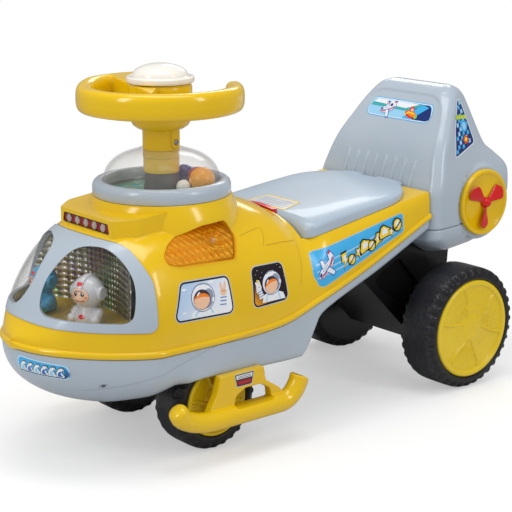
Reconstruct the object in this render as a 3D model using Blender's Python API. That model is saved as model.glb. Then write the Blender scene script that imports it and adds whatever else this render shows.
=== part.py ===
"""Child's ride-on car with a round cabin, a steered front bogie and a lidded seat.

Metres, +Z up, the nose points to -Y. The origin is on the floor, in the middle of the car.
Every piece is placed from the steering axis, which stands on the empty called car_datum.
"""
import math

import bmesh
import bpy
from mathutils import Matrix, Vector

for old in list(bpy.data.objects):
    bpy.data.objects.remove(old, do_unlink=True)

# Where the steering axis stands, seen from the middle of the car
STEERING_AXIS_Y = -0.1796

# Gaps between pieces
SEAT_GAP = 0.0003
RUNNING_GAP = 0.0003
SLIDE_GAP = 0.0004

# Body outline, measured from the steering axis
NOSE_REACH = 0.250
TAIL_REACH = 0.410
SHOULDER_Y = -0.109
CABIN_HALF_WIDTH = 0.150
SEAT_HALF_WIDTH = 0.141
TAIL_HALF_WIDTH = 0.128
BEAD_SIZE = 0.010
BEAD_PROUD = 0.005
HULL_INSET = 0.003
SHELL_WALL = 0.003

# Heights of the parting line, the roof and the belly
PARTING_NOSE_Z = 0.168
PARTING_CABIN_Z = 0.160
PARTING_TAIL_Z = 0.268
ROOF_Z = 0.332
HORN_TOP_Z = 0.525
STACK = HORN_TOP_Z - ROOF_Z
BROW_Z = 0.306
SILL_Z = 0.200
HUMP_Z = 0.303
BELLY_NOSE_Z = 0.080
BELLY_CABIN_Z = 0.115
BELLY_TAIL_Z = 0.243

# Seat deck, the lid on it and the lid's hinge
DECK_FRONT_Y = 0.1675
DECK_FRONT_Z = 0.2713
DECK_SLOPE = 0.16
LID_FRONT_GAP = 0.0035
LID_HALF_WIDTH = 0.117
LID_FRONT_CROWN = 0.026
LID_WALL = 0.003
HINGE_Y = TAIL_REACH - 0.005
HINGE_HEIGHT = 0.0051
HINGE_ROUND = 0.0046
HINGE_PIN_R = 0.0020
HINGE_PIN_HALF = 0.034
HINGE_TAB_HALF = 0.016
HINGE_TAB_DEPTH = 0.0045

# Storage tub under the lid
TUB_HALF_WIDTH = 0.078
TUB_FRONT_Y = 0.205
TUB_REAR_Y = HINGE_Y - 0.037
TUB_DEPTH = 0.052
TUB_WALL = 0.0025
TUB_FLANGE = 0.007
TUB_CORNER = 0.018

# Latch bar in front of the lid
LATCH_HALF_WIDTH = 0.038
LATCH_FRONT_Y = 0.1692
LATCH_DEPTH = 0.0095
LATCH_TOP_Z = 0.3060
LATCH_ARCH = 0.0035
LATCH_FOOT = 0.0025

# Wheels and axles
WHEELBASE = TAIL_REACH + 0.054
REAR_WHEEL_R = 0.095
REAR_WHEEL_WIDTH = 0.067
REAR_TRACK_HALF = 0.136
REAR_HUB_R = 0.0766
REAR_LUGS = 20
FRONT_WHEEL_R = 0.070
FRONT_WHEEL_WIDTH = 0.057
FRONT_TRACK_HALF = 0.094
FRONT_HUB_R = 0.0500
FRONT_LUGS = 16
LUG_DEPTH = 0.0022
TYRE_SHOULDER = 0.011
HUB_DEPTH = 0.016
HUB_PROUD = 0.0010
AXLE_R = 0.004

# Well for the front bogie
WELL_HALF_X = 0.1415
WELL_HALF_Y = 0.1490
WELL_TOP_Z = 0.1545
TURNTABLE_R = 0.058
TURNTABLE_THICK = 0.006
BOGIE_BOSS_R = 0.015
FACET_TURN_DEG = 7.0

# Rear undercarriage
HOUSING_END_X = 0.1045
HOUSING_R = 0.035
PEDESTAL_HALF_WIDTH = 0.074

# Steering column
COLUMN_R = 0.0255
SHAFT_R = 0.011
SHAFT_TOP_Z = ROOF_Z + 0.508 * STACK
SHAFT_BOTTOM_Z = 0.110
COLLAR_R = 0.0238
COLLAR_TOP_Z = ROOF_Z + 0.221 * STACK
COLUMN_TOP_Z = ROOF_Z + 0.383 * STACK
RIM_OUTER_R = 0.116
RIM_WIDTH = 0.024
RIM_BOTTOM_Z = ROOF_Z + 0.663 * STACK
RIM_TOP_Z = ROOF_Z + 0.852 * STACK
RIM_TIP_DEG = 66.0
RIM_END_DEG = -188.0
WING_BOTTOM_Z = RIM_BOTTOM_Z + 0.008
WING_LIFT = 0.0048
DRUM_R = 0.044
DRUM_TOP_Z = HORN_TOP_Z - 0.0265
BOWL_BOTTOM_Z = ROOF_Z + 0.534 * STACK
HORN_RING_R = 0.047
HORN_RING_HEIGHT = 0.009
HORN_R = 0.040
HORN_TRAVEL = 0.003
SCREW_DEG = 13.0
SCREW_Z = ROOF_Z + 0.446 * STACK
SCREW_R = 0.0036

# Dome on the roof
PEDESTAL_R = 0.0985
PEDESTAL_TOP_Z = ROOF_Z + 0.013
RING_R = 0.0966
RING_TOP_Z = PEDESTAL_TOP_Z + 0.110 * STACK
DOME_R = 0.0814
DOME_BASE_Z = PEDESTAL_TOP_Z + 0.078 * STACK
DOME_RISE = 0.251 * STACK
DOME_POWER = 2.4
DOME_WALL = 0.002
DOME_FLANGE = 0.0075
DOME_STEPS = 24
SLEEVE_R = 0.0310
SLEEVE_TOP_Z = DOME_BASE_Z + 0.249 * STACK
FLOOR_THICK = 0.0025
BIG_BALL_R = 0.0933 * STACK

# Cabin
FRAME_PROUD = 0.0015
FRAME_WALL = 0.0045
LENS_WALL = 0.0018
LENS_SET_BACK = 0.0006
CABIN_FLOOR_Z = 0.196
CABIN_FLOOR_THICK = 0.003
CABIN_FLOOR_REAR_Y = -0.050
BACKDROP_Y = -0.098
BACKDROP_WALL = 0.0015
BACKDROP_TOP_Z = 0.292
LIGHT_BAR_HALF = 0.0565
LIGHT_BAR_BOTTOM_Z = 0.3125
LIGHT_BAR_TOP_Z = 0.3265
LIGHT_FACE_Y = -0.1275
LIGHT_BACK_Y = -0.1150
LIGHT_BLOCK_TOP_Z = 0.3315
BULB_COUNT = 5
BULB_R = 0.0047
BULB_PITCH = 0.0205
ASTRONAUT_AT = (0.049, -0.158)
ASTRONAUT_HEAD_R = 0.0225
PILOT_AT = (-0.044, -0.170)
PILOT_HEAD_R = 0.0200

# Side signal lamps
LAMP_PROUD = 0.0015
LAMP_WALL = 0.0020
REFLECTOR_DEPTH = 0.018
REFLECTOR_WALL = 0.0020
REFLECTOR_RIM = 0.004

# Backrest
BACKREST_TOP_Z = 0.458
BACKREST_SEAM_Z = 0.250
BACKREST_BOTTOM_Z = 0.202
BACKREST_HALF_WIDTH = 0.134
BACKREST_REAR_Y = TAIL_REACH + 0.199
BACKREST_WALL = 0.004
PANEL_DEPTH = 0.0022
RIB_COUNT = 7
RIB_PITCH = 0.021
RIB_WIDTH = 0.0055
RIB_PROUD = 0.0012
ROTOR_Y = TAIL_REACH + 0.118
ROTOR_Z = 0.279
ENGINE_R = 0.0600
ENGINE_HALF_X = 0.122
DISC_R = 0.0520
DISC_THICK = 0.0070
DISC_DISH = 0.0032
PROPELLER_R = 0.036
PROPELLER_HUB_R = 0.0085
PROPELLER_STEM_R = 0.003
PROPELLER_NOSE = 0.012
PROPELLER_PITCH_DEG = 11.0

# Foot rests
SKID_X = 0.159
SKID_Z = 0.060
SKID_R = 0.014
BRACKET_INNER_X = 0.1435
BRACKET_OUTER_X = 0.1575
BRACKET_TOP_Z = 0.1185

YELLOW = (0.93, 0.70, 0.04)
GREY = (0.60, 0.67, 0.75)
BLACK = (0.02, 0.02, 0.03)
RED = (0.75, 0.02, 0.03)
BLUE = (0.05, 0.35, 0.75)
AMBER = (0.95, 0.45, 0.02)
CREAM = (0.86, 0.84, 0.78)
SILVER = (0.55, 0.55, 0.56)
GREEN = (0.20, 0.50, 0.35)

datum = bpy.data.objects.new("car_datum", None)
datum.location = (0.0, STEERING_AXIS_Y, 0.0)
bpy.context.scene.collection.objects.link(datum)


# Small tools

def material(name, colour, roughness=0.35, metallic=0.0, alpha=1.0):
    """One Principled material for one piece."""
    made = bpy.data.materials.new(name)
    made.use_nodes = True
    shader = made.node_tree.nodes["Principled BSDF"]
    shader.inputs["Base Color"].default_value = (*colour, 1.0)
    shader.inputs["Roughness"].default_value = roughness
    shader.inputs["Metallic"].default_value = metallic
    shader.inputs["Alpha"].default_value = alpha
    return made


def piece(name, mesh_maker, colour, pivot=(0.0, 0.0, 0.0), roughness=0.35, metallic=0.0,
          alpha=1.0, smooth_angle=35.0):
    """Turn a bmesh into a named object whose origin is the pivot, carried by the datum."""
    mesh = bpy.data.meshes.new(name)
    mesh_maker.normal_update()
    bmesh.ops.recalc_face_normals(mesh_maker, faces=mesh_maker.faces)
    bmesh.ops.translate(mesh_maker, verts=mesh_maker.verts, vec=-Vector(pivot))
    mesh_maker.to_mesh(mesh)
    mesh_maker.free()
    mesh.shade_smooth()
    mesh.set_sharp_from_angle(angle=math.radians(smooth_angle))
    made = bpy.data.objects.new(name, mesh)
    made.location = pivot
    made.parent = datum
    mesh.materials.append(material(name, colour, roughness, metallic, alpha))
    bpy.context.scene.collection.objects.link(made)
    return made


def cutter(name, mesh_maker):
    """A closed tool body that the build leaves out."""
    made = piece(name, mesh_maker, BLACK)
    made.hide_render = True
    made.display_type = "WIRE"
    return made


def combine(target, tool, operation):
    """Cut, join or intersect the target with a tool body."""
    change = target.modifiers.new(operation.lower(), "BOOLEAN")
    change.operation = operation
    change.object = tool
    change.solver = "EXACT"


def cut(target, name, mesh_maker):
    """Take a closed body out of the target."""
    combine(target, cutter(name, mesh_maker), "DIFFERENCE")


def join(target, name, mesh_maker):
    """Fuse a closed body with the target."""
    combine(target, cutter(name, mesh_maker), "UNION")


def smooth(keys, at):
    """A smooth curve through (position, value) keys that never overshoots them."""
    if at <= keys[0][0]:
        return keys[0][1]
    if at >= keys[-1][0]:
        return keys[-1][1]
    slopes = [(b[1] - a[1]) / (b[0] - a[0]) for a, b in zip(keys, keys[1:])]
    tangents = [slopes[0]]
    for left, right in zip(slopes, slopes[1:]):
        same_way = left * right > 0.0
        tangents.append(2.0 * left * right / (left + right) if same_way else 0.0)
    tangents.append(slopes[-1])
    i = next(n for n in range(len(keys) - 1) if at <= keys[n + 1][0])
    span = keys[i + 1][0] - keys[i][0]
    t = (at - keys[i][0]) / span
    return ((2 * t**3 - 3 * t**2 + 1) * keys[i][1] + (t**3 - 2 * t**2 + t) * span * tangents[i]
            + (3 * t**2 - 2 * t**3) * keys[i + 1][1] + (t**3 - t**2) * span * tangents[i + 1])


def loft(rings):
    """Skin closed rings of equal length and cap both ends."""
    bm = bmesh.new()
    rows = [[bm.verts.new(p) for p in ring] for ring in rings]
    for a, b in zip(rows, rows[1:]):
        for i in range(len(a)):
            j = (i + 1) % len(a)
            bm.faces.new((a[i], a[j], b[j], b[i]))
    bm.faces.new(rows[0][::-1])
    bm.faces.new(rows[-1])
    bmesh.ops.remove_doubles(bm, verts=bm.verts, dist=0.00002)
    bmesh.ops.dissolve_degenerate(bm, edges=bm.edges, dist=0.00001)
    bmesh.ops.triangulate(bm, faces=[f for f in bm.faces if len(f.verts) > 4])
    return bm


def revolve(profile, steps=32, centre=(0.0, 0.0, 0.0), axis="Z"):
    """Turn a closed (radius, height) profile about an axis; it may be a function of the step."""
    bm = bmesh.new()
    at_step = profile if callable(profile) else lambda k: profile
    poles = {i: bm.verts.new((0.0, 0.0, h)) for i, (r, h) in enumerate(at_step(0)) if r < 1e-6}
    rows = []
    for k in range(steps):
        turn = 2.0 * math.pi * k / steps
        rows.append([poles.get(i) or bm.verts.new((r * math.cos(turn), r * math.sin(turn), h))
                     for i, (r, h) in enumerate(at_step(k))])
    count = len(rows[0])
    for a, b in zip(rows, rows[1:] + rows[:1]):
        for i in range(count):
            j = (i + 1) % count
            corners = list(dict.fromkeys((a[i], a[j], b[j], b[i])))
            if len(corners) > 2:
                bm.faces.new(corners)
    if axis == "X":
        bmesh.ops.rotate(bm, verts=bm.verts, matrix=Matrix.Rotation(math.radians(90.0), 3, "Y"))
    bmesh.ops.translate(bm, verts=bm.verts, vec=centre)
    return bm


def rod(radius, low, high, steps=16, centre=(0.0, 0.0, 0.0), axis="Z"):
    """A plain round bar along an axis."""
    return revolve([(0.0, low), (radius, low), (radius, high), (0.0, high)], steps, centre, axis)


def ball(centre, radius, steps=12, rows=7):
    """A round body."""
    turns = [math.pi * k / rows for k in range(rows + 1)]
    return revolve([(radius * math.sin(t), -radius * math.cos(t)) for t in turns], steps, centre)


def prism(outline, low, high, plane="XY"):
    """Extrude a closed outline: plane XY runs up Z, YZ runs along X and XZ runs along Y."""
    order = {"XY": (0, 1, 2), "YZ": (2, 0, 1), "XZ": (0, 2, 1)}[plane]
    bm = bmesh.new()
    def place(p, level):
        spot = (p[0], p[1], level)
        return tuple(spot[n] for n in order)
    bottom = [bm.verts.new(place(p, low)) for p in outline]
    top = [bm.verts.new(place(p, high)) for p in outline]
    for i in range(len(outline)):
        j = (i + 1) % len(outline)
        bm.faces.new((bottom[i], bottom[j], top[j], top[i]))
    bm.faces.new(bottom[::-1])
    bm.faces.new(top)
    bmesh.ops.recalc_face_normals(bm, faces=bm.faces)
    return bm


def box(x, y, z):
    """A block from three (low, high) ranges."""
    return prism([(x[0], y[0]), (x[1], y[0]), (x[1], y[1]), (x[0], y[1])], z[0], z[1])


def rounded(corners, radius, steps=4):
    """Round the corners of a polygon with arcs; radius may be one value or one for each corner."""
    points = []
    count = len(corners)
    for i, corner in enumerate(corners):
        here = Vector(corner)
        r = radius[i] if isinstance(radius, (list, tuple)) else radius
        to_last = (Vector(corners[i - 1]) - here).normalized()
        to_next = (Vector(corners[(i + 1) % count]) - here).normalized()
        half = to_last.angle(to_next) / 2.0
        reach = r / math.tan(half)
        centre = here + (to_last + to_next).normalized() * (r / math.sin(half))
        start = here + to_last * reach - centre
        end = here + to_next * reach - centre
        sweep_angle = start.angle_signed(end)
        for k in range(steps + 1):
            part = -sweep_angle * k / steps
            turned = Vector((start.x * math.cos(part) - start.y * math.sin(part),
                             start.x * math.sin(part) + start.y * math.cos(part)))
            points.append(tuple(centre + turned))
    return points


def arc(centre, radius, start_deg, end_deg, steps):
    """Points on an arc, both ends included."""
    turns = [math.radians(start_deg + (end_deg - start_deg) * k / steps) for k in range(steps + 1)]
    return [(centre[0] + radius * math.cos(t), centre[1] + radius * math.sin(t)) for t in turns]


def oval(half_a, half_b, power, steps):
    """A closed superellipse."""
    points = []
    for k in range(steps):
        turn = 2.0 * math.pi * (k + 0.5) / steps
        c, s = math.cos(turn), math.sin(turn)
        points.append((half_a * math.copysign(abs(c)**(2.0 / power), c),
                       half_b * math.copysign(abs(s)**(2.0 / power), s)))
    return points


def sweep(path, section, normal):
    """Carry a closed (across, along the normal) section along (point, scale) stations."""
    up = Vector(normal)
    rings = []
    for i, (spot, scale) in enumerate(path):
        ahead = Vector(path[min(i + 1, len(path) - 1)][0]) - Vector(path[max(i - 1, 0)][0])
        across = ahead.cross(up).normalized()
        rings.append([Vector(spot) + across * a * scale + up * b * scale for a, b in section])
    return loft(rings)


def tilt(bm, degrees, axis, centre):
    """Turn a bmesh about an axis through a centre."""
    bmesh.ops.rotate(bm, verts=bm.verts, cent=centre,
                     matrix=Matrix.Rotation(math.radians(degrees), 3, axis))
    return bm


def on_side(bm, sign):
    """Keep a body made for the right side, or mirror it to the left."""
    if sign < 0.0:
        bmesh.ops.scale(bm, vec=(-1.0, 1.0, 1.0), verts=bm.verts)
    return bm


SIDES = (("left", -1.0), ("right", 1.0))


# Body form

def half_width(y, inset=0.0):
    """Half width of the bead outline, or of a line set in from it."""
    nose = NOSE_REACH - inset
    if y < SHOULDER_Y:
        u = min((SHOULDER_Y - y) / (nose + SHOULDER_Y), 1.0)
        return (CABIN_HALF_WIDTH - inset) * math.sqrt(max(1.0 - u**1.25, 0.0))
    keys = [(SHOULDER_Y, CABIN_HALF_WIDTH), (0.06, CABIN_HALF_WIDTH - 0.003), (0.20, SEAT_HALF_WIDTH),
            (TAIL_REACH - 0.060, TAIL_HALF_WIDTH + 0.003), (TAIL_REACH, TAIL_HALF_WIDTH)]
    return smooth(keys, y) - inset


def parting_z(y):
    """Height of the seam between the lower hull and the upper body."""
    rise = PARTING_TAIL_Z - PARTING_CABIN_Z
    keys = [(-NOSE_REACH, PARTING_NOSE_Z), (-0.10, PARTING_CABIN_Z + 0.001), (0.04, PARTING_CABIN_Z),
            (0.098, PARTING_CABIN_Z + 0.03 * rise), (0.173, PARTING_CABIN_Z + 0.21 * rise),
            (TAIL_REACH - 0.130, PARTING_CABIN_Z + 0.53 * rise), (TAIL_REACH, PARTING_TAIL_Z)]
    return smooth(keys, y)


def roof_z(y):
    """Height of the body along its middle, before the seat deck is cut."""
    keys = [(-NOSE_REACH, PARTING_NOSE_Z + BEAD_SIZE), (-0.243, SILL_Z - 0.014), (-0.231, SILL_Z + 0.001),
            (-0.215, SILL_Z + 0.030), (-0.193, BROW_Z - 0.042), (-0.166, BROW_Z - 0.015),
            (-0.145, BROW_Z), (-0.105, ROOF_Z - 0.008), (-0.060, ROOF_Z), (0.085, ROOF_Z),
            (0.130, ROOF_Z - 0.010), (DECK_FRONT_Y, HUMP_Z), (TAIL_REACH, HUMP_Z + 0.030)]
    return smooth(keys, y)


def belly_z(y):
    """Height of the hull's underside along its middle."""
    rise = BELLY_TAIL_Z - BELLY_CABIN_Z
    keys = [(-NOSE_REACH, PARTING_NOSE_Z - 0.006), (-0.244, PARTING_NOSE_Z - 0.026),
            (-0.225, BELLY_NOSE_Z + 0.036), (-0.200, BELLY_NOSE_Z + 0.018),
            (-0.170, BELLY_NOSE_Z + 0.006), (-0.140, BELLY_NOSE_Z), (-0.110, BELLY_NOSE_Z + 0.006),
            (-0.075, BELLY_CABIN_Z - 0.010), (-0.040, BELLY_CABIN_Z), (0.060, BELLY_CABIN_Z - 0.005),
            (0.140, BELLY_CABIN_Z - 0.008), (0.158, BELLY_CABIN_Z + 0.09 * rise),
            (0.176, BELLY_CABIN_Z + 0.29 * rise), (0.207, BELLY_CABIN_Z + 0.42 * rise),
            (TAIL_REACH - 0.105, BELLY_CABIN_Z + 0.67 * rise), (TAIL_REACH, BELLY_TAIL_Z)]
    return smooth(keys, y)


def deck_z(y):
    """Height of the sloping deck under the seat lid."""
    return DECK_FRONT_Z + DECK_SLOPE * (y - DECK_FRONT_Y)


NOSE_STATIONS = [0.0, 0.016, 0.06, 0.13, 0.23, 0.36, 0.54, 0.76, 1.0]
BODY_STATIONS = [-0.075, -0.040, 0.0, 0.060, 0.100, 0.130, 0.148, 0.162, 0.178]
SEAT_Y = 0.200
SEAT_SHARES = [0.0, 0.19, 0.50, 0.76]


def stations(inset=0.0):
    """Places of the cross-sections, close together round the nose."""
    front = [-NOSE_REACH + inset + 0.0002 + (NOSE_REACH + SHOULDER_Y - inset) * s
             for s in NOSE_STATIONS]
    seat = [SEAT_Y + (TAIL_REACH - SEAT_Y) * s for s in SEAT_SHARES]
    return front + BODY_STATIONS + seat + [TAIL_REACH - inset]


def roof_power(y):
    """How square the roof's cross-section is."""
    return smooth([(-NOSE_REACH, 2.3), (-0.10, 2.6), (0.10, 2.5), (0.165, 2.3), (0.20, 3.2),
                   (TAIL_REACH, 4.0)], y)


def hull_power(y):
    """How square the hull's cross-section is."""
    return smooth([(-NOSE_REACH, 2.1), (-0.14, 2.4), (-0.075, 5.0), (-0.04, 20.0), (0.14, 20.0),
                   (0.18, 5.0), (TAIL_REACH, 4.0)], y)


def mirrored(right_side):
    """A full ring from the points of its +X side, which run from one end on X=0 to the other."""
    left = [(-x, y, z) for x, y, z in reversed(right_side)]
    return right_side + [p for p in left if abs(p[0]) > 1e-7]


def body_ring(y, wall, proud):
    """One cross-section of the upper body; wall shrinks it to make the inner skin."""
    at = y - wall if y < SHOULDER_Y else y
    side = max(half_width(y, BEAD_PROUD + wall) + proud, 0.0006)
    low = parting_z(y)
    foot = low + BEAD_SIZE
    crown = max(roof_z(at) - wall * 0.9 + proud - foot, 0.0012)
    power = 2.0 / roof_power(y)
    steps = 8 if wall < LENS_WALL else 5
    points = []
    if wall == 0.0:
        bead = max(half_width(y), side + 0.0004)
        points.append((side, y, low))
        for turn in (math.radians(d) for d in (-50.0, 0.0, 50.0)):
            reach = side + (bead - side) * math.cos(turn)
            points.append((reach, y, low + BEAD_SIZE * (0.5 + 0.5 * math.sin(turn))))
    else:
        points.append((side, y, low - 0.012))
    for k in range(steps + 1):
        t = math.pi / 2.0 * k / steps
        points.append((side * math.cos(t)**power if k < steps else 0.0, y,
                       foot + crown * math.sin(t)**power))
    return mirrored([(0.0, y, points[0][2])] + points)


def body_solid(wall=0.0, proud=0.0):
    """The upper body as a full solid, or the hollow inside it."""
    return loft([body_ring(y, wall, proud) for y in stations(wall)])


def hull_ring(y, wall):
    """One cross-section of the lower hull; a negative wall gives a form that clears it."""
    side = max(half_width(y, HULL_INSET + wall), 0.0005)
    top = parting_z(y) - SEAT_GAP
    low = min(belly_z(y) + wall, top - 0.001)
    power = 2.0 / hull_power(y)
    steps = 4 if wall > 0.0 else 7
    points = [(side, y, top + (0.012 if wall else 0.0))]
    for k in range(steps + 1):
        t = math.pi / 2.0 * k / steps
        points.append((side * math.cos(t)**power if k < steps else 0.0, y,
                       top - (top - low) * math.sin(t)**power))
    return mirrored([(0.0, y, points[0][2])] + points)


def hull_solid(wall=0.0):
    """The lower hull as a full solid, or the hollow inside it."""
    return loft([hull_ring(y, wall) for y in stations(HULL_INSET + wall)])


def deck_block(drop, front):
    """Everything above the seat deck, used to cut the body flat there."""
    far = 0.60
    outline = [(front, deck_z(front) - drop), (far, deck_z(far) - drop), (far, 0.60), (front, 0.60)]
    return prism(outline, -0.3, 0.3, "YZ")


# Window frame and lamp shapes

FRAME_SIDE = [(-0.275, 0.2065), (-0.180, 0.1995), (-0.113, 0.196), (-0.110, 0.262), (-0.122, 0.304),
              (-0.146, 0.3105), (-0.275, 0.330)]
FRAME_ROUNDING = [0.002, 0.05, 0.013, 0.03, 0.012, 0.02, 0.002]
WINDOW_TURN_DEG = 50.0
WINDOW_CORNERS = [(-0.152, 0.216), (-0.027, 0.211), (-0.024, 0.265), (-0.062, 0.297), (-0.105, 0.295),
                  (-0.150, 0.248)]
WINDOW_ROUNDING = [0.010, 0.024, 0.022, 0.020, 0.030, 0.020]
LAMP_CORNERS = [(-0.088, 0.280), (-0.062, 0.2725), (0.031, 0.268), (0.046, 0.298), (0.030, 0.319),
                (-0.012, 0.3175), (-0.070, 0.300)]
LAMP_ROUNDING = [0.006, 0.030, 0.004, 0.010, 0.010, 0.030, 0.020]


def inset_outline(outline, amount):
    """Move every edge of a closed outline inwards by the same amount."""
    area = sum(a[0] * b[1] - b[0] * a[1] for a, b in zip(outline, outline[1:] + outline[:1]))
    side = 1.0 if area > 0.0 else -1.0
    count = len(outline)
    moved = []
    for i in range(count):
        before = Vector(outline[i]) - Vector(outline[i - 1])
        after = Vector(outline[(i + 1) % count]) - Vector(outline[i])
        normal = (Vector((-before.y, before.x)).normalized()
                  + Vector((-after.y, after.x)).normalized()).normalized()
        moved.append(tuple(Vector(outline[i]) + normal * amount * side))
    return moved


def frame_region(shrink):
    """Everything in front of the window frame's edge."""
    return prism(inset_outline(rounded(FRAME_SIDE, FRAME_ROUNDING, 3), shrink), -0.25, 0.25, "YZ")


def window_cutter(sign, shrink):
    """A prism through one front window, facing outwards and forwards."""
    bm = prism(inset_outline(rounded(WINDOW_CORNERS, WINDOW_ROUNDING, 2), shrink), 0.05, 0.32)
    turn = math.radians(WINDOW_TURN_DEG)
    right = Vector((math.cos(turn), math.sin(turn)))
    ahead = Vector((math.sin(turn), -math.cos(turn)))
    for v in bm.verts:
        along, up, out = v.co
        spot = right * along + ahead * out
        v.co = (sign * spot.x, spot.y, up)
    return bm


def lamp_prism(sign, shrink, steps=2, inner=0.05, outer=0.20):
    """A prism along X on the outline of the side signal lamp."""
    outline = inset_outline(rounded(LAMP_CORNERS, LAMP_ROUNDING, steps), shrink)
    return on_side(prism(outline, inner, outer, "YZ"), sign)


def tub_prism(grow, low, high):
    """A straight-sided body on the storage tub's plan."""
    x = TUB_HALF_WIDTH + grow
    front, rear = TUB_FRONT_Y - grow, TUB_REAR_Y + grow
    return prism(rounded([(-x, front), (x, front), (x, rear), (-x, rear)], TUB_CORNER + grow, 3), low, high)


def tub_layer(grow, bottom, top):
    """A body on the tub's plan between two planes parallel to the deck."""
    bm = tub_prism(grow, 0.0, 1.0)
    for v in bm.verts:
        v.co.z = deck_z(v.co.y) + (bottom if v.co.z < 0.5 else top)
    return bm


def light_outline(grow):
    """Front outline of the light bar, narrower at the top."""
    low, high = LIGHT_BAR_HALF + grow, LIGHT_BAR_HALF - 0.003 + grow
    return rounded([(-low, LIGHT_BAR_BOTTOM_Z - grow), (low, LIGHT_BAR_BOTTOM_Z - grow),
                    (high, LIGHT_BAR_TOP_Z + grow), (-high, LIGHT_BAR_TOP_Z + grow)], 0.003, 2)


def latch_outline(low):
    """Front outline of the latch bar, with an arched top."""
    x = LATCH_HALF_WIDTH
    top = [(x * (1.0 - k / 3.0), LATCH_TOP_Z - LATCH_ARCH * (1.0 - k / 3.0)**2) for k in range(7)]
    return [(-x, low), (x, low)] + top


# Body and hull

def build_upper_body():
    """Yellow shell with the seat deck, the dome pedestal, the light block and all openings."""
    shell = piece("upper_body", body_solid(), YELLOW)
    cut(shell, "cut_deck", deck_block(0.0, DECK_FRONT_Y))
    low = ROOF_Z - 0.030
    join(shell, "add_pedestal", revolve([
        (0.0, low), (PEDESTAL_R + 0.006, low), (PEDESTAL_R + 0.002, ROOF_Z + 0.002),
        (PEDESTAL_R, PEDESTAL_TOP_Z - 0.002), (PEDESTAL_R - 0.002, PEDESTAL_TOP_Z),
        (0.0, PEDESTAL_TOP_Z)], 28))
    front = LIGHT_BAR_HALF + 0.006
    plan = rounded([(-front, LIGHT_FACE_Y), (front, LIGHT_FACE_Y), (front + 0.0215, LIGHT_FACE_Y + 0.0275),
                    (front + 0.024, -0.050), (-front - 0.024, -0.050),
                    (-front - 0.0215, LIGHT_FACE_Y + 0.0275)], [0.006, 0.006, 0.02, 0.01, 0.01, 0.02], 2)
    block = prism(plan, LIGHT_BAR_BOTTOM_Z - 0.035, LIGHT_BLOCK_TOP_Z)
    for v in block.verts:
        if v.co.z > LIGHT_BAR_BOTTOM_Z:
            v.co.z += 0.1 * (v.co.y - LIGHT_FACE_Y)
    join(shell, "add_light_block", block)
    hollow = cutter("cut_hollow", body_solid(wall=SHELL_WALL))
    cut(hollow, "cut_deck_inside", deck_block(SHELL_WALL, DECK_FRONT_Y - SHELL_WALL))
    combine(shell, hollow, "DIFFERENCE")
    join(shell, "add_hinge_tab", hinge_tab())
    cut(shell, "cut_hinge_bore", hinge_rod(HINGE_PIN_R + RUNNING_GAP, HINGE_TAB_HALF + 0.01))
    cut(shell, "cut_frame", frame_region(0.0))
    cut(shell, "cut_shaft_hole", rod(SHAFT_R + 0.003, 0.20, 0.40, 20))
    cut(shell, "cut_tub_hole", tub_prism(TUB_WALL + SEAT_GAP, 0.20, 0.40))
    cut(shell, "cut_light_bar", prism(light_outline(0.0), -0.20, LIGHT_BACK_Y, "XZ"))
    x = LATCH_HALF_WIDTH + SLIDE_GAP
    slot = (LATCH_FRONT_Y - SLIDE_GAP, LATCH_FRONT_Y + LATCH_DEPTH + SLIDE_GAP)
    cut(shell, "cut_latch_slot", box((-x, x), slot, (0.255, 0.34)))
    for name, sign in SIDES:
        cut(shell, "cut_lamp_" + name, lamp_prism(sign, 0.0))


def build_window_frame():
    """Grey wrap-round frame with two openings, and a clear lens in each."""
    frame = piece("window_frame", body_solid(proud=FRAME_PROUD), GREY)
    combine(frame, cutter("frame_edge", frame_region(SEAT_GAP)), "INTERSECT")
    cut(frame, "frame_hollow", body_solid(wall=FRAME_WALL))
    for name, sign in SIDES:
        cut(frame, "frame_window_" + name, window_cutter(sign, 0.0))
        lens = piece("window_" + name, body_solid(wall=LENS_SET_BACK), CREAM, alpha=0.3, roughness=0.05)
        combine(lens, cutter("lens_edge_" + name, window_cutter(sign, SEAT_GAP)), "INTERSECT")
        cut(lens, "lens_hollow_" + name, body_solid(wall=LENS_SET_BACK + LENS_WALL))


def well_form(grow, top):
    """Oval space for the steered bogie."""
    bm = revolve([(0.0, 0.02), (1.0, 0.02), (1.0, top), (0.0, top)], 32)
    bmesh.ops.scale(bm, vec=(WELL_HALF_X + grow, WELL_HALF_Y + grow, 1.0), verts=bm.verts)
    return bm


def build_lower_hull():
    """Grey lower shell with the well for the steered bogie and the bearing for its shaft."""
    hull = piece("lower_hull", hull_solid(), GREY)
    hollow = cutter("hull_hollow", hull_solid(wall=SHELL_WALL))
    cut(hollow, "well_plug", well_form(SHELL_WALL, WELL_TOP_Z + SHELL_WALL))
    combine(hull, hollow, "DIFFERENCE")
    boss_top = WELL_TOP_Z + 0.030
    join(hull, "bearing_boss", revolve([
        (0.0, WELL_TOP_Z + 0.001), (SHAFT_R + 0.010, WELL_TOP_Z + 0.001),
        (SHAFT_R + 0.006, boss_top), (0.0, boss_top)], 20))
    cut(hull, "well_space", well_form(0.0, WELL_TOP_Z))
    cut(hull, "bearing_bore", rod(SHAFT_R + RUNNING_GAP, 0.10, 0.22, 20))


# Cabin

def inside_body(low, high, rear):
    """The space inside the body between two heights, in front of a line across the car."""
    return box((-0.3, 0.3), (-0.4, rear), (low, high))


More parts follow.
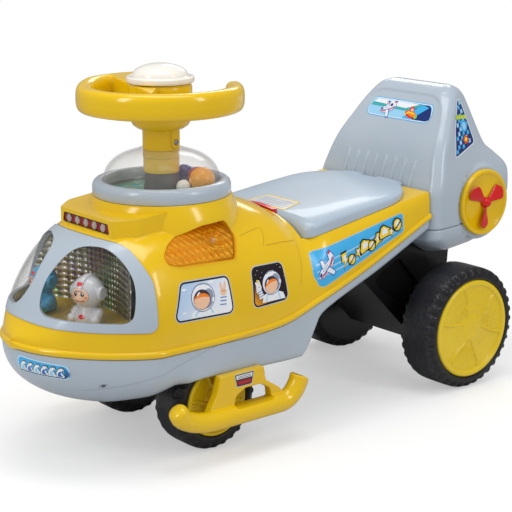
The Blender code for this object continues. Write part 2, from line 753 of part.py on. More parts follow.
def build_cabin():
    """Floor, curved backdrop and sound unit behind the windows."""
    deck = piece("cabin_deck", body_solid(wall=FRAME_WALL + SEAT_GAP), YELLOW)
    combine(deck, cutter("deck_space", inside_body(CABIN_FLOOR_Z - CABIN_FLOOR_THICK, CABIN_FLOOR_Z,
                                                   CABIN_FLOOR_REAR_Y)), "INTERSECT")
    screen = piece("cabin_backdrop", body_solid(wall=FRAME_WALL + SEAT_GAP), SILVER)
    outer = arc((0.0, BACKDROP_Y - 0.20), 0.20, 20.0, 160.0, 12)
    inner = arc((0.0, BACKDROP_Y - 0.20), 0.20 - BACKDROP_WALL, 160.0, 20.0, 12)
    combine(screen, cutter("screen_sheet", prism(outer + inner, CABIN_FLOOR_Z + SEAT_GAP, BACKDROP_TOP_Z)),
            "INTERSECT")
    base = CABIN_FLOOR_Z + SEAT_GAP
    unit = piece("sound_box", box((-0.034, 0.034), (-0.090, -0.058), (base, base + 0.024)), BLACK)
    join(unit, "speaker_rim", rod(0.013, base + 0.020, base + 0.028, 16, (0.0, -0.074, 0.0)))


def figure(name, at, head_r, neck_z, colour):
    """A little seated pilot: a round head on a short body with two arms."""
    x, y = at
    base = CABIN_FLOOR_Z + SEAT_GAP
    head_z = neck_z + head_r * 0.92
    body = revolve([(0.0, base), (0.0165, base), (0.0185, base + 0.008), (0.0125, neck_z + 0.002),
                    (0.0, neck_z + 0.004)], 10, (x, y, 0.0))
    made = piece(name, body, colour, smooth_angle=60.0)
    join(made, name + "_head", ball((x, y, head_z), head_r, 12, 6))
    for side, sign in SIDES:
        arm = ball((x + sign * 0.0195, y - 0.006, base + 0.0085), 0.0078, 8, 4)
        join(made, name + "_arm_" + side, arm)
        ear = rod(head_r * 0.40, head_r * 0.85, head_r * 1.08, 8, (x, y, head_z), "X")
        if sign < 0.0:
            bmesh.ops.translate(ear, verts=ear.verts, vec=(-x, 0.0, 0.0))
            on_side(ear, sign)
            bmesh.ops.translate(ear, verts=ear.verts, vec=(x, 0.0, 0.0))
        join(made, name + "_ear_" + side, ear)


def build_figures():
    """Two figures standing on the cabin floor."""
    figure("astronaut_figure", ASTRONAUT_AT, ASTRONAUT_HEAD_R, 0.219, CREAM)
    figure("pilot_figure", PILOT_AT, PILOT_HEAD_R, 0.220, BLUE)


def build_light_bar():
    """Red bar with five round lamps over the windows."""
    face = LIGHT_FACE_Y + 0.0013
    piece("light_bar", prism(light_outline(-SEAT_GAP), face, LIGHT_BACK_Y - SEAT_GAP, "XZ"), RED)
    middle = 0.5 * (LIGHT_BAR_BOTTOM_Z + LIGHT_BAR_TOP_Z)
    for k in range(BULB_COUNT):
        bulb = revolve([(0.0, 0.0), (BULB_R, 0.0), (BULB_R * 0.75, 0.0018), (0.0, 0.0026)], 12)
        tilt(bulb, 90.0, "X", (0.0, 0.0, 0.0))
        across = (k - (BULB_COUNT - 1) / 2.0) * BULB_PITCH
        bmesh.ops.translate(bulb, verts=bulb.verts, vec=(across, face - SEAT_GAP, middle))
        piece("light_bulb_%d" % (k + 1), bulb, CREAM, roughness=0.1)


def build_signal_lamps():
    """Amber lens in each flank, with a reflector cup behind it."""
    for name, sign in SIDES:
        lens = piece("signal_lamp_" + name, body_solid(proud=LAMP_PROUD), AMBER, alpha=0.6, roughness=0.1)
        combine(lens, cutter("signal_edge_" + name, lamp_prism(sign, SEAT_GAP)), "INTERSECT")
        cut(lens, "signal_hollow_" + name, body_solid(wall=LAMP_WALL))
        back = SHELL_WALL + SEAT_GAP
        cup = piece("lamp_reflector_" + name, body_solid(wall=back), SILVER, metallic=1.0, roughness=0.15)
        combine(cup, cutter("cup_edge_" + name, lamp_prism(sign, -REFLECTOR_RIM, 1)), "INTERSECT")
        cut(cup, "cup_back_" + name, body_solid(wall=back + REFLECTOR_DEPTH))
        space = cutter("cup_space_" + name, lamp_prism(sign, 0.001, 1))
        cut(space, "cup_floor_" + name, body_solid(wall=back + REFLECTOR_DEPTH - REFLECTOR_WALL))
        combine(cup, space, "DIFFERENCE")


# Dome and its balls

def dome_arc(radius, top_radius, rise, steps):
    """Points up the dome's side, from its foot to the sleeve."""
    crest = math.acos((top_radius / radius)**(DOME_POWER / 2.0))
    turns = [crest * k / steps for k in range(steps + 1)]
    return [(radius * math.cos(t)**(2.0 / DOME_POWER), DOME_BASE_Z + rise * math.sin(t)**(2.0 / DOME_POWER))
            for t in turns]


def build_dome():
    """Grey ring, clear dome with a sleeve for the column, and the floor that both stand on."""
    low = PEDESTAL_TOP_Z + SEAT_GAP
    floor_top = low + FLOOR_THICK
    flange_low = floor_top + SEAT_GAP
    flange_top = flange_low + DOME_WALL
    rim = DOME_R + DOME_FLANGE
    piece("dome_floor", revolve([(SHAFT_R + 0.003, low), (rim, low), (rim, floor_top),
                                 (SHAFT_R + 0.003, floor_top)], DOME_STEPS), GREEN)
    bore = DOME_R + SEAT_GAP
    step = flange_top + SEAT_GAP
    piece("dome_ring", revolve([
        (rim + SEAT_GAP, low), (RING_R - 0.002, low), (RING_R, low + 0.002), (RING_R, RING_TOP_Z - 0.007),
        (RING_R - 0.003, RING_TOP_Z - 0.002), (RING_R - 0.009, RING_TOP_Z), (bore, RING_TOP_Z - 0.002),
        (bore, step), (rim + SEAT_GAP, step)], DOME_STEPS), GREY)
    outer = dome_arc(DOME_R, SLEEVE_R, DOME_RISE, 6)
    inside_r = DOME_R - DOME_WALL
    inner = dome_arc(inside_r, SLEEVE_R - DOME_WALL, DOME_RISE - DOME_WALL, 5)
    profile = [(rim, flange_low), (rim, flange_top), (DOME_R, flange_top)] + outer
    profile += [(SLEEVE_R, SLEEVE_TOP_Z), (SLEEVE_R - DOME_WALL, SLEEVE_TOP_Z)] + inner[::-1]
    profile += [(inside_r, flange_low)]
    piece("clear_dome", revolve(profile, DOME_STEPS), CREAM, alpha=0.25, roughness=0.05)
    for name, radius, at, colour in (("ball_orange", BIG_BALL_R, (0.0507, 0.0320), AMBER),
                                     ("ball_red", 0.83 * BIG_BALL_R, (0.0205, 0.0475), RED),
                                     ("ball_white", 0.55 * BIG_BALL_R, (0.0409, 0.0070), CREAM),
                                     ("ball_blue", 0.78 * BIG_BALL_R, (-0.0145, 0.0500), BLUE)):
        piece(name, ball((*at, flange_low + radius), radius, 12, 6), colour, smooth_angle=60.0)


# Seat lid, hinge, latch and tub

def hinge_z():
    """Height of the hinge axis."""
    return deck_z(HINGE_Y) + HINGE_HEIGHT


def hinge_rod(radius, half):
    """A round bar on the hinge axis."""
    return rod(radius, -half, half, 10, (0.0, HINGE_Y, hinge_z()), "X")


def hinge_tab():
    """Small upright eye on the deck for the lid's pin."""
    foot = deck_z(HINGE_Y) - 0.0015
    outline = [(HINGE_Y - HINGE_TAB_DEPTH, foot), (HINGE_Y + HINGE_TAB_DEPTH, foot)]
    outline += arc((HINGE_Y, hinge_z()), HINGE_TAB_DEPTH, 0.0, 180.0, 6)
    return prism(outline, -HINGE_TAB_HALF, HINGE_TAB_HALF, "YZ")


LID_FRONT_Y = DECK_FRONT_Y + LID_FRONT_GAP
LID_SHARES = [0.0, 0.11, 0.34, 0.57, 0.70, 0.80, 0.91]
LID_HOLLOW_SHARES = [0.025, 0.34, 0.66, 0.80, 0.91]


def lid_half_width(y):
    """Half width of the lid: straight sides and clipped corners at the rear."""
    return smooth([(LID_FRONT_Y, LID_HALF_WIDTH - 0.010), (LID_FRONT_Y + 0.004, LID_HALF_WIDTH - 0.005),
                   (LID_FRONT_Y + 0.014, LID_HALF_WIDTH - 0.001), (0.200, LID_HALF_WIDTH),
                   (HINGE_Y - 0.075, LID_HALF_WIDTH - 0.001), (HINGE_Y - 0.050, LID_HALF_WIDTH - 0.006),
                   (HINGE_Y - 0.027, LID_HALF_WIDTH - 0.020), (HINGE_Y, LID_HALF_WIDTH - 0.053)], y)


def lid_crown(y):
    """Height of the lid's top above the deck, along its middle."""
    return smooth([(LID_FRONT_Y, LID_FRONT_CROWN - 0.008), (LID_FRONT_Y + 0.004, LID_FRONT_CROWN - 0.003),
                   (LID_FRONT_Y + 0.014, LID_FRONT_CROWN),
                   (HINGE_Y - 0.145, LID_FRONT_CROWN - 0.003), (HINGE_Y - 0.065, LID_FRONT_CROWN - 0.009),
                   (HINGE_Y, HINGE_HEIGHT + HINGE_ROUND)], y)


def lid_ring(y, inset, low, high, steps=6):
    """One cross-section of the lid, square at the foot and rounded over the top."""
    side = lid_half_width(y) - inset
    points = [(side, y, low)]
    for k in range(steps + 1):
        t = math.pi / 2.0 * k / steps
        points.append((side * math.cos(t)**0.5 if k < steps else 0.0, y,
                       low + (high - low) * (0.25 + 0.75 * math.sin(t)**0.5 if k else 0.25)))
    return mirrored([(0.0, y, low)] + points)


def build_seat():
    """Hinged lid that is the seat, its pin, the latch bar and the tub beneath."""
    foot = HINGE_HEIGHT - HINGE_ROUND
    rings = []
    start = LID_FRONT_Y + 0.014
    span = HINGE_Y - start
    for y in [LID_FRONT_Y, LID_FRONT_Y + 0.004] + [start + span * s for s in LID_SHARES]:
        rings.append(lid_ring(y, 0.0, deck_z(y) + foot, deck_z(y) + lid_crown(y)))
    for turn in (math.radians(d) for d in (0.0, 35.0, 65.0, 88.0)):
        y = HINGE_Y + HINGE_ROUND * math.sin(turn)
        reach = HINGE_ROUND * math.cos(turn)
        rings.append(lid_ring(y, 0.0, hinge_z() - reach, hinge_z() + reach))
    lid = piece("seat_lid", loft(rings), GREY, pivot=(0.0, HINGE_Y, hinge_z()))
    hollow = []
    for y in [LID_FRONT_Y + LID_WALL] + [start + span * s for s in LID_HOLLOW_SHARES]:
        hollow.append(lid_ring(y, LID_WALL, deck_z(y) - 0.010, deck_z(y) + lid_crown(y) - LID_WALL, 4))
    cut(lid, "lid_hollow", loft(hollow))
    notch = HINGE_TAB_HALF + SLIDE_GAP
    cut(lid, "lid_notch", box((-notch, notch), (HINGE_Y - 0.0076, HINGE_Y + 0.02), (0.2, 0.4)))
    bay = LATCH_HALF_WIDTH + 2.0 * SLIDE_GAP
    rear = LATCH_FRONT_Y + LATCH_DEPTH + 2.0 * SLIDE_GAP
    bay_plan = rounded([(-bay, 0.15), (bay, 0.15), (bay, rear), (-bay, rear)], 0.001, 1)
    join(lid, "lid_bay_wall", prism([(-bay - LID_WALL, rear - 0.004), (bay + LID_WALL, rear - 0.004),
                                     (bay + LID_WALL, rear + LID_WALL), (-bay - LID_WALL, rear + LID_WALL)],
                                    0.2768, 0.2935))
    cut(lid, "lid_bay", prism(bay_plan, 0.2, 0.4))
    cut(lid, "lid_bore", hinge_rod(HINGE_PIN_R + RUNNING_GAP, HINGE_PIN_HALF + SEAT_GAP))
    piece("hinge_pin", hinge_rod(HINGE_PIN_R, HINGE_PIN_HALF), SILVER, metallic=1.0)
    rear = LATCH_FRONT_Y + LATCH_DEPTH
    shelf = deck_z(LATCH_FRONT_Y) - SHELL_WALL - SEAT_GAP
    latch = piece("seat_latch", prism(latch_outline(shelf - 0.001), LATCH_FRONT_Y, rear, "XZ"), RED)
    x = LATCH_HALF_WIDTH + LATCH_FOOT
    join(latch, "latch_foot", box((-x, x), (LATCH_FRONT_Y, rear + LATCH_FOOT), (shelf - 0.003, shelf)))
    tub = piece("storage_tub", tub_layer(TUB_WALL, -TUB_DEPTH, 0.001), YELLOW)
    join(tub, "tub_flange", tub_layer(TUB_WALL + TUB_FLANGE, SEAT_GAP, SEAT_GAP + 0.002))
    cut(tub, "tub_space", tub_layer(0.0, -TUB_DEPTH + TUB_WALL, 0.02))


# Backrest

def back_front(z):
    """Where the backrest's front face stands at a height."""
    face = TAIL_REACH + SEAT_GAP
    return smooth([(BACKREST_BOTTOM_Z, face + 0.045), (0.210, face + 0.034), (0.222, face + 0.014),
                   (0.235, face), (0.300, face), (0.330, face + 0.008), (0.363, face + 0.020),
                   (0.402, face + 0.044), (0.434, face + 0.065), (0.449, face + 0.077),
                   (BACKREST_TOP_Z, face + 0.090)], z)


def back_rear(z):
    """Where the backrest's rear face stands at a height."""
    face = BACKREST_REAR_Y
    return smooth([(BACKREST_BOTTOM_Z, face - 0.084), (0.210, face - 0.066), (0.224, face - 0.044),
                   (0.250, face - 0.018), (0.295, face), (0.320, face), (0.330, face - 0.004),
                   (0.352, face - 0.029), (0.366, face - 0.047), (0.406, face - 0.061),
                   (0.439, face - 0.071), (BACKREST_TOP_Z, face - 0.088)], z)


def back_width(z):
    """Half width of the backrest's front face at a height."""
    wide = BACKREST_HALF_WIDTH
    return smooth([(BACKREST_BOTTOM_Z, wide - 0.042), (0.210, wide - 0.020), (0.222, wide - 0.009),
                   (0.240, wide), (0.300, wide), (0.363, wide - 0.012), (0.402, wide - 0.025),
                   (0.434, wide - 0.038), (0.449, wide - 0.049), (BACKREST_TOP_Z, wide - 0.068)], z)


def back_ring(z, wall):
    """One level cross-section of the backrest, narrower at the rear."""
    at = z + max(wall, 0.0) if z > BACKREST_SEAM_Z else z - max(wall, 0.0)
    front, rear = back_front(at) + wall, back_rear(at) - wall
    wide = back_width(at) - wall
    depth = rear - front
    narrow = wide - min(0.020, 0.3 * depth)
    near, far = min(0.018 - wall, 0.4 * depth), min(0.024 - wall, 0.45 * depth)
    plan = rounded([(-wide, front), (wide, front), (narrow, rear), (-narrow, rear)],
                   [near, near, far, far], 2)
    return [(x, y, z) for x, y in plan]


def back_solid(name, wall):
    """Whole backrest form with its round engine housing, as a tool body or the hollow inside it."""
    heights = [BACKREST_BOTTOM_Z, 0.210, 0.224, 0.250, 0.275, 0.300, 0.322, 0.345, 0.366, 0.402, 0.430,
               0.448, BACKREST_TOP_Z]
    heights = [min(max(z, BACKREST_BOTTOM_Z + wall), BACKREST_TOP_Z - 1.6 * wall) for z in heights]
    made = cutter(name, loft([back_ring(z, wall) for z in heights]))
    half, radius = ENGINE_HALF_X - wall, ENGINE_R - wall
    axis = (0.0, ROTOR_Y, ROTOR_Z)
    for side, sign in SIDES:
        recess = rod(ENGINE_R + wall, half - 0.003, 0.16, 22, axis, "X")
        cut(made, "%s_recess_%s" % (name, side), on_side(recess, sign))
    drum = revolve([(0.0, -half), (radius - 0.006, -half), (radius, -half + 0.006), (radius, half - 0.006),
                    (radius - 0.006, half), (0.0, half)], 22, axis, "X")
    join(made, name + "_drum", drum)
    return made


def panel_half_width(z):
    """Half width of the sunk panel on the backrest's front."""
    wide = BACKREST_HALF_WIDTH - 0.016
    return smooth([(0.262, wide), (0.300, wide), (0.350, wide - 0.009), (0.402, wide - 0.024),
                   (0.425, wide - 0.035), (0.437, wide - 0.048), (0.443, wide - 0.064)], z)


def build_backrest():
    """Upper shell with a sunk ribbed panel, and the lower moulding under the seam."""
    ahead = TAIL_REACH - 0.05
    for name, low, high in (("backrest_shell", BACKREST_SEAM_Z + SEAT_GAP, 0.60),
                            ("backrest_base", 0.10, BACKREST_SEAM_Z)):
        made = piece(name, box((-0.2, 0.2), (ahead, BACKREST_REAR_Y + 0.05), (low, high)), GREY)
        combine(made, back_solid(name + "_form", 0.0), "INTERSECT")
        combine(made, back_solid(name + "_hollow", BACKREST_WALL), "DIFFERENCE")
        if name == "backrest_base":
            continue
        sunk = [[(-w, ahead, z), (w, ahead, z), (w, back_front(z) + PANEL_DEPTH, z),
                 (-w, back_front(z) + PANEL_DEPTH, z)]
                for z, w in ((z, panel_half_width(z)) for z in
                             (0.262, 0.280, 0.300, 0.332, 0.350, 0.375, 0.402, 0.425, 0.437, 0.443))]
        cut(made, "panel", loft(sunk))
        for k in range(RIB_COUNT):
            x = (k - (RIB_COUNT - 1) / 2.0) * RIB_PITCH
            rib = []
            for z, proud in ((0.280, -0.0003), (0.300, RIB_PROUD), (0.332, RIB_PROUD), (0.350, -0.0003)):
                face = back_front(z) + PANEL_DEPTH
                rib.append([(x - RIB_WIDTH / 2, face + 0.001, z), (x + RIB_WIDTH / 2, face + 0.001, z),
                            (x + RIB_WIDTH / 4, face - proud, z), (x - RIB_WIDTH / 4, face - proud, z)])
            join(made, "rib_%d" % (k + 1), loft(rib))


def build_rotors():
    """Dished yellow disc on each side of the engine housing, with a three-blade propeller."""
    seat = ENGINE_HALF_X + SEAT_GAP
    rim = seat + DISC_THICK
    dish = rim - DISC_DISH
    centre = (0.0, ROTOR_Y, ROTOR_Z)
    for name, sign in SIDES:
        disc = revolve([(0.0, seat), (DISC_R, seat), (DISC_R, rim - 0.002), (DISC_R - 0.0015, rim),
                        (DISC_R - 0.0045, rim), (DISC_R - 0.0085, dish), (0.0, dish)], 22, centre, "X")
        made = piece("rotor_disc_" + name, on_side(disc, sign), YELLOW)
        bore = rod(PROPELLER_STEM_R + RUNNING_GAP, seat + 0.0015, rim + 0.01, 10, centre, "X")
        cut(made, "rotor_bore_" + name, on_side(bore, sign))
        back = dish + 0.0006
        hub = revolve([(0.0, seat + 0.0018), (PROPELLER_STEM_R, seat + 0.0018), (PROPELLER_STEM_R, back),
                       (PROPELLER_HUB_R, back), (PROPELLER_HUB_R, back + 0.004),
                       (PROPELLER_HUB_R * 0.55, back + PROPELLER_NOSE * 0.75),
                       (0.0, back + PROPELLER_NOSE)], 12, centre, "X")
        made = piece("propeller_" + name, on_side(hub, sign), RED, pivot=(sign * back, ROTOR_Y, ROTOR_Z))
        for k in range(3):
            blade = prism(rounded([(0.004, -0.0040), (PROPELLER_R * 0.72, -0.0085), (PROPELLER_R, -0.0060),
                                   (PROPELLER_R, 0.0060), (PROPELLER_R * 0.72, 0.0070), (0.004, 0.0040)],
                                  [0.0005, 0.006, 0.005, 0.005, 0.006, 0.0005], 1),
                          -0.0008, 0.0008)
            tilt(blade, PROPELLER_PITCH_DEG, "X", (0.0, 0.0, 0.0))
            tilt(blade, -90.0, "Y", (0.0, 0.0, 0.0))
            tilt(blade, 120.0 * k + 180.0, "X", (0.0, 0.0, 0.0))
            bmesh.ops.translate(blade, verts=blade.verts, vec=(back + 0.0029, ROTOR_Y, ROTOR_Z))
            join(made, "blade_%s_%d" % (name, k), on_side(blade, sign))


# Running gear

def tyre_profile(radius, width, hub_r, low_lug):
    """Section of one blow-moulded wheel; every second step drops into a gap between lugs."""
    half = width / 2.0
    drop = LUG_DEPTH if low_lug else 0.0
    shoulder = radius - TYRE_SHOULDER * 0.55 - drop * 1.6
    crown = radius - drop * 0.5
    seat = hub_r + SEAT_GAP
    return [(AXLE_R + RUNNING_GAP, -half + 0.004), (shoulder, -half), (crown, -half + TYRE_SHOULDER),
            (crown, half - TYRE_SHOULDER), (shoulder, half), (seat, half),
            (seat, half - HUB_DEPTH), (AXLE_R + RUNNING_GAP, half - HUB_DEPTH)]


def fan_outline(inner, outer, turn_deg, spread_deg, steps):
    """A wedge between two radii, closed towards the hub."""
    rim = arc((0.0, 0.0), outer, turn_deg - spread_deg, turn_deg + spread_deg, steps)
    root = arc((0.0, 0.0), inner, turn_deg + spread_deg * 0.45, turn_deg - spread_deg * 0.45, 1)
    return rim + root


def build_wheel(name, sign, y, radius, width, track, hub_r, lugs):
    """Black wheel with shoulder lugs, and the yellow ribbed cap in its outer face."""
    centre = (track, y, radius)
    half = width / 2.0
    tyre = revolve(lambda k: tyre_profile(radius, width, hub_r, k % 2), 2 * lugs, centre, "X")
    pivot = (sign * track, y, radius)
    piece(name + "_wheel", on_side(tyre, sign), BLACK, pivot=pivot, roughness=0.6, smooth_angle=25.0)
    face = half + HUB_PROUD
    web = face - 0.0030
    profile = [(0.0, half - HUB_DEPTH + SEAT_GAP), (hub_r, half - HUB_DEPTH + SEAT_GAP),
               (hub_r, face - 0.002), (hub_r - 0.002, face), (hub_r - 0.0055, face), (hub_r - 0.0075, web),
               (0.0165, web), (0.0145, face - 0.0005), (0.0, face - 0.0005)]
    cap = piece(name + "_hub_cap", on_side(revolve(profile, 20, centre, "X"), sign), YELLOW, pivot=pivot)
    for k in range(6):
        spread = 24.0 if k % 2 == 0 else 15.0
        fan = prism(fan_outline(hub_r * 0.34, hub_r - 0.013, 60.0 * k + 20.0, spread, 2),
                    web - 0.0024, face + 0.01)
        tilt(fan, 90.0, "Y", (0.0, 0.0, 0.0))
        bmesh.ops.translate(fan, verts=fan.verts, vec=centre)
        cut(cap, "%s_fan_%d" % (name, k), on_side(fan, sign))


def build_wheels():
    """Two steered wheels at the front and two large ones at the rear, on plain axles."""
    for name, sign in SIDES:
        build_wheel("front_" + name, sign, 0.0, FRONT_WHEEL_R, FRONT_WHEEL_WIDTH, FRONT_TRACK_HALF,
                    FRONT_HUB_R, FRONT_LUGS)
        build_wheel("rear_" + name, sign, WHEELBASE, REAR_WHEEL_R, REAR_WHEEL_WIDTH, REAR_TRACK_HALF,
                    REAR_HUB_R, REAR_LUGS)
    for name, y, z, track, width in (
            ("front_axle", 0.0, FRONT_WHEEL_R, FRONT_TRACK_HALF, FRONT_WHEEL_WIDTH),
            ("rear_axle", WHEELBASE, REAR_WHEEL_R, REAR_TRACK_HALF, REAR_WHEEL_WIDTH)):
        half = track + width / 2.0 - HUB_DEPTH
        piece(name, rod(AXLE_R, -half, half, 12, (0.0, y, z), "X"), SILVER, metallic=1.0)


def build_front_bogie():
    """Steered fork: turntable disc, waisted post and the boss that holds the front axle."""
    top = WELL_TOP_Z - RUNNING_GAP
    low = top - TURNTABLE_THICK
    bogie = piece("front_bogie", rod(TURNTABLE_R, low, top, 22), BLACK, roughness=0.5)
    cheek = rounded([(-0.034, low + 0.002), (0.034, low + 0.002), (0.020, 0.074), (0.013, 0.058),
                     (-0.013, 0.058), (-0.020, 0.074)], [0.001, 0.001, 0.006, 0.006, 0.006, 0.006], 2)
    join(bogie, "bogie_post", prism(cheek, -0.040, 0.040, "YZ"))
    end = FRONT_TRACK_HALF - FRONT_WHEEL_WIDTH / 2.0 + 0.0020
    join(bogie, "bogie_boss", rod(BOGIE_BOSS_R, -end, end, 16, (0.0, 0.0, FRONT_WHEEL_R), "X"))
    axle = (0.0, 0.0, FRONT_WHEEL_R)
    bore = rod(AXLE_R + SEAT_GAP, -0.1, 0.1, 12, axle, "X")
    cut(bogie, "bogie_bore", tilt(bore, FACET_TURN_DEG, "X", axle))
    socket = rod(SHAFT_R + SEAT_GAP, SHAFT_BOTTOM_Z - SEAT_GAP, 0.17, 16)
    cut(bogie, "bogie_socket", tilt(socket, FACET_TURN_DEG, "Z", axle))


def build_rear_undercarriage():
    """Black pedestal under the tail with the housing of the rear axle."""
    axle = (0.0, WHEELBASE, REAR_WHEEL_R)
    housing = revolve([(0.0, -HOUSING_END_X), (0.019, -HOUSING_END_X), (HOUSING_R, -0.078),
                       (HOUSING_R, 0.078), (0.019, HOUSING_END_X), (0.0, HOUSING_END_X)],
                      20, axle, "X")
    made = piece("rear_undercarriage", housing, BLACK, roughness=0.4)
    top = [(y, belly_z(y) - SEAT_GAP) for y in (TAIL_REACH - d for d in (0.110, 0.080, 0.050, 0.010))]
    under = BACKREST_BOTTOM_Z - SEAT_GAP
    top += [(TAIL_REACH + 0.008, BACKREST_BOTTOM_Z + 0.026), (TAIL_REACH + 0.042, under),
            (TAIL_REACH + 0.102, under)]
    side = [(WHEELBASE - 0.028, 0.060)] + top
    side += [(WHEELBASE + 0.036, 0.120), (WHEELBASE + 0.028, 0.066), (WHEELBASE, 0.058)]
    pedestal = prism(side, -PEDESTAL_HALF_WIDTH, PEDESTAL_HALF_WIDTH, "YZ")
    for v in pedestal.verts:
        v.co.x *= 1.0 - 0.9 * max(v.co.z - 0.13, 0.0)
    join(made, "undercarriage_pedestal", pedestal)
    cut(made, "undercarriage_clearance", hull_solid(wall=-SEAT_GAP))
    combine(made, back_solid("undercarriage_base_form", -SEAT_GAP), "DIFFERENCE")
    for name, sign in SIDES:
        dish = rounded([(WHEELBASE - 0.124, 0.170), (WHEELBASE - 0.028, 0.100), (WHEELBASE - 0.018, 0.150),
                        (WHEELBASE - 0.064, 0.200)], 0.010, 2)
        cut(made, "undercarriage_dish_" + name,
            on_side(prism(dish, PEDESTAL_HALF_WIDTH - 0.010, 0.12, "YZ"), sign))
    cut(made, "undercarriage_bore", rod(AXLE_R + SEAT_GAP, -0.2, 0.2, 12, axle, "X"))


def build_foot_rests():
    """Round skid with curled ends, carried by an arched bracket under each flank."""
    for name, sign in SIDES:
        front = [((SKID_X, -0.098, 0.0905), 0.35), ((SKID_X, -0.0960, 0.0880), 0.80),
                 ((SKID_X, -0.0930, 0.0840), 1.0)]
        curl = [((SKID_X, -0.028 - 0.070 * math.sin(t), SKID_Z + 0.033 * (1.0 - math.cos(t))), 1.0)
                for t in (math.radians(d) for d in (60.0, 38.0, 18.0, 0.0))]
        tail = [((SKID_X, 0.082 + 0.038 * math.sin(t), SKID_Z + 0.046 * (1.0 - math.cos(t))), 1.0)
                for t in (math.radians(d) for d in (0.0, 22.0, 44.0, 62.0, 74.0))]
        skid = sweep(front + curl + tail, oval(SKID_R, SKID_R, 2.0, 10), (1.0, 0.0, 0.0))
        made = piece("foot_rest_" + name, on_side(skid, sign), YELLOW)
        slant = prism([(0.095, 0.150), (0.160, 0.150), (0.160, 0.060), (0.100, 0.108)], 0.10, 0.20, "YZ")
        cut(made, "skid_slant_" + name, on_side(slant, sign))
        side = rounded([(-0.046, SKID_Z), (0.090, SKID_Z), (0.086, 0.080), (0.058, 0.098),
                        (0.055, BRACKET_TOP_Z), (-0.020, BRACKET_TOP_Z), (-0.028, 0.092)],
                       [0.002, 0.002, 0.010, 0.010, 0.002, 0.002, 0.020], 2)
        join(made, "bracket_" + name, on_side(prism(side, BRACKET_INNER_X, BRACKET_OUTER_X, "YZ"), sign))
        window = rounded([(0.002, SKID_Z + SKID_R * 0.75), (0.068, SKID_Z + SKID_R * 0.75), (0.066, 0.084),
                          (0.050, 0.094), (0.022, 0.094), (0.006, 0.086)],
                         [0.001, 0.001, 0.006, 0.006, 0.008, 0.006], 2)
        cut(made, "bracket_window_" + name, on_side(prism(window, 0.10, 0.20, "YZ"), sign))
        cut(made, "bracket_clearance_" + name, hull_solid(wall=-SEAT_GAP))


# Steering

def build_column():
    """Steel shaft, moulded column tube, neck with a screw, and the collar at the dome's floor."""
    floor_top = PEDESTAL_TOP_Z + SEAT_GAP + FLOOR_THICK
    bore = SHAFT_R + SEAT_GAP
    piece("steering_shaft", rod(SHAFT_R, SHAFT_BOTTOM_Z, SHAFT_TOP_Z, 16), SILVER, metallic=1.0)
    low = floor_top + SEAT_GAP
    running = SHAFT_R + 0.0008
    piece("column_collar", revolve([(running, low), (COLLAR_R + 0.0014, low), (COLLAR_R, low + 0.010),
                                    (COLLAR_R - 0.0006, COLLAR_TOP_Z), (running, COLLAR_TOP_Z)], 20),
          BLACK, roughness=0.5)
    piece("steering_column", revolve([(bore, COLLAR_TOP_Z + RUNNING_GAP),
                                      (COLUMN_R - 0.001, COLLAR_TOP_Z + RUNNING_GAP),
                                      (COLUMN_R, COLLAR_TOP_Z + 0.002), (COLUMN_R, COLUMN_TOP_Z),
                                      (bore, COLUMN_TOP_Z)], 20), YELLOW)
    low = COLUMN_TOP_Z + SEAT_GAP
    top = BOWL_BOTTOM_Z - SEAT_GAP
    neck = piece("steering_neck", revolve([(0.0, SHAFT_TOP_Z + SEAT_GAP), (bore, SHAFT_TOP_Z + SEAT_GAP),
                                           (bore, low), (COLUMN_R, low), (COLUMN_R, top), (0.0, top)], 20),
                 YELLOW)
    pad = prism(rounded([(-0.008, low + 0.003), (0.008, low + 0.003), (0.008, top), (-0.008, top)],
                        [0.007, 0.007, 0.0005, 0.0005], 3), 0.012, COLUMN_R + 0.0015, "YZ")
    tilt(pad, SCREW_DEG, "Z", (0.0, 0.0, 0.0))
    join(neck, "neck_pad", pad)
    face = COLUMN_R + 0.0015
    hole = rod(SCREW_R * 0.5 + SEAT_GAP, SHAFT_R + 0.003, 0.05, 10, (0.0, 0.0, SCREW_Z), "X")
    cut(neck, "neck_screw_hole", tilt(hole, SCREW_DEG, "Z", (0.0, 0.0, 0.0)))
    head = face + SEAT_GAP
    screw = revolve([(0.0, SHAFT_R + 0.0035), (SCREW_R * 0.5, SHAFT_R + 0.0035), (SCREW_R * 0.5, head),
                     (SCREW_R, head), (SCREW_R * 0.9, head + 0.0014), (0.0, head + 0.0022)],
                    12, (0.0, 0.0, SCREW_Z), "X")
    piece("column_screw", tilt(screw, SCREW_DEG, "Z", (0.0, 0.0, 0.0)), SILVER, metallic=1.0)


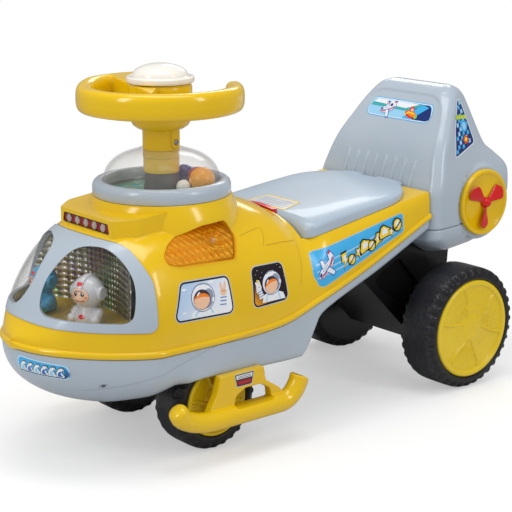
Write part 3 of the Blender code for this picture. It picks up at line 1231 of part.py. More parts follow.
def build_steering_wheel():
    """C-shaped rim whose left end spreads into a wing that reaches the hub drum and its bowl."""
    middle = RIM_OUTER_R - RIM_WIDTH / 2.0
    level = 0.5 * (RIM_BOTTOM_Z + RIM_TOP_Z)
    section = oval(RIM_WIDTH / 2.0, (RIM_TOP_Z - RIM_BOTTOM_Z) / 2.0, 3.0, 10)
    ends = [(RIM_TIP_DEG + 5.5, 0.25), (RIM_TIP_DEG + 4.5, 0.62), (RIM_TIP_DEG + 2.5, 0.90)]
    turns = [RIM_TIP_DEG + (RIM_END_DEG - RIM_TIP_DEG) * k / 20.0 for k in range(21)]
    path = [((middle * math.cos(math.radians(d)), middle * math.sin(math.radians(d)), level), scale)
            for d, scale in ends + [(d, 1.0) for d in turns]]
    rim = sweep(path, section, (0.0, 0.0, 1.0))
    for v in rim.verts:
        turn = math.degrees(math.atan2(v.co.y, v.co.x))
        past_left = min(max((-110.0 - turn if turn < 100.0 else 250.0 - turn) / 40.0, 0.0), 1.0)
        v.co.z += WING_LIFT * past_left * max(v.co.z - level, 0.0) / (RIM_TOP_Z - level)
    wheel = piece("steering_wheel", rim, YELLOW, smooth_angle=40.0)
    ridge = [Vector((-0.1065, -0.013)), Vector((0.064, -0.061))]
    plan = [tuple(p) for p in ridge] + [(0.050, -0.046), (0.030, -0.026), (0.0, 0.030), (-0.022, 0.037),
                                        (-0.075, 0.030), (-0.100, 0.023)]
    wing = prism(plan, WING_BOTTOM_Z, RIM_TOP_Z - 0.0006)
    line = (ridge[1] - ridge[0]).normalized()
    for v in wing.verts:
        if v.co.z > WING_BOTTOM_Z + 0.001:
            behind = line.x * (v.co.y - ridge[0].y) - line.y * (v.co.x - ridge[0].x)
            v.co.z += 0.045 * behind + WING_LIFT * (ridge[1].x - v.co.x) / (ridge[1].x - ridge[0].x)
    join(wheel, "wing", wing)
    bowl = BOWL_BOTTOM_Z
    join(wheel, "drum", revolve([(0.0, bowl), (COLUMN_R + 0.0055, bowl), (DRUM_R - 0.0055, bowl + 0.005),
                                 (DRUM_R - 0.0015, bowl + 0.013), (DRUM_R, bowl + 0.024),
                                 (DRUM_R, DRUM_TOP_Z), (0.0, DRUM_TOP_Z)], 24))
    cut(wheel, "ring_seat", rod(HORN_RING_R + SEAT_GAP, DRUM_TOP_Z, HORN_TOP_Z, 22))
    low = DRUM_TOP_Z + SEAT_GAP
    top = low + HORN_RING_HEIGHT
    inner = HORN_R + SLIDE_GAP
    piece("horn_ring", revolve([(inner, low), (HORN_RING_R - 0.0015, low), (HORN_RING_R, low + 0.0025),
                                (HORN_RING_R, top - 0.003), (HORN_RING_R - 0.0025, top), (inner + 0.001, top),
                                (inner, top - 0.001)], 22), CREAM)
    start = DRUM_TOP_Z + HORN_TRAVEL + 0.0006
    dome = [(HORN_R * 0.97 * math.cos(t), top + (HORN_TOP_Z - top) * math.sin(t))
            for t in (math.radians(d) for d in (0.0, 22.0, 45.0, 68.0))]
    piece("horn_button", revolve([(0.0, start), (HORN_R, start), (HORN_R, top - 0.0005)] + dome
                                 + [(0.0, HORN_TOP_Z)], 22), CREAM, smooth_angle=60.0)


build_upper_body()
build_window_frame()
build_lower_hull()
build_cabin()
build_figures()
build_light_bar()
build_signal_lamps()
build_dome()
build_seat()
build_backrest()
build_rotors()
build_wheels()
build_front_bogie()
build_rear_undercarriage()
build_foot_rests()
build_column()
build_steering_wheel()
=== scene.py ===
"""Looks of a child's ride-on car: mouldings, wheels, lamps, figures and labels in a studio."""
import logging
from collections.abc import Callable, Mapping, Sequence
from dataclasses import dataclass
from enum import Enum
from math import (acos, atan2, copysign, cos, degrees, dist, fmod, hypot, pi, radians, sin, sqrt,
                  tan)

import bmesh
import bpy
from mathutils import Matrix, Vector
from mathutils.bvhtree import BVHTree
from mathutils.geometry import delaunay_2d_cdt


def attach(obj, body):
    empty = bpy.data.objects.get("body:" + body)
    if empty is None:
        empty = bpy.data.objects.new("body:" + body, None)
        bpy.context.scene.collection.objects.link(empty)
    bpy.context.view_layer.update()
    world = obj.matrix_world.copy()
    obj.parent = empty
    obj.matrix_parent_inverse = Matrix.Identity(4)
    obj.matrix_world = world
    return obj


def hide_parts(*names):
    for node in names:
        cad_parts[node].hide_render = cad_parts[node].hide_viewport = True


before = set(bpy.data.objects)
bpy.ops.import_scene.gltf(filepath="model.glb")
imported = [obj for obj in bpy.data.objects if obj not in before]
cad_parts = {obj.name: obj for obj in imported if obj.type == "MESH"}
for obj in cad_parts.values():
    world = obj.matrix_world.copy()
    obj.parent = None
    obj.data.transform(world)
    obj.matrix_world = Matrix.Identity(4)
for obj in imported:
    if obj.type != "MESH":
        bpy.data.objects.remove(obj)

LOG = logging.getLogger("ride_on_car")
Colour = tuple[float, float, float]
Point = tuple[float, float]
Ring = list[tuple[float, float, float]]
Mesh = bmesh.types.BMesh
Mark = tuple[object, Sequence[Point]]

STEERING_AXIS_Y = -0.1796
ORIGIN = (0.0, STEERING_AXIS_Y, 0.0)
SIDES = (("left", -1.0), ("right", 1.0))
GAP = 0.0003  # metres between pieces that lie against each other
ROOM = 0.0004  # metres round a piece that moves
HAIR_TURN = 0.01  # degrees that keep a cutting face off the face it would share
MM = 0.001
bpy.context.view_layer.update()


def srgb(red: float, green: float, blue: float) -> Colour:
    """Linear colour from three screen values between 0 and 255."""
    return tuple((c / 3294.6 if c <= 10.3 else ((c / 255.0 + 0.055) / 1.055)**2.4)
                 for c in (red, green, blue))


def ease(low: float, high: float, at: float) -> float:
    """Smooth step from 0 at low to 1 at high."""
    t = min(max((at - low) / (high - low), 0.0), 1.0)
    return t * t * (3.0 - 2.0 * t)


# Shader tools

class Signal:
    """A shader socket that adds Math nodes where it is used in an expression."""

    def __init__(self, graph: "Graph", socket: bpy.types.NodeSocket) -> None:
        """Keep the socket and the graph it belongs to."""
        self.graph = graph
        self.socket = socket

    def __add__(self, other: "Signal | float") -> "Signal":
        """Sum of two values."""
        return self.graph.math("ADD", self, other)

    def __sub__(self, other: "Signal | float") -> "Signal":
        """Difference of two values."""
        return self.graph.math("SUBTRACT", self, other)

    def __rsub__(self, other: float) -> "Signal":
        """Difference with this value taken away."""
        return self.graph.math("SUBTRACT", other, self)

    def __mul__(self, other: "Signal | float") -> "Signal":
        """Product of two values."""
        return self.graph.math("MULTIPLY", self, other)

    def __truediv__(self, other: "Signal | float") -> "Signal":
        """Quotient of two values."""
        return self.graph.math("DIVIDE", self, other)

    def __rtruediv__(self, other: float) -> "Signal":
        """Quotient with this value as the divisor."""
        return self.graph.math("DIVIDE", other, self)

    def __pow__(self, other: "Signal | float") -> "Signal":
        """Power of two values."""
        return self.graph.math("POWER", self, other)

    def __neg__(self) -> "Signal":
        """The value with its sign turned."""
        return self.graph.math("MULTIPLY", self, -1.0)

    def __gt__(self, other: "Signal | float") -> "Signal":
        """1 where this value is the larger."""
        return self.graph.math("GREATER_THAN", self, other)

    def __lt__(self, other: "Signal | float") -> "Signal":
        """1 where this value is the smaller."""
        return self.graph.math("LESS_THAN", self, other)

    __radd__ = __add__
    __rmul__ = __mul__

    def low(self, other: "Signal | float") -> "Signal":
        """The smaller of two values."""
        return self.graph.math("MINIMUM", self, other)

    def high(self, other: "Signal | float") -> "Signal":
        """The larger of two values."""
        return self.graph.math("MAXIMUM", self, other)

    def sine(self) -> "Signal":
        """Sine of the value in radians."""
        return self.graph.math("SINE", self)

    def root(self) -> "Signal":
        """Square root of the value."""
        return self.graph.math("SQRT", self)

    def step(self, low: float, high: float) -> "Signal":
        """Smooth step from 0 at low to 1 at high.

        Args:
            low: Value that gives 0.
            high: Value that gives 1.

        Returns:
            The stepped value.
        """
        made = self.graph.node("MapRange", {"interpolation_type": "SMOOTHSTEP"},
                               {"Value": self, "From Min": low, "From Max": high})
        return Signal(self.graph, made.outputs["Result"])


class Graph:
    """Node tree of one material, or of the world."""

    def __init__(self, name: str, world: bool = False) -> None:
        """Start an empty material or world of that name."""
        self.material = bpy.data.worlds.new(name) if world else bpy.data.materials.new(name)
        self.material.use_nodes = True
        self.tree = self.material.node_tree
        self.tree.nodes.clear()

    def node(self, kind: str, settings: Mapping[str, object] | None = None,
             inputs: Mapping[str | int, object] | None = None) -> bpy.types.Node:
        """Add one node, first its settings and then its sockets.

        Args:
            kind: Node type without its ShaderNode prefix.
            settings: Properties of the node.
            inputs: Values or signals by socket name or number.

        Returns:
            The new node.
        """
        made = self.tree.nodes.new("ShaderNode" + kind)
        for key, value in (settings or {}).items():
            setattr(made, key, value)
        for key, value in (inputs or {}).items():
            socket = made.inputs[key]
            if isinstance(value, Signal):
                self.tree.links.new(value.socket, socket)
            elif socket.type == "RGBA":
                socket.default_value = (*value, 1.0)
            else:
                socket.default_value = value
        return made

    def math(self, operation: str, *values: "Signal | float") -> Signal:
        """Add a Math node on one or two values."""
        made = self.node("Math", {"operation": operation}, dict(enumerate(values)))
        return Signal(self, made.outputs[0])

    def mix(self, mask: "Signal | float", base: "Signal | Colour",
            top: "Signal | Colour") -> Signal:
        """Colour that is base where the mask is 0 and top where it is 1."""
        made = self.node("Mix", {"data_type": "RGBA"}, {0: mask, 6: base, 7: top})
        return Signal(self, made.outputs[2])

    def place(self, scale: Sequence[float] = (1.0, 1.0, 1.0)) -> Signal:
        """Place on the piece in metres, stretched by a scale for each axis."""
        spot = Signal(self, self.node("TexCoord").outputs["Object"])
        made = self.node("VectorMath", {"operation": "MULTIPLY"}, {0: spot, 1: tuple(scale)})
        return Signal(self, made.outputs[0])

    def axes(self, place: Signal) -> tuple[Signal, Signal, Signal]:
        """The three parts of a place."""
        made = self.node("SeparateXYZ", None, {0: place})
        return tuple(Signal(self, made.outputs[n]) for n in range(3))

    def facing(self, blend: float) -> Signal:
        """0 where the surface faces the eye, rising to 1 where it turns away."""
        made = self.node("LayerWeight", None, {"Blend": blend})
        return Signal(self, made.outputs["Facing"])

    def rays(self, *kinds: str) -> list[Signal]:
        """1 on rays of each kind, and 0 on others."""
        path = self.node("LightPath")
        return [Signal(self, path.outputs[f"Is {kind} Ray"]) for kind in kinds]

    def noise(self, place: Signal, scale: float, detail: float = 2.0, bend: float = 0.0) -> Signal:
        """Cloudy value between 0 and 1.

        Args:
            place: Where the texture is read.
            scale: Clouds to the metre.
            detail: Octaves of finer clouds.
            bend: How far the clouds are pulled about.

        Returns:
            The noise value.
        """
        made = self.node("TexNoise", None, {"Vector": place, "Scale": scale, "Detail": detail,
                                            "Distortion": bend})
        return Signal(self, made.outputs[0])

    def cells(self, place: Signal, scale: float, feature: str = "F1",
              output: str = "Distance") -> Signal:
        """Distance or colour of a cell pattern."""
        made = self.node("TexVoronoi", {"feature": feature}, {"Vector": place, "Scale": scale})
        return Signal(self, made.outputs[output])

    def bump(self, height: Signal, distance: float, strength: float = 1.0,
             under: Signal | None = None) -> Signal:
        """Normal of a surface raised by a height between 0 and 1.

        Args:
            height: Height signal.
            distance: Metres that a height of 1 stands proud.
            strength: Share of the effect.
            under: Normal that this one is added to.

        Returns:
            The bumped normal.
        """
        inputs = {"Height": height, "Distance": distance, "Strength": strength}
        if under is not None:
            inputs["Normal"] = under
        return Signal(self, self.node("Bump", None, inputs).outputs[0])

    def bevel(self, radius: float) -> Signal:
        """Normal of a surface whose edges look rounded."""
        return Signal(self, self.node("Bevel", {"samples": 4}, {"Radius": radius}).outputs[0])

    def finish(self, **sockets: object) -> bpy.types.Material:
        """Close the graph with a Principled shader; an underscore stands for a space."""
        inputs = {key.replace("_", " "): value for key, value in sockets.items()}
        shader = self.node("BsdfPrincipled", None, inputs)
        end = self.node("OutputMaterial")
        self.tree.links.new(shader.outputs[0], end.inputs["Surface"])
        return self.material


# Finishes

@dataclass(frozen=True)
class Moulding:
    """Glossy moulded plastic with rounded edges, flow clouds, orange peel and handling marks."""

    name: str
    colour: Colour
    shade: Colour
    gloss: float = 0.20
    peel: float = 0.00003
    ripple: float = 0.00016
    edge: float = 0.0014
    milk: float = 0.0

    def make(self) -> bpy.types.Material:
        """The material of this plastic."""
        g = Graph(self.name)
        place = g.place()
        clouds = g.noise(place, 7.0, 3.0)
        specks = g.noise(place, 420.0, 2.0)
        colour = g.mix((clouds * 0.8 + specks * 0.2).step(0.30, 0.72), self.shade, self.colour)
        marks = g.noise(g.place((60.0, 7.0, 25.0)), 5.0, 5.0).step(0.62, 0.76)
        dust = g.noise(place, 90.0, 4.0).step(0.45, 0.75)
        roughness = self.gloss + marks * 0.03 + dust * 0.03
        worn = g.bevel(self.edge)
        ripple = g.bump(g.noise(place, 26.0, 1.0), self.ripple, 1.0, worn)
        normal = g.bump(g.noise(place, 1500.0, 2.0), self.peel, 0.5, ripple)
        return g.finish(Base_Color=colour, Roughness=roughness, Normal=normal, IOR=1.5,
                        Subsurface_Weight=self.milk, Subsurface_Radius=(0.004, 0.003, 0.002),
                        Subsurface_Scale=1.0, Coat_Weight=0.25, Coat_Roughness=0.05)


@dataclass(frozen=True)
class TreadPlastic:
    """Blow-moulded black plastic with wavy flow lines round the tread, painted paler and bluer
    along the lines as a sheen, and a greasy shine.
    """

    name: str
    crown: float

    def make(self) -> bpy.types.Material:
        """The material of one size of tyre; crown is the radius where the flow lines begin."""
        g = Graph(self.name)
        place = g.place()
        x, y, z = g.axes(place)
        radius = (y * y + z * z).root()
        wander = g.noise(place, 16.0, 3.0, 1.2)
        lines = ((x * 2100.0 + wander * 42.0).sine() * 0.5 + 0.5) ** 3.0
        tread = radius.step(self.crown - 0.002, self.crown + 0.001)
        chalk = g.noise(g.place((3.0, 1.0, 1.0)), 120.0, 5.0).step(0.52, 0.75)
        colour = g.mix(chalk * 0.5, srgb(22, 22, 26), srgb(40, 41, 49))
        # painted sheen: paler and bluer along the raised flow lines of the tread
        colour = g.mix(lines * tread * 0.30, colour, srgb(70, 72, 86))
        roughness = 0.34 + chalk * 0.16 - lines * tread * 0.08
        skin_grain = g.bump(g.noise(place, 900.0, 3.0), 0.00012, 0.6)
        normal = g.bump(lines * tread + wander, 0.00035, 0.8, skin_grain)
        return g.finish(Base_Color=colour, Roughness=roughness, Normal=normal, IOR=1.5)


@dataclass(frozen=True)
class ClearPlastic:
    """Clear moulded sheet that grows more opaque and pale towards its edges, a painted reflection.
    """

    name: str
    tint: Colour
    veil: float = 0.16
    rim: float = 0.55
    gloss: float = 0.05

    def make(self) -> bpy.types.Material:
        """The material of this clear plastic."""
        g = Graph(self.name)
        place = g.place()
        edge = g.facing(0.30)
        haze = g.noise(place, 35.0, 4.0).step(0.35, 0.75)
        flow = g.noise(g.place((1.0, 1.0, 4.0)), 60.0, 2.0)
        # painted reflection: the sheet turns more opaque where it turns away from the eye
        alpha = (self.veil + haze * 0.03 + (edge ** 2.4) * self.rim).low(0.95)
        normal = g.bump(flow, 0.00006)
        return g.finish(Base_Color=g.mix(haze * 0.2, self.tint, (0.9, 0.9, 0.9)), Alpha=alpha,
                        Roughness=self.gloss + haze * 0.04, Normal=normal, IOR=1.5,
                        Coat_Weight=0.6, Coat_Roughness=0.03)


@dataclass(frozen=True)
class AmberLens:
    """Fluted amber lens with a faint painted glow of its own, painted deeper orange towards its
    edges and paler along its flutes, with the plated cup behind it showing through.
    """

    name: str

    def make(self) -> bpy.types.Material:
        """The material of the signal lens."""
        g = Graph(self.name)
        place = g.place()
        y, z = g.axes(place)[1:]
        flutes = ((z * 1.2 - y * 0.5) * 3000.0).sine() * 0.5 + 0.5
        lines = (y + z * 0.7 - 0.192).step(0.010, -0.024)
        facing = g.facing(0.40)
        # painted shade: deeper orange where the lens turns away from the eye
        colour = g.mix(facing.step(0.1, 0.9), srgb(255, 172, 4), srgb(238, 120, 0))
        # painted highlight: paler along the raised flutes
        colour = g.mix(flutes * lines * 0.25, colour, srgb(255, 205, 70))
        # more opaque towards the edges as a painted reflection, and more opaque over the fluted
        # band
        alpha = (0.13 + facing * 0.22 + lines * 0.14 - flutes * lines * 0.08).low(0.97)
        normal = g.bump(flutes * lines, 0.00030, 0.7)
        # painted glow: the emission makes the lens itself shine, though no lamp behind it is lit
        return g.finish(Base_Color=colour, Alpha=alpha,
                        Roughness=0.06 + g.noise(place, 200.0) * 0.05, Normal=normal, IOR=1.5,
                        Coat_Weight=0.8, Coat_Roughness=0.02, Emission_Color=srgb(255, 150, 0),
                        Emission_Strength=0.15)


@dataclass(frozen=True)
class PlatedFoil:
    """Bright plated plastic or prism foil with a repeating pressed pattern, painted dark in its
    troughs and bright on its crests as shade and highlight.
    """

    name: str
    pitch: float
    rainbow: float
    warm: Colour
    dark: Colour

    def make(self) -> bpy.types.Material:
        """The material of the foil; pitch is the pattern's width in metres."""
        g = Graph(self.name)
        place = g.place()
        x, y, z = g.axes(place)
        turn = 2.0 * pi / self.pitch
        weave = (((x - y) * turn + z * turn).sine() * ((x - y - z) * turn).sine()) * 0.5 + 0.5
        cells = g.cells(place, 0.55 / self.pitch, "F1", "Color")
        # painted shade and highlight: dark in the pattern's troughs, warm and bright on its crests
        silver = g.mix(weave.step(0.2, 0.8), self.dark, self.warm)
        colour = g.mix(self.rainbow, silver, cells)
        colour = g.mix(g.noise(place, 60.0).step(0.45, 0.6) * 0.5, colour, self.warm)
        normal = g.bump(weave, self.pitch * 0.22)
        return g.finish(Base_Color=colour, Metallic=0.75, Roughness=0.20 + weave * 0.12,
                        Normal=normal)


@dataclass(frozen=True)
class BareSteel:
    """Drawn steel bar with fine lengthwise scratches and a trace of oil."""

    name: str

    def make(self) -> bpy.types.Material:
        """The material of the bar."""
        g = Graph(self.name)
        place = g.place()
        drawn = g.noise(g.place((1.0, 40.0, 40.0)), 60.0, 4.0)
        stain = g.noise(place, 30.0, 4.0).step(0.55, 0.8)
        colour = g.mix(stain, srgb(188, 189, 192), srgb(128, 122, 116))
        normal = g.bump(drawn, 0.00006)
        return g.finish(Base_Color=colour, Metallic=1.0,
                        Roughness=0.24 + drawn * 0.18 + stain * 0.12, Normal=normal)


@dataclass(frozen=True)
class GridLamp:
    """Clear round lamp over a pressed grid, its raised facets painted pale as highlights over a
    dark red ground.
    """

    name: str

    def make(self) -> bpy.types.Material:
        """The material of the small lamps."""
        g = Graph(self.name)
        x, _, z = g.axes(g.place())
        grid = ((x * 3400.0).sine() * (z * 3400.0).sine()) * 0.5 + 0.5
        # painted highlight: the grid's raised facets are pale, with dark red between them
        colour = g.mix(grid.step(0.25, 0.75), srgb(70, 34, 30), srgb(236, 226, 222))
        return g.finish(Base_Color=colour, Roughness=0.12 + grid * 0.1, Normal=g.bump(grid, 0.0004),
                        IOR=1.5)


@dataclass(frozen=True)
class Print:
    """One ink of a printed label under a clear film, with screen dots and a faint lift."""

    name: str
    ink: Colour
    dots: Colour
    share: float = 0.12

    def make(self) -> bpy.types.Material:
        """The material of this ink."""
        g = Graph(self.name)
        place = g.place()
        screen = g.cells(place, 2600.0).step(0.15, 0.45)
        fade = g.noise(place, 60.0, 3.0).step(0.35, 0.7)
        colour = g.mix(screen * self.share + fade * self.share, self.ink, self.dots)
        lift = g.bump(g.noise(place, 55.0, 2.0), 0.00010)
        return g.finish(Base_Color=colour, Roughness=0.18 + fade * 0.08, Normal=lift, IOR=1.5)


@dataclass(frozen=True)
class FadePrint:
    """A printed ink that passes from one colour to another along a direction."""

    name: str
    start: Colour
    end: Colour
    axis: tuple[float, float, float]
    low: float
    high: float

    def make(self) -> bpy.types.Material:
        """The material of the fading ink."""
        g = Graph(self.name)
        place = g.place()
        x, y, z = g.axes(g.place(self.axis))
        blend = (x + y + z + g.noise(place, 90.0, 3.0) * 0.004).step(self.low, self.high)
        colour = g.mix(blend, self.start, self.end)
        lift = g.bump(g.noise(place, 55.0, 2.0), 0.00010)
        return g.finish(Base_Color=colour, Roughness=0.18 + blend * 0.05, Normal=lift, IOR=1.5)


class Ink(Enum):
    """The inks of the labels."""

    WHITE = Print("white_ink", srgb(240, 243, 247), srgb(226, 232, 240))
    SILVER = Print("silver_ink", srgb(186, 192, 200), srgb(214, 218, 224), 0.3)
    BLACK = Print("black_ink", srgb(24, 24, 30), srgb(36, 36, 44))
    SKY = FadePrint("sky_ink", srgb(242, 246, 252), srgb(168, 200, 236), (0.0, -1.0, 1.0), 0.20,
                    0.34)
    SPACE = FadePrint("space_ink", srgb(255, 168, 20), srgb(30, 14, 26), (0.0, 1.0, 1.0), 0.250,
                      0.292)
    CYAN = Print("cyan_ink", srgb(60, 176, 236), srgb(96, 196, 244))
    PALE = Print("pale_blue_ink", srgb(150, 208, 244), srgb(180, 222, 248))
    BLUE = Print("blue_ink", srgb(36, 104, 196), srgb(60, 130, 214))
    NAVY = Print("navy_ink", srgb(20, 44, 112), srgb(30, 64, 140))
    TEAL = Print("teal_ink", srgb(54, 170, 176), srgb(96, 196, 196))
    RED = Print("red_ink", srgb(216, 28, 40), srgb(232, 52, 56))
    DARK_RED = Print("dark_red_ink", srgb(150, 16, 30), srgb(180, 30, 40))
    ORANGE = Print("orange_ink", srgb(244, 130, 24), srgb(250, 160, 50))
    YELLOW = Print("yellow_ink", srgb(250, 214, 40), srgb(252, 226, 90))
    PEACH = Print("peach_ink", srgb(244, 196, 160), srgb(250, 212, 182))
    BROWN = Print("brown_ink", srgb(70, 44, 36), srgb(92, 60, 48))
    GREEN = Print("green_ink", srgb(150, 200, 60), srgb(176, 214, 90))
    GREY = Print("grey_ink", srgb(140, 152, 172), srgb(164, 176, 194))


class Plastic(Enum):
    """The plastics that the car is moulded in."""

    YELLOW = Moulding("sunny_yellow_moulding", srgb(240, 198, 14), srgb(234, 190, 10), 0.17)
    INNER_YELLOW = Moulding("inner_yellow_moulding", srgb(238, 196, 14), srgb(230, 184, 10), 0.28)
    WHEEL_YELLOW = Moulding("wheel_yellow_moulding", srgb(240, 208, 20), srgb(232, 198, 12), 0.26)
    GREY = Moulding("pale_blue_grey_moulding", srgb(182, 194, 206), srgb(175, 188, 201), 0.24)
    SEAT_GREY = Moulding("seat_grey_moulding", srgb(180, 196, 211), srgb(174, 190, 206), 0.34,
                         0.00006)
    BLACK = Moulding("black_moulding", srgb(17, 17, 20), srgb(12, 12, 15), 0.34)
    COLLAR = Moulding("charcoal_moulding", srgb(84, 82, 80), srgb(70, 68, 67), 0.42)
    RED = Moulding("red_moulding", srgb(226, 20, 24), srgb(208, 12, 18), 0.20, edge=0.0007)
    DARK_RED = Moulding("dark_red_moulding", srgb(150, 18, 22), srgb(126, 12, 18), 0.22,
                        edge=0.0005)
    BLUE = Moulding("blue_moulding", srgb(72, 172, 214), srgb(58, 156, 202), 0.22, edge=0.0007)
    DEEP_BLUE = Moulding("deep_blue_moulding", srgb(52, 52, 150), srgb(40, 42, 132), 0.28)
    ORANGE = Moulding("orange_moulding", srgb(255, 178, 0), srgb(250, 166, 0), 0.24)
    CREAM = Moulding("milky_white_moulding", srgb(244, 240, 232), srgb(238, 232, 222), 0.16,
                     milk=0.12)
    WHITE = Moulding("figure_white_moulding", srgb(214, 214, 218), srgb(202, 203, 208), 0.20,
                     edge=0.0007)
    GREEN = Moulding("picture_green_moulding", srgb(116, 176, 140), srgb(90, 160, 130), 0.35)
    # darker tones drawn as painted shade along panel lines, seams and recesses
    LINE = Moulding("shadow_line_moulding", srgb(196, 154, 8), srgb(186, 146, 6), 0.5, edge=0.0003)
    GREY_LINE_SHADE = Moulding("grey_line_shade_moulding", srgb(150, 160, 172), srgb(142, 152, 165), 0.5,
                         edge=0.0003)


CLEAR_DOME = ClearPlastic("clear_dome_plastic", srgb(204, 200, 198), 0.07, 0.60)
WINDOW_PANE = ClearPlastic("window_plastic", srgb(122, 124, 120), 0.035, 0.80)
PRISM_FOIL = PlatedFoil("prism_foil", 0.017, 0.20, srgb(206, 200, 178), srgb(66, 60, 46))
PLATED_CUP = PlatedFoil("plated_cup", 0.021, 0.0, srgb(255, 216, 70), srgb(240, 146, 10))
STEEL = BareSteel("bare_steel")
AMBER = AmberLens("amber_lens_plastic")
PLAIN_TREAD = TreadPlastic("tread_plastic_plain", 0.2)
GRID_LAMP = GridLamp("grid_lamp")

NODE_FINISHES = {
    Plastic.YELLOW: ("upper_body", "rotor_disc_left", "rotor_disc_right", "foot_rest_left",
                     "foot_rest_right", "steering_column", "steering_neck", "steering_wheel"),
    Plastic.INNER_YELLOW: ("cabin_deck", "storage_tub"),
    Plastic.WHEEL_YELLOW: ("front_left_hub_cap", "front_right_hub_cap", "rear_left_hub_cap",
                           "rear_right_hub_cap"),
    Plastic.GREY: ("window_frame", "lower_hull", "dome_ring", "backrest_shell", "backrest_base"),
    Plastic.SEAT_GREY: ("seat_lid",),
    Plastic.BLACK: ("sound_box", "front_bogie", "rear_undercarriage"),
    Plastic.COLLAR: ("column_collar",),
    Plastic.RED: ("seat_latch", "propeller_left", "propeller_right", "ball_red"),
    Plastic.DARK_RED: ("light_bar",),
    Plastic.BLUE: ("pilot_figure",),
    Plastic.DEEP_BLUE: ("ball_blue",),
    Plastic.ORANGE: ("ball_orange",),
    Plastic.CREAM: ("horn_ring", "horn_button", "ball_white"),
    Plastic.WHITE: ("astronaut_figure",),
    Plastic.GREEN: ("dome_floor",),
    CLEAR_DOME: ("clear_dome",),
    WINDOW_PANE: ("window_left", "window_right"),
    PRISM_FOIL: ("cabin_backdrop",),
    PLATED_CUP: ("lamp_reflector_left", "lamp_reflector_right"),
    STEEL: ("hinge_pin", "rear_axle", "front_axle", "steering_shaft", "column_screw"),
    AMBER: ("signal_lamp_left", "signal_lamp_right"),
    PLAIN_TREAD: ("front_left_wheel", "front_right_wheel", "rear_left_wheel", "rear_right_wheel"),
    GRID_LAMP: tuple(f"light_bulb_{n}" for n in range(1, 6)),
}


# Mesh tools

class Fit(Enum):
    """How a tool body meets the body that it works on."""

    CUT = "DIFFERENCE"
    JOIN = "UNION"
    KEEP = "INTERSECT"


class Assembly:
    """Base of every sub-assembly: turns mesh code into named pieces that ride on a body."""

    made: dict[object, bpy.types.Material] = {}

    @classmethod
    def material(cls, finish: object) -> bpy.types.Material:
        """The material of a finish, made once."""
        maker = finish.value if isinstance(finish, Enum) else finish
        if maker not in cls.made:
            cls.made[maker] = maker.make()
        return cls.made[maker]

    @classmethod
    def piece(cls, name: str, bm: Mesh, body: str, finish: object, slot: str,
              stands_for: str = "", sharp: float = 40.0,
              at: Sequence[float] = ORIGIN) -> bpy.types.Object:
        """Turn a mesh into a piece of the car.

        Args:
            name: Name of the piece.
            bm: Its mesh, measured from the place at.
            body: Body that it rides on.
            finish: Finish of its first material slot.
            slot: Material slot of the record; not used.
            stands_for: Solid that it is shown in place of, if there is one.
            sharp: Angle in degrees over which edges stay crisp.
            at: Origin of the piece in the frame, most often the foot of the steering axis.

        Returns:
            The new object.
        """
        bmesh.ops.recalc_face_normals(bm, faces=bm.faces)
        mesh = bpy.data.meshes.new(name)
        bm.to_mesh(mesh)
        bm.free()
        mesh.shade_smooth()
        mesh.set_sharp_from_angle(angle=radians(sharp))
        made = bpy.data.objects.new(name, mesh)
        made.location = at
        mesh.materials.append(cls.material(finish))
        bpy.context.scene.collection.objects.link(made)
        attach(made, body)
        if stands_for:
            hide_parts(stands_for)
        LOG.info("made %s with %d faces", name, len(mesh.polygons))
        return made

    @classmethod
    def dress(cls, node: str, finish: object) -> None:
        """Give a solid of the frame its finish."""
        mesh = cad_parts[node].data
        mesh.materials.clear()
        mesh.materials.append(cls.material(finish))


class Workbench:
    """Runs modifiers on a mesh through throw-away objects."""

    def __init__(self, bm: Mesh) -> None:
        """Put a mesh on the bench; the mesh is used up."""
        self.parked: list[bpy.types.Object] = []
        self.work = self.park(bm)

    def park(self, bm: Mesh) -> bpy.types.Object:
        """Hold a mesh in a throw-away object."""
        bmesh.ops.recalc_face_normals(bm, faces=bm.faces)
        mesh = bpy.data.meshes.new("bench")
        bm.to_mesh(mesh)
        bm.free()
        made = bpy.data.objects.new("bench", mesh)
        bpy.context.scene.collection.objects.link(made)
        self.parked.append(made)
        return made

    def fit(self, how: Fit, tool: Mesh) -> "Workbench":
        """Cut, join or keep what a tool body covers."""
        change = self.work.modifiers.new(how.name, "BOOLEAN")
        change.operation = how.value
        change.object = self.park(tool)
        change.solver = "EXACT"
        return self

    def soften(self, voxel: float, rounds: int) -> "Workbench":
        """Rebuild the skin at an even pitch and smooth it, which rounds every edge."""
        remesh = self.work.modifiers.new("even_skin", "REMESH")
        remesh.mode = "VOXEL"
        remesh.voxel_size = voxel
        relax = self.work.modifiers.new("relax", "SMOOTH")
        relax.factor = 0.5
        relax.iterations = rounds
        return self

    def take(self) -> Mesh:
        """Take the finished mesh and clear the bench."""
        result = bmesh.new()
        result.from_object(self.work, bpy.context.evaluated_depsgraph_get())
        for made in self.parked:
            mesh = made.data
            bpy.data.objects.remove(made)
            bpy.data.meshes.remove(mesh)
        return result


def follow(keys: Sequence[Point], at: float) -> float:
    """A smooth curve through (position, value) keys that never overshoots them.

    Args:
        keys: Keys in rising order of position.
        at: Position on the curve.

    Returns:
        The value there.
    """
    if at <= keys[0][0]:
        return keys[0][1]
    if at >= keys[-1][0]:
        return keys[-1][1]
    slopes = [(b[1] - a[1]) / (b[0] - a[0]) for a, b in zip(keys, keys[1:])]
    tangents = [slopes[0]]
    for left, right in zip(slopes, slopes[1:]):
        tangents.append(2.0 * left * right / (left + right) if left * right > 0.0 else 0.0)
    tangents.append(slopes[-1])
    i = next(n for n in range(len(keys) - 1) if at <= keys[n + 1][0])
    span = keys[i + 1][0] - keys[i][0]
    t = (at - keys[i][0]) / span
    return ((2 * t**3 - 3 * t**2 + 1) * keys[i][1] + (t**3 - 2 * t**2 + t) * span * tangents[i]
            + (3 * t**2 - 2 * t**3) * keys[i + 1][1] + (t**3 - t**2) * span * tangents[i + 1])


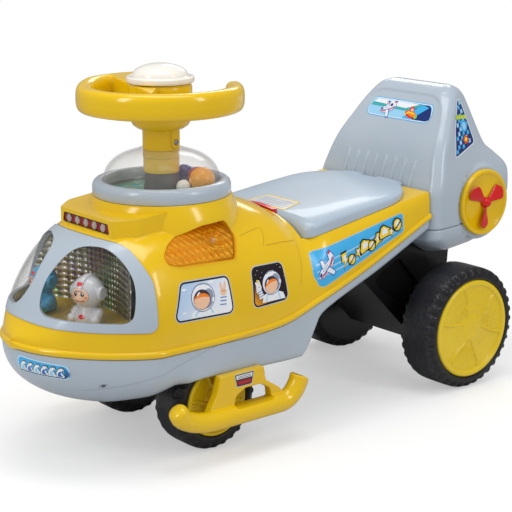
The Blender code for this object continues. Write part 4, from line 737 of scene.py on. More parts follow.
def skin(rings: Sequence[Ring], closed: bool = True, caps: bool = True) -> Mesh:
    """Skin rings of equal length.

    Args:
        rings: Cross-sections, each a ring of points.
        closed: Whether each ring closes on itself.
        caps: Whether the first and last ring are capped.

    Returns:
        The skinned mesh.
    """
    bm = bmesh.new()
    rows = [[bm.verts.new(p) for p in ring] for ring in rings]
    count = len(rows[0])
    for a, b in zip(rows, rows[1:]):
        for i in range(count if closed else count - 1):
            j = (i + 1) % count
            bm.faces.new((a[i], a[j], b[j], b[i]))
    if caps:
        bm.faces.new(rows[0][::-1])
        bm.faces.new(rows[-1])
    bmesh.ops.remove_doubles(bm, verts=bm.verts, dist=0.000004)
    bmesh.ops.dissolve_degenerate(bm, edges=bm.edges, dist=0.000002)
    return bm


def turned(profile: Callable[[float], Sequence[Point]], steps: int) -> Mesh:
    """Turn a closed (radius, distance along X) profile about the X axis.

    Args:
        profile: Gives the section at an angle in radians.
        steps: Number of sections round the turn.

    Returns:
        The turned mesh.
    """
    rings = []
    for k in range(steps):
        t = 2.0 * pi * k / steps
        rings.append([(x, r * cos(t), r * sin(t)) for r, x in profile(t)])
    return skin(rings + rings[:1], True, False)


def lathe(profile: Sequence[Point], steps: int = 96, centre: Sequence[float] = (0.0, 0.0, 0.0),
          axis: str = "Z", round_off: float = 0.0) -> Mesh:
    """Turn a closed (radius, height) profile about an axis.

    Args:
        profile: Closed outline of the section.
        steps: Number of sections round the turn.
        centre: Where height 0 of the axis lies.
        axis: Z or X.
        round_off: Radius given to the profile's corners.

    Returns:
        The turned mesh.
    """
    outline = rounded(profile, round_off, 4) if round_off > 0.0 else list(profile)
    rings = []
    for k in range(steps):
        t = 2.0 * pi * k / steps
        c, s = cos(t), sin(t)
        if axis == "Z":
            ring = [(r * c, r * s, h) for r, h in outline]
        else:
            ring = [(h, r * c, r * s) for r, h in outline]
        rings.append([(centre[0] + x, centre[1] + y, centre[2] + z) for x, y, z in ring])
    return skin(rings + rings[:1], True, False)


def rod(radius: float, low: float, high: float, centre: Sequence[float] = (0.0, 0.0, 0.0),
        axis: str = "Z", steps: int = 64) -> Mesh:
    """A round tool body along an axis."""
    return lathe([(0.0, low), (radius, low), (radius, high), (0.0, high)], steps, centre, axis)


def globe(centre: Sequence[float], radii: Sequence[float], steps: int = 40) -> Mesh:
    """A closed round body with its own radius along each axis."""
    rings = []
    rows = steps // 2
    for k in range(rows + 1):
        t = pi * k / rows
        rings.append([(centre[0] + radii[0] * sin(t) * cos(u),
                       centre[1] + radii[1] * sin(t) * sin(u),
                       centre[2] - radii[2] * cos(t))
                      for u in (2.0 * pi * j / steps for j in range(steps))])
    return skin(rings, True, False)


def prism(outline: Sequence[Point], low: float, high: float, plane: str = "XY") -> Mesh:
    """Extrude a closed outline: plane XY runs up Z, YZ runs along X and XZ runs along Y."""
    order = {"XY": (0, 1, 2), "YZ": (2, 0, 1), "XZ": (0, 2, 1)}[plane]
    rings = []
    for level in (low, high):
        rings.append([tuple((p[0], p[1], level)[n] for n in order) for p in outline])
    return skin(rings)


def block(x: Point, y: Point, z: Point) -> Mesh:
    """A plain tool body from three (low, high) ranges."""
    return prism([(x[0], y[0]), (x[1], y[0]), (x[1], y[1]), (x[0], y[1])], z[0], z[1])


def rounded(corners: Sequence[Point], radius: float | Sequence[float],
            steps: int = 8) -> list[Point]:
    """Round the corners of a closed outline with arcs.

    Args:
        corners: Corners of the outline.
        radius: One radius, or one for each corner.
        steps: Parts of each arc.

    Returns:
        The rounded outline.
    """
    points = []
    count = len(corners)
    for i, corner in enumerate(corners):
        here = Vector(corner)
        r = radius[i] if isinstance(radius, (list, tuple)) else radius
        back = Vector(corners[i - 1]) - here
        ahead = Vector(corners[(i + 1) % count]) - here
        if r <= 0.0 or back.length < 1e-9 or ahead.length < 1e-9 or corner[0] == 0.0:
            points.append(tuple(here))
            continue
        half = back.angle(ahead) / 2.0
        if half > radians(88.0):
            points.append(tuple(here))
            continue
        reach = min(r / tan(half), 0.49 * back.length, 0.49 * ahead.length)
        r = reach * tan(half)
        centre = here + (back.normalized() + ahead.normalized()).normalized() * (r / sin(half))
        start = here + back.normalized() * reach - centre
        end = here + ahead.normalized() * reach - centre
        swing = start.angle_signed(end)
        for k in range(steps + 1):
            part = -swing * k / steps
            points.append((centre.x + start.x * cos(part) - start.y * sin(part),
                           centre.y + start.x * sin(part) + start.y * cos(part)))
    return points


def cut_corners(outline: Sequence[Point], rounds: int) -> list[Point]:
    """Soften a closed outline into a smooth curve by cutting its corners again and again."""
    points = list(outline)
    for _ in range(rounds):
        points = [((1.0 - part) * a[0] + part * b[0], (1.0 - part) * a[1] + part * b[1])
                  for a, b in zip(points, points[1:] + points[:1]) for part in (0.25, 0.75)]
    return points


def superoval(half_a: float, half_b: float, power: float, steps: int) -> list[Point]:
    """A closed superellipse."""
    points = []
    for k in range(steps):
        turn = 2.0 * pi * (k + 0.5) / steps
        c, s = cos(turn), sin(turn)
        points.append((half_a * copysign(abs(c)**(2.0 / power), c),
                       half_b * copysign(abs(s)**(2.0 / power), s)))
    return points


def inset(outline: Sequence[Point], amount: float) -> list[Point]:
    """Move every edge of a closed outline inwards by the same amount."""
    points = [p for i, p in enumerate(outline)
              if (Vector(p) - Vector(outline[i - 1])).length > 1e-6]
    area = sum(a[0] * b[1] - b[0] * a[1] for a, b in zip(points, points[1:] + points[:1]))
    side = 1.0 if area > 0.0 else -1.0
    moved = []
    for i, here in enumerate(points):
        before = Vector(here) - Vector(points[i - 1])
        after = Vector(points[(i + 1) % len(points)]) - Vector(here)
        normal = (Vector((-before.y, before.x)).normalized()
                  + Vector((-after.y, after.x)).normalized()).normalized()
        moved.append(tuple(Vector(here) + normal * amount * side))
    return moved


def sweep(path: Sequence[tuple[Sequence[float], float]], section: Sequence[Point],
          normal: Sequence[float]) -> Mesh:
    """Carry a closed section along a path.

    Args:
        path: (point, scale) stations.
        section: (across, along the normal) points.
        normal: Direction that stays upright on the section.

    Returns:
        The swept mesh.
    """
    up = Vector(normal)
    rings = []
    for i, (spot, scale) in enumerate(path):
        ahead = Vector(path[min(i + 1, len(path) - 1)][0]) - Vector(path[max(i - 1, 0)][0])
        across = ahead.cross(up).normalized()
        rings.append([tuple(Vector(spot) + across * a * scale + up * b * scale)
                      for a, b in section])
    return skin(rings)


def on_side(bm: Mesh, sign: float) -> Mesh:
    """Keep a body made for the right side, or mirror it to the left."""
    if sign < 0.0:
        bmesh.ops.scale(bm, vec=(-1.0, 1.0, 1.0), verts=bm.verts)
    return bm


def tilt(bm: Mesh, angle: float, axis: str) -> Mesh:
    """Turn a mesh by an angle in degrees about one of the frame's axes."""
    turn = Matrix.Rotation(radians(angle), 3, axis)
    bmesh.ops.rotate(bm, verts=bm.verts, cent=(0.0, 0.0, 0.0), matrix=turn)
    return bm


def shift(bm: Mesh, way: Sequence[float]) -> Mesh:
    """Move a mesh."""
    bmesh.ops.translate(bm, verts=bm.verts, vec=way)
    return bm


def merged(*parts: Mesh) -> Mesh:
    """Put several meshes into one without fusing them."""
    whole = bmesh.new()
    for part in parts:
        mesh = bpy.data.meshes.new("merge")
        part.to_mesh(mesh)
        part.free()
        whole.from_mesh(mesh)
        bpy.data.meshes.remove(mesh)
    return whole


# Wheels

@dataclass(frozen=True)
class WheelSize:
    """Sizes of a wheel and its cap, in metres."""

    radius: float
    width: float
    hub_radius: float
    track: float
    y: float
    lugs: int
    cap_depth: float = 0.016
    shoulder: float = 0.012
    lug_height: float = 0.0030
    bore: float = 0.0055


FRONT_WHEEL = WheelSize(0.070, 0.057, 0.0500, 0.094, 0.0, 28)
REAR_WHEEL = WheelSize(0.095, 0.067, 0.0766, 0.136, 0.464, 36)


class Wheel(Assembly):
    """Black tyre with shoulder lugs, and a yellow cap with three ribbed fans and three petals."""

    def __init__(self, axle: str, side: str, size: WheelSize, turn: float) -> None:
        """Keep the wheel's place, its size and how far its cap is turned in degrees."""
        self.size = size
        self.sign = 1.0 if side == "right" else -1.0
        self.body = f"{axle}_wheel_{side}"
        self.axle = axle
        self.label = f"{axle}_{side}"
        self.turn = radians(turn)
        self.centre = (self.sign * size.track, size.y + STEERING_AXIS_Y, size.radius)

    def tyre_section(self, angle: float) -> list[Point]:
        """Closed section of the tyre at an angle, with its lugs raised there."""
        s = self.size
        half = s.width / 2.0
        wave = cos(s.lugs * angle)
        notch = ease(-0.55, 0.15, -wave)
        across = cos(s.lugs * angle + pi)
        inner_notch = ease(-0.55, 0.15, -across)
        points = [(s.bore, -half + 0.004), (s.radius * 0.55, -half + 0.003)]
        for sign, cut in ((-1.0, inner_notch), (1.0, notch)):
            shoulder = []
            for part in (0.0, 0.12, 0.3, 0.5, 0.7, 0.85, 1.0):
                t = pi / 2.0 * part
                deep = cut * s.lug_height * sin(pi * min(part * 1.15, 1.0))**0.7
                r = s.radius - s.shoulder * (1.0 - cos(t)) - deep
                x = half - s.shoulder * 0.8 * (1.0 - sin(t)) - deep * 0.5
                shoulder.append((r, sign * x))
            low = s.radius - s.shoulder
            if sign < 0.0:
                points += [(low - 0.004, -half)] + shoulder[::-1]
                points += [(s.radius + 0.0004, x * half) for x in (-0.45, -0.2, 0.0, 0.2, 0.45)]
            else:
                points += shoulder + [(low - 0.0025, half + 0.0003), (s.hub_radius + 0.0022, half),
                                      (s.hub_radius + 0.0006, half - 0.0015)]
        points += [(s.hub_radius + 0.0004, half - s.cap_depth), (s.bore, half - s.cap_depth)]
        return points

    def cap_height(self, radius: float, angle: float) -> float:
        """How far the cap's face stands from its rim's level at a place on it."""
        s = self.size
        rim = s.hub_radius - 0.0075 * s.hub_radius / 0.0766
        hub = 0.24 * s.hub_radius
        if radius > rim:
            edge = s.hub_radius - 0.0022
            return -0.0024 * ease(edge, s.hub_radius, radius)
        share = (radius - hub) / (rim - hub)
        third = fmod(angle + 10.0 * pi, 2.0 * pi / 3.0) - pi / 3.0
        deep = -0.0030 * ease(1.0, 0.94, share)
        spread = 0.62 if radius > hub else 0.0
        bow = 0.12 * sin(pi * max(share, 0.0))
        side = abs(third) - (spread * (0.62 + 0.38 * max(share, 0.0)) + bow - 0.12)
        wall = side * max(radius, 0.004)
        ribs = 0.5 + 0.5 * cos(third * 62.0)
        fan = -0.0008 + 0.0012 * ribs * ease(0.10, 0.26, share) * ease(0.97, 0.90, share)
        ridge = 0.0019 * ease(0.0026, 0.0010, abs(wall))
        petal_mid = pi / 3.0 - abs(third)
        petal = -0.0008 * ease(0.22, 0.34, share) * ease(0.0015, 0.0030, wall)
        floor = deep + (fan * ease(0.0008, -0.0012, wall) + petal)
        centre = ease(0.10, -0.04, share)
        dot = 0.0007 * ease(0.0042, 0.0032, hypot(radius - 0.45 * rim, petal_mid * radius - 0.004))
        return (floor + ridge * ease(1.0, 0.9, share) + dot) * (1.0 - centre) - 0.0011 * centre

    def build_cap(self) -> Mesh:
        """The cap as a disc with a relief on its outer face."""
        s = self.size
        level = s.width / 2.0 + 0.0012
        radii = [s.hub_radius * sqrt(k / 44.0) if k < 12 else
                 s.hub_radius * (0.522 + 0.478 * (k - 12) / 32.0) for k in range(1, 45)]
        steps = 300
        bm = bmesh.new()
        rows = []
        for radius in radii:
            row = []
            for k in range(steps):
                t = 2.0 * pi * k / steps
                x = level + self.cap_height(radius, t - self.turn)
                row.append(bm.verts.new((x, radius * cos(t), radius * sin(t))))
            rows.append(row)
        foot = [bm.verts.new((level - 0.012, s.hub_radius * cos(2.0 * pi * k / steps),
                              s.hub_radius * sin(2.0 * pi * k / steps))) for k in range(steps)]
        rows.append(foot)
        middle = bm.verts.new((level + self.cap_height(0.0, 0.0), 0.0, 0.0))
        for k in range(steps):
            j = (k + 1) % steps
            bm.faces.new((middle, rows[0][k], rows[0][j]))
            for a, b in zip(rows, rows[1:]):
                bm.faces.new((a[k], b[k], b[j], a[j]))
        bm.faces.new(foot)
        return bm

    def build(self) -> None:
        """Make the tyre and the cap in place of their plain solids."""
        s = self.size
        steps = s.lugs * 8
        tyre = turned(self.tyre_section, steps)
        cap = self.build_cap()
        for bm in (tyre, cap):
            bmesh.ops.scale(bm, vec=(self.sign, 1.0, 1.0), verts=bm.verts)
        finish = TreadPlastic(f"tread_plastic_{self.axle}", s.radius - 0.0035)
        self.piece(f"{self.label}_tyre", tyre, self.body, finish, "black_wheel",
                   f"{self.label}_wheel", 50.0, self.centre)
        self.piece(f"{self.label}_cap", cap, self.body, Plastic.WHEEL_YELLOW, "yellow_plastic",
                   f"{self.label}_hub_cap", 50.0, self.centre)


# Body

@dataclass(frozen=True)
class BodyForm:
    """The outline and sizes that the body, hull, windows, lamps, dome and seat share."""

    nose: float = 0.250
    tail: float = 0.410
    shoulder: float = -0.109
    cabin_half: float = 0.150
    seat_half: float = 0.141
    tail_half: float = 0.128
    bead: float = 0.010
    bead_proud: float = 0.005
    hull_inset: float = 0.003
    parting_nose: float = 0.168
    parting_cabin: float = 0.160
    parting_tail: float = 0.268
    roof: float = 0.332
    brow: float = 0.306
    sill: float = 0.200
    hump: float = 0.303
    belly_nose: float = 0.080
    belly_cabin: float = 0.115
    belly_tail: float = 0.243
    deck_front: float = 0.1675
    deck_level: float = 0.2713
    deck_slope: float = 0.16
    pedestal_top: float = 0.345
    latch_half: float = 0.038
    latch_front: float = 0.1692
    latch_deep: float = 0.0095
    bar_half: float = 0.0565
    bar_low: float = 0.3125
    bar_high: float = 0.3265
    shaft_bore: float = 0.0113

    def half_width(self, y: float, inwards: float = 0.0) -> float:
        """Half width of the bead outline at a place, or of a line set in from it."""
        reach = self.nose - inwards
        if y < self.shoulder:
            u = min((self.shoulder - y) / (reach + self.shoulder), 1.0)
            return (self.cabin_half - inwards) * sqrt(max(1.0 - u**1.25, 0.0))
        keys = [(self.shoulder, self.cabin_half), (0.06, self.cabin_half - 0.003),
                (0.20, self.seat_half), (self.tail - 0.060, self.tail_half + 0.003),
                (self.tail, self.tail_half)]
        return follow(keys, y) - inwards

    def parting(self, y: float) -> float:
        """Height of the seam between the hull and the body."""
        low = self.parting_cabin
        rise = self.parting_tail - low
        return follow([(-self.nose, self.parting_nose), (-0.10, low + 0.001), (0.04, low),
                       (0.098, low + 0.03 * rise), (0.173, low + 0.21 * rise),
                       (self.tail - 0.130, low + 0.53 * rise), (self.tail, self.parting_tail)], y)

    def top(self, y: float) -> float:
        """Height of the body along its middle."""
        return follow([(-self.nose, self.parting_nose + self.bead), (-0.243, self.sill - 0.014),
                       (-0.231, self.sill + 0.001), (-0.215, self.sill + 0.030),
                       (-0.193, self.brow - 0.042), (-0.166, self.brow - 0.015),
                       (-0.145, self.brow), (-0.105, self.roof - 0.008), (-0.060, self.roof),
                       (0.085, self.roof), (0.130, self.roof - 0.010), (self.deck_front, self.hump),
                       (self.tail, self.hump + 0.030)], y)

    def belly(self, y: float) -> float:
        """Height of the hull's underside along its middle."""
        nose, low = self.belly_nose, self.belly_cabin
        rise = self.belly_tail - low
        return follow([(-self.nose, self.parting_nose - 0.006), (-0.244, self.parting_nose - 0.026),
                       (-0.225, nose + 0.036), (-0.200, nose + 0.018), (-0.170, nose + 0.006),
                       (-0.140, nose), (-0.110, nose + 0.006), (-0.075, low - 0.010), (-0.040, low),
                       (0.060, low - 0.005), (0.140, low - 0.008), (0.158, low + 0.09 * rise),
                       (0.176, low + 0.29 * rise), (0.207, low + 0.42 * rise),
                       (self.tail - 0.105, low + 0.67 * rise), (self.tail, self.belly_tail)], y)

    def deck(self, y: float) -> float:
        """Height of the sloping deck under the seat."""
        return self.deck_level + self.deck_slope * (y - self.deck_front)

    def stations(self, inwards: float = 0.0) -> list[float]:
        """Places of the cross-sections, close together round the nose."""
        front = -self.nose + inwards + 0.0002
        nose = [front + (self.shoulder - front) * (k / 26.0)**2 for k in range(26)]
        count = 64
        rear = self.tail - inwards
        return nose + [self.shoulder + (rear - self.shoulder) * k / count for k in range(count + 1)]

    def body_ring(self, y: float, wall: float, proud: float) -> Ring:
        """One cross-section of the body.

        Args:
            y: Place of the section.
            wall: How far the section shrinks for an inner skin.
            proud: How far it grows.

        Returns:
            The closed ring of points.
        """
        at = y - wall if y < self.shoulder else y
        side = max(self.half_width(y, self.bead_proud + wall) + proud, 0.0006)
        low = self.parting(y)
        foot = low + self.bead
        crown = max(self.top(at) - wall * 0.9 + proud - foot, 0.0012)
        power = 2.0 / follow([(-self.nose, 2.3), (-0.10, 2.6), (0.10, 2.5), (0.165, 2.3),
                              (0.20, 3.2), (self.tail, 4.0)], y)
        points = [(side, y, low - (0.012 if wall else 0.0))]
        if wall == 0.0:
            bead = max(self.half_width(y), side + 0.0004)
            for turn in (radians(d) for d in (-70.0, -45.0, -20.0, 0.0, 20.0, 45.0, 70.0)):
                reach = side + (bead - side) * cos(turn)
                points.append((reach, y, low + self.bead * (0.5 + 0.5 * sin(turn))))
        steps = 30
        for k in range(steps + 1):
            t = pi / 2.0 * k / steps
            points.append((side * cos(t)**power if k < steps else 0.0, y,
                           foot + crown * sin(t)**power))
        return self.whole([(0.0, y, points[0][2])] + points)

    def hull_ring(self, y: float, wall: float) -> Ring:
        """One cross-section of the hull."""
        side = max(self.half_width(y, self.hull_inset + wall), 0.0005)
        top = self.parting(y) - GAP
        low = min(self.belly(y) + wall, top - 0.001)
        power = 2.0 / follow([(-self.nose, 2.1), (-0.14, 2.4), (-0.075, 5.0), (-0.04, 20.0),
                              (0.14, 20.0), (0.18, 5.0), (self.tail, 4.0)], y)
        steps = 26
        points = [(side, y, top + (0.012 if wall else 0.0))]
        for k in range(steps + 1):
            t = pi / 2.0 * k / steps
            points.append((side * cos(t)**power if k < steps else 0.0, y,
                           top - (top - low) * sin(t)**power))
        return self.whole([(0.0, y, points[0][2])] + points)

    @staticmethod
    def whole(right: Ring) -> Ring:
        """A full ring from the points of its right side."""
        left = [(-x, y, z) for x, y, z in reversed(right)]
        return right + [p for p in left if abs(p[0]) > 1e-7]

    def body(self, wall: float = 0.0, proud: float = 0.0) -> Mesh:
        """The body as a full solid, or the hollow inside it."""
        return skin([self.body_ring(y, wall, proud) for y in self.stations(wall)])

    def hull(self, wall: float = 0.0) -> Mesh:
        """The hull as a full solid, or the hollow inside it."""
        return skin([self.hull_ring(y, wall) for y in self.stations(self.hull_inset + wall)])

    def above_deck(self, drop: float, front: float) -> Mesh:
        """Everything above the seat deck."""
        outline = [(front, self.deck(front) - drop), (0.6, self.deck(0.6) - drop), (0.6, 0.6),
                   (front, 0.6)]
        return prism(outline, -0.3, 0.3, "YZ")


FORM = BodyForm()


@dataclass
class CabinBody(Assembly):
    """Yellow body with its light block and pedestal, grey frame, windows and signal lamps."""

    wall: float = 0.003
    pedestal_radius: float = 0.0985
    bar_face: float = -0.1275
    bar_back: float = -0.1150
    frame_proud: float = 0.0015
    frame_wall: float = 0.0045

    def frame_space(self, shrink: float) -> Mesh:
        """Everything in front of the window frame's rear edge."""
        corners = [(-0.275, 0.2065), (-0.180, 0.1995), (-0.113, 0.196), (-0.110, 0.262),
                   (-0.122, 0.304), (-0.146, 0.3105), (-0.275, 0.330)]
        outline = rounded(corners, [0.002, 0.05, 0.013, 0.03, 0.012, 0.02, 0.002], 10)
        return prism(inset(outline, shrink), -0.25, 0.25, "YZ")

    def window_space(self, sign: float, shrink: float) -> Mesh:
        """A prism through one window, facing outwards and forwards."""
        corners = [(-0.153, 0.215), (-0.122, 0.2137), (-0.060, 0.2112), (-0.027, 0.210),
                   (-0.022, 0.234), (-0.0235, 0.262), (-0.038, 0.284), (-0.060, 0.299),
                   (-0.084, 0.3005), (-0.108, 0.295), (-0.131, 0.275), (-0.150, 0.247)]
        outline = cut_corners(corners, 3)
        bm = prism(inset(outline, shrink), 0.05, 0.32)
        turn = radians(50.0)
        right = Vector((cos(turn), sin(turn)))
        ahead = Vector((sin(turn), -cos(turn)))
        for v in bm.verts:
            along, up, out = v.co
            spot = right * along + ahead * out
            v.co = (sign * spot.x, spot.y, up)
        return bm

    def lamp_space(self, sign: float, shrink: float) -> Mesh:
        """A prism along X on the outline of a signal lamp."""
        corners = [(-0.088, 0.280), (-0.062, 0.2725), (0.031, 0.268), (0.046, 0.298),
                   (0.030, 0.319), (-0.012, 0.3175), (-0.070, 0.300)]
        outline = rounded(corners, [0.012, 0.030, 0.006, 0.014, 0.014, 0.060, 0.050], 12)
        return on_side(prism(inset(outline, shrink), 0.05, 0.20, "YZ"), sign)

    def light_block(self) -> Mesh:
        """Raised block over the windows that holds the light bar."""
        front = FORM.bar_half + 0.006
        face = self.bar_face
        plan = rounded([(-front, face), (front, face), (front + 0.0215, face + 0.0275),
                        (front + 0.024, -0.050), (-front - 0.024, -0.050),
                        (-front - 0.0215, face + 0.0275)],
                       [0.006, 0.006, 0.02, 0.01, 0.01, 0.02], 8)
        bm = prism(plan, FORM.bar_low - 0.035, 0.3315)
        for v in bm.verts:
            if v.co.z > FORM.bar_low:
                v.co.z += 0.1 * (v.co.y - face)
        return bm

    def bar_outline(self, grow: float) -> list[Point]:
        """Front outline of the light bar."""
        low, high = FORM.bar_half + grow, FORM.bar_half - 0.003 + grow
        return rounded([(-low, FORM.bar_low - grow), (low, FORM.bar_low - grow),
                        (high, FORM.bar_high + grow), (-high, FORM.bar_high + grow)], 0.003, 6)

    def build_shell(self) -> Mesh:
        """The yellow body."""
        top = FORM.pedestal_top
        radius = self.pedestal_radius
        low = FORM.roof - 0.030
        pedestal = lathe([(0.0, low), (radius + 0.010, low), (radius + 0.0062, FORM.roof - 0.003),
                          (radius + 0.0022, FORM.roof + 0.0035), (radius, top - 0.002),
                          (radius - 0.002, top), (0.0, top)], 128)
        hollow = Workbench(FORM.body(self.wall))
        hollow.fit(Fit.CUT, FORM.above_deck(self.wall, FORM.deck_front - self.wall))
        bench = Workbench(FORM.body())
        bench.fit(Fit.CUT, FORM.above_deck(0.0, FORM.deck_front)).fit(Fit.JOIN, pedestal)
        bench.fit(Fit.JOIN, self.light_block()).fit(Fit.CUT, hollow.take())
        bench.fit(Fit.CUT, self.frame_space(0.0)).fit(Fit.CUT, rod(0.014, 0.20, 0.40))
        tub = rounded([(-0.0808, 0.2022), (0.0808, 0.2022), (0.0808, 0.3708), (-0.0808, 0.3708)],
                      0.0208, 6)
        bench.fit(Fit.CUT, prism(tub, 0.20, 0.40))
        bench.fit(Fit.CUT, prism(self.bar_outline(0.0), -0.20, self.bar_back, "XZ"))
        x = FORM.latch_half + ROOM
        slot = (FORM.latch_front - ROOM, FORM.latch_front + FORM.latch_deep + ROOM)
        bench.fit(Fit.CUT, block((-x, x), slot, (0.255, 0.34)))
        for _, sign in SIDES:
            bench.fit(Fit.CUT, tilt(self.lamp_space(sign, 0.0), HAIR_TURN * sign, "Z"))
        return bench.take()

    def build_hull(self) -> Mesh:
        """The grey hull with its oval wheel well."""
        well = lathe([(0.0, 0.02), (1.0, 0.02), (1.0, 0.1545), (0.0, 0.1545)], 96)
        bmesh.ops.scale(well, vec=(0.1415, 0.1490, 1.0), verts=well.verts)
        bore = rod(FORM.shaft_bore, 0.10, 0.30)
        return Workbench(FORM.hull()).fit(Fit.CUT, well).fit(Fit.CUT, bore).take()

    def build_frame(self) -> Mesh:
        """The grey wrap-round window frame."""
        bench = Workbench(FORM.body(proud=self.frame_proud)).fit(Fit.KEEP, self.frame_space(GAP))
        bench.fit(Fit.CUT, FORM.body(self.frame_wall))
        for _, sign in SIDES:
            bench.fit(Fit.CUT, tilt(self.window_space(sign, 0.0), HAIR_TURN * sign, "Z"))
        return bench.take()

    def build_cup(self, name: str, sign: float) -> None:
        """Make the plated plate and the faceted cup with its bulb behind a signal lens."""
        form = FORM.body()
        eye, way = Vector((sign * 0.3, 0.010, 0.297)), Vector((-sign, 0.0, 0.0))
        spot, normal = BVHTree.FromBMesh(form).ray_cast(eye, way)[:2]
        form.free()
        if normal.x * sign < 0.0:
            normal = -normal
        turn = Vector((1.0, 0.0, 0.0)).rotation_difference(normal).to_matrix()

        def aim(bm: Mesh, depth: float) -> Mesh:
            """Turn a mesh made along X to the lens's own direction and sink it."""
            bmesh.ops.rotate(bm, verts=bm.verts, cent=(0.0, 0.0, 0.0), matrix=turn)
            return shift(bm, spot - normal * depth)

        bench = Workbench(FORM.body(0.0050)).fit(Fit.KEEP, self.lamp_space(sign, 0.0008))
        mouth = rod(0.0162, -0.03, 0.03, axis="X")
        bench.fit(Fit.CUT, FORM.body(0.0070)).fit(Fit.CUT, aim(mouth, 0.0))
        cup = lathe([(0.0, 0.0), (0.007, 0.0), (0.0125, 0.002), (0.0165, 0.0070), (0.0175, 0.0095),
                     (0.0160, 0.0095), (0.0115, 0.0045), (0.0065, 0.0025), (0.0, 0.0025)], 14,
                     axis="X")
        self.piece(f"signal_cup_{name}", merged(bench.take(), aim(cup, 0.0130)), "car", PLATED_CUP,
                   "mirror_foil", f"lamp_reflector_{name}", 15.0)
        bulb = aim(globe((0.0, 0.0, 0.0), (0.0048, 0.0040, 0.0040), 24), 0.0065)
        self.piece(f"signal_bulb_{name}", bulb, "car", GRID_LAMP, "white_plastic")

    def build(self) -> None:
        """Make the body, the hull, the frame, the windows and the lenses."""
        self.piece("body_moulding", self.build_shell(), "car", Plastic.YELLOW, "yellow_plastic",
                   "upper_body", 32.0)
        self.piece("hull_moulding", self.build_hull(), "car", Plastic.GREY, "grey_plastic",
                   "lower_hull", 32.0)
        self.piece("front_frame", self.build_frame(), "car", Plastic.GREY, "grey_plastic",
                   "window_frame", 40.0)
        for name, sign in SIDES:
            glass = Workbench(FORM.body(0.0006)).fit(Fit.KEEP, self.window_space(sign, GAP))
            glass.fit(Fit.CUT, FORM.body(0.0024))
            self.piece(f"cabin_pane_{name}", glass.take(), "car", WINDOW_PANE, "clear_plastic",
                       f"window_{name}", 40.0)
            lens = Workbench(FORM.body(proud=0.0024)).fit(Fit.KEEP, self.lamp_space(sign, GAP))
            lens.fit(Fit.CUT, FORM.body(0.0020))
            self.piece(f"signal_lens_{name}", lens.take(), "car", AMBER, "amber_lens",
                       f"signal_lamp_{name}", 40.0)
            self.build_cup(name, sign)


# Steering

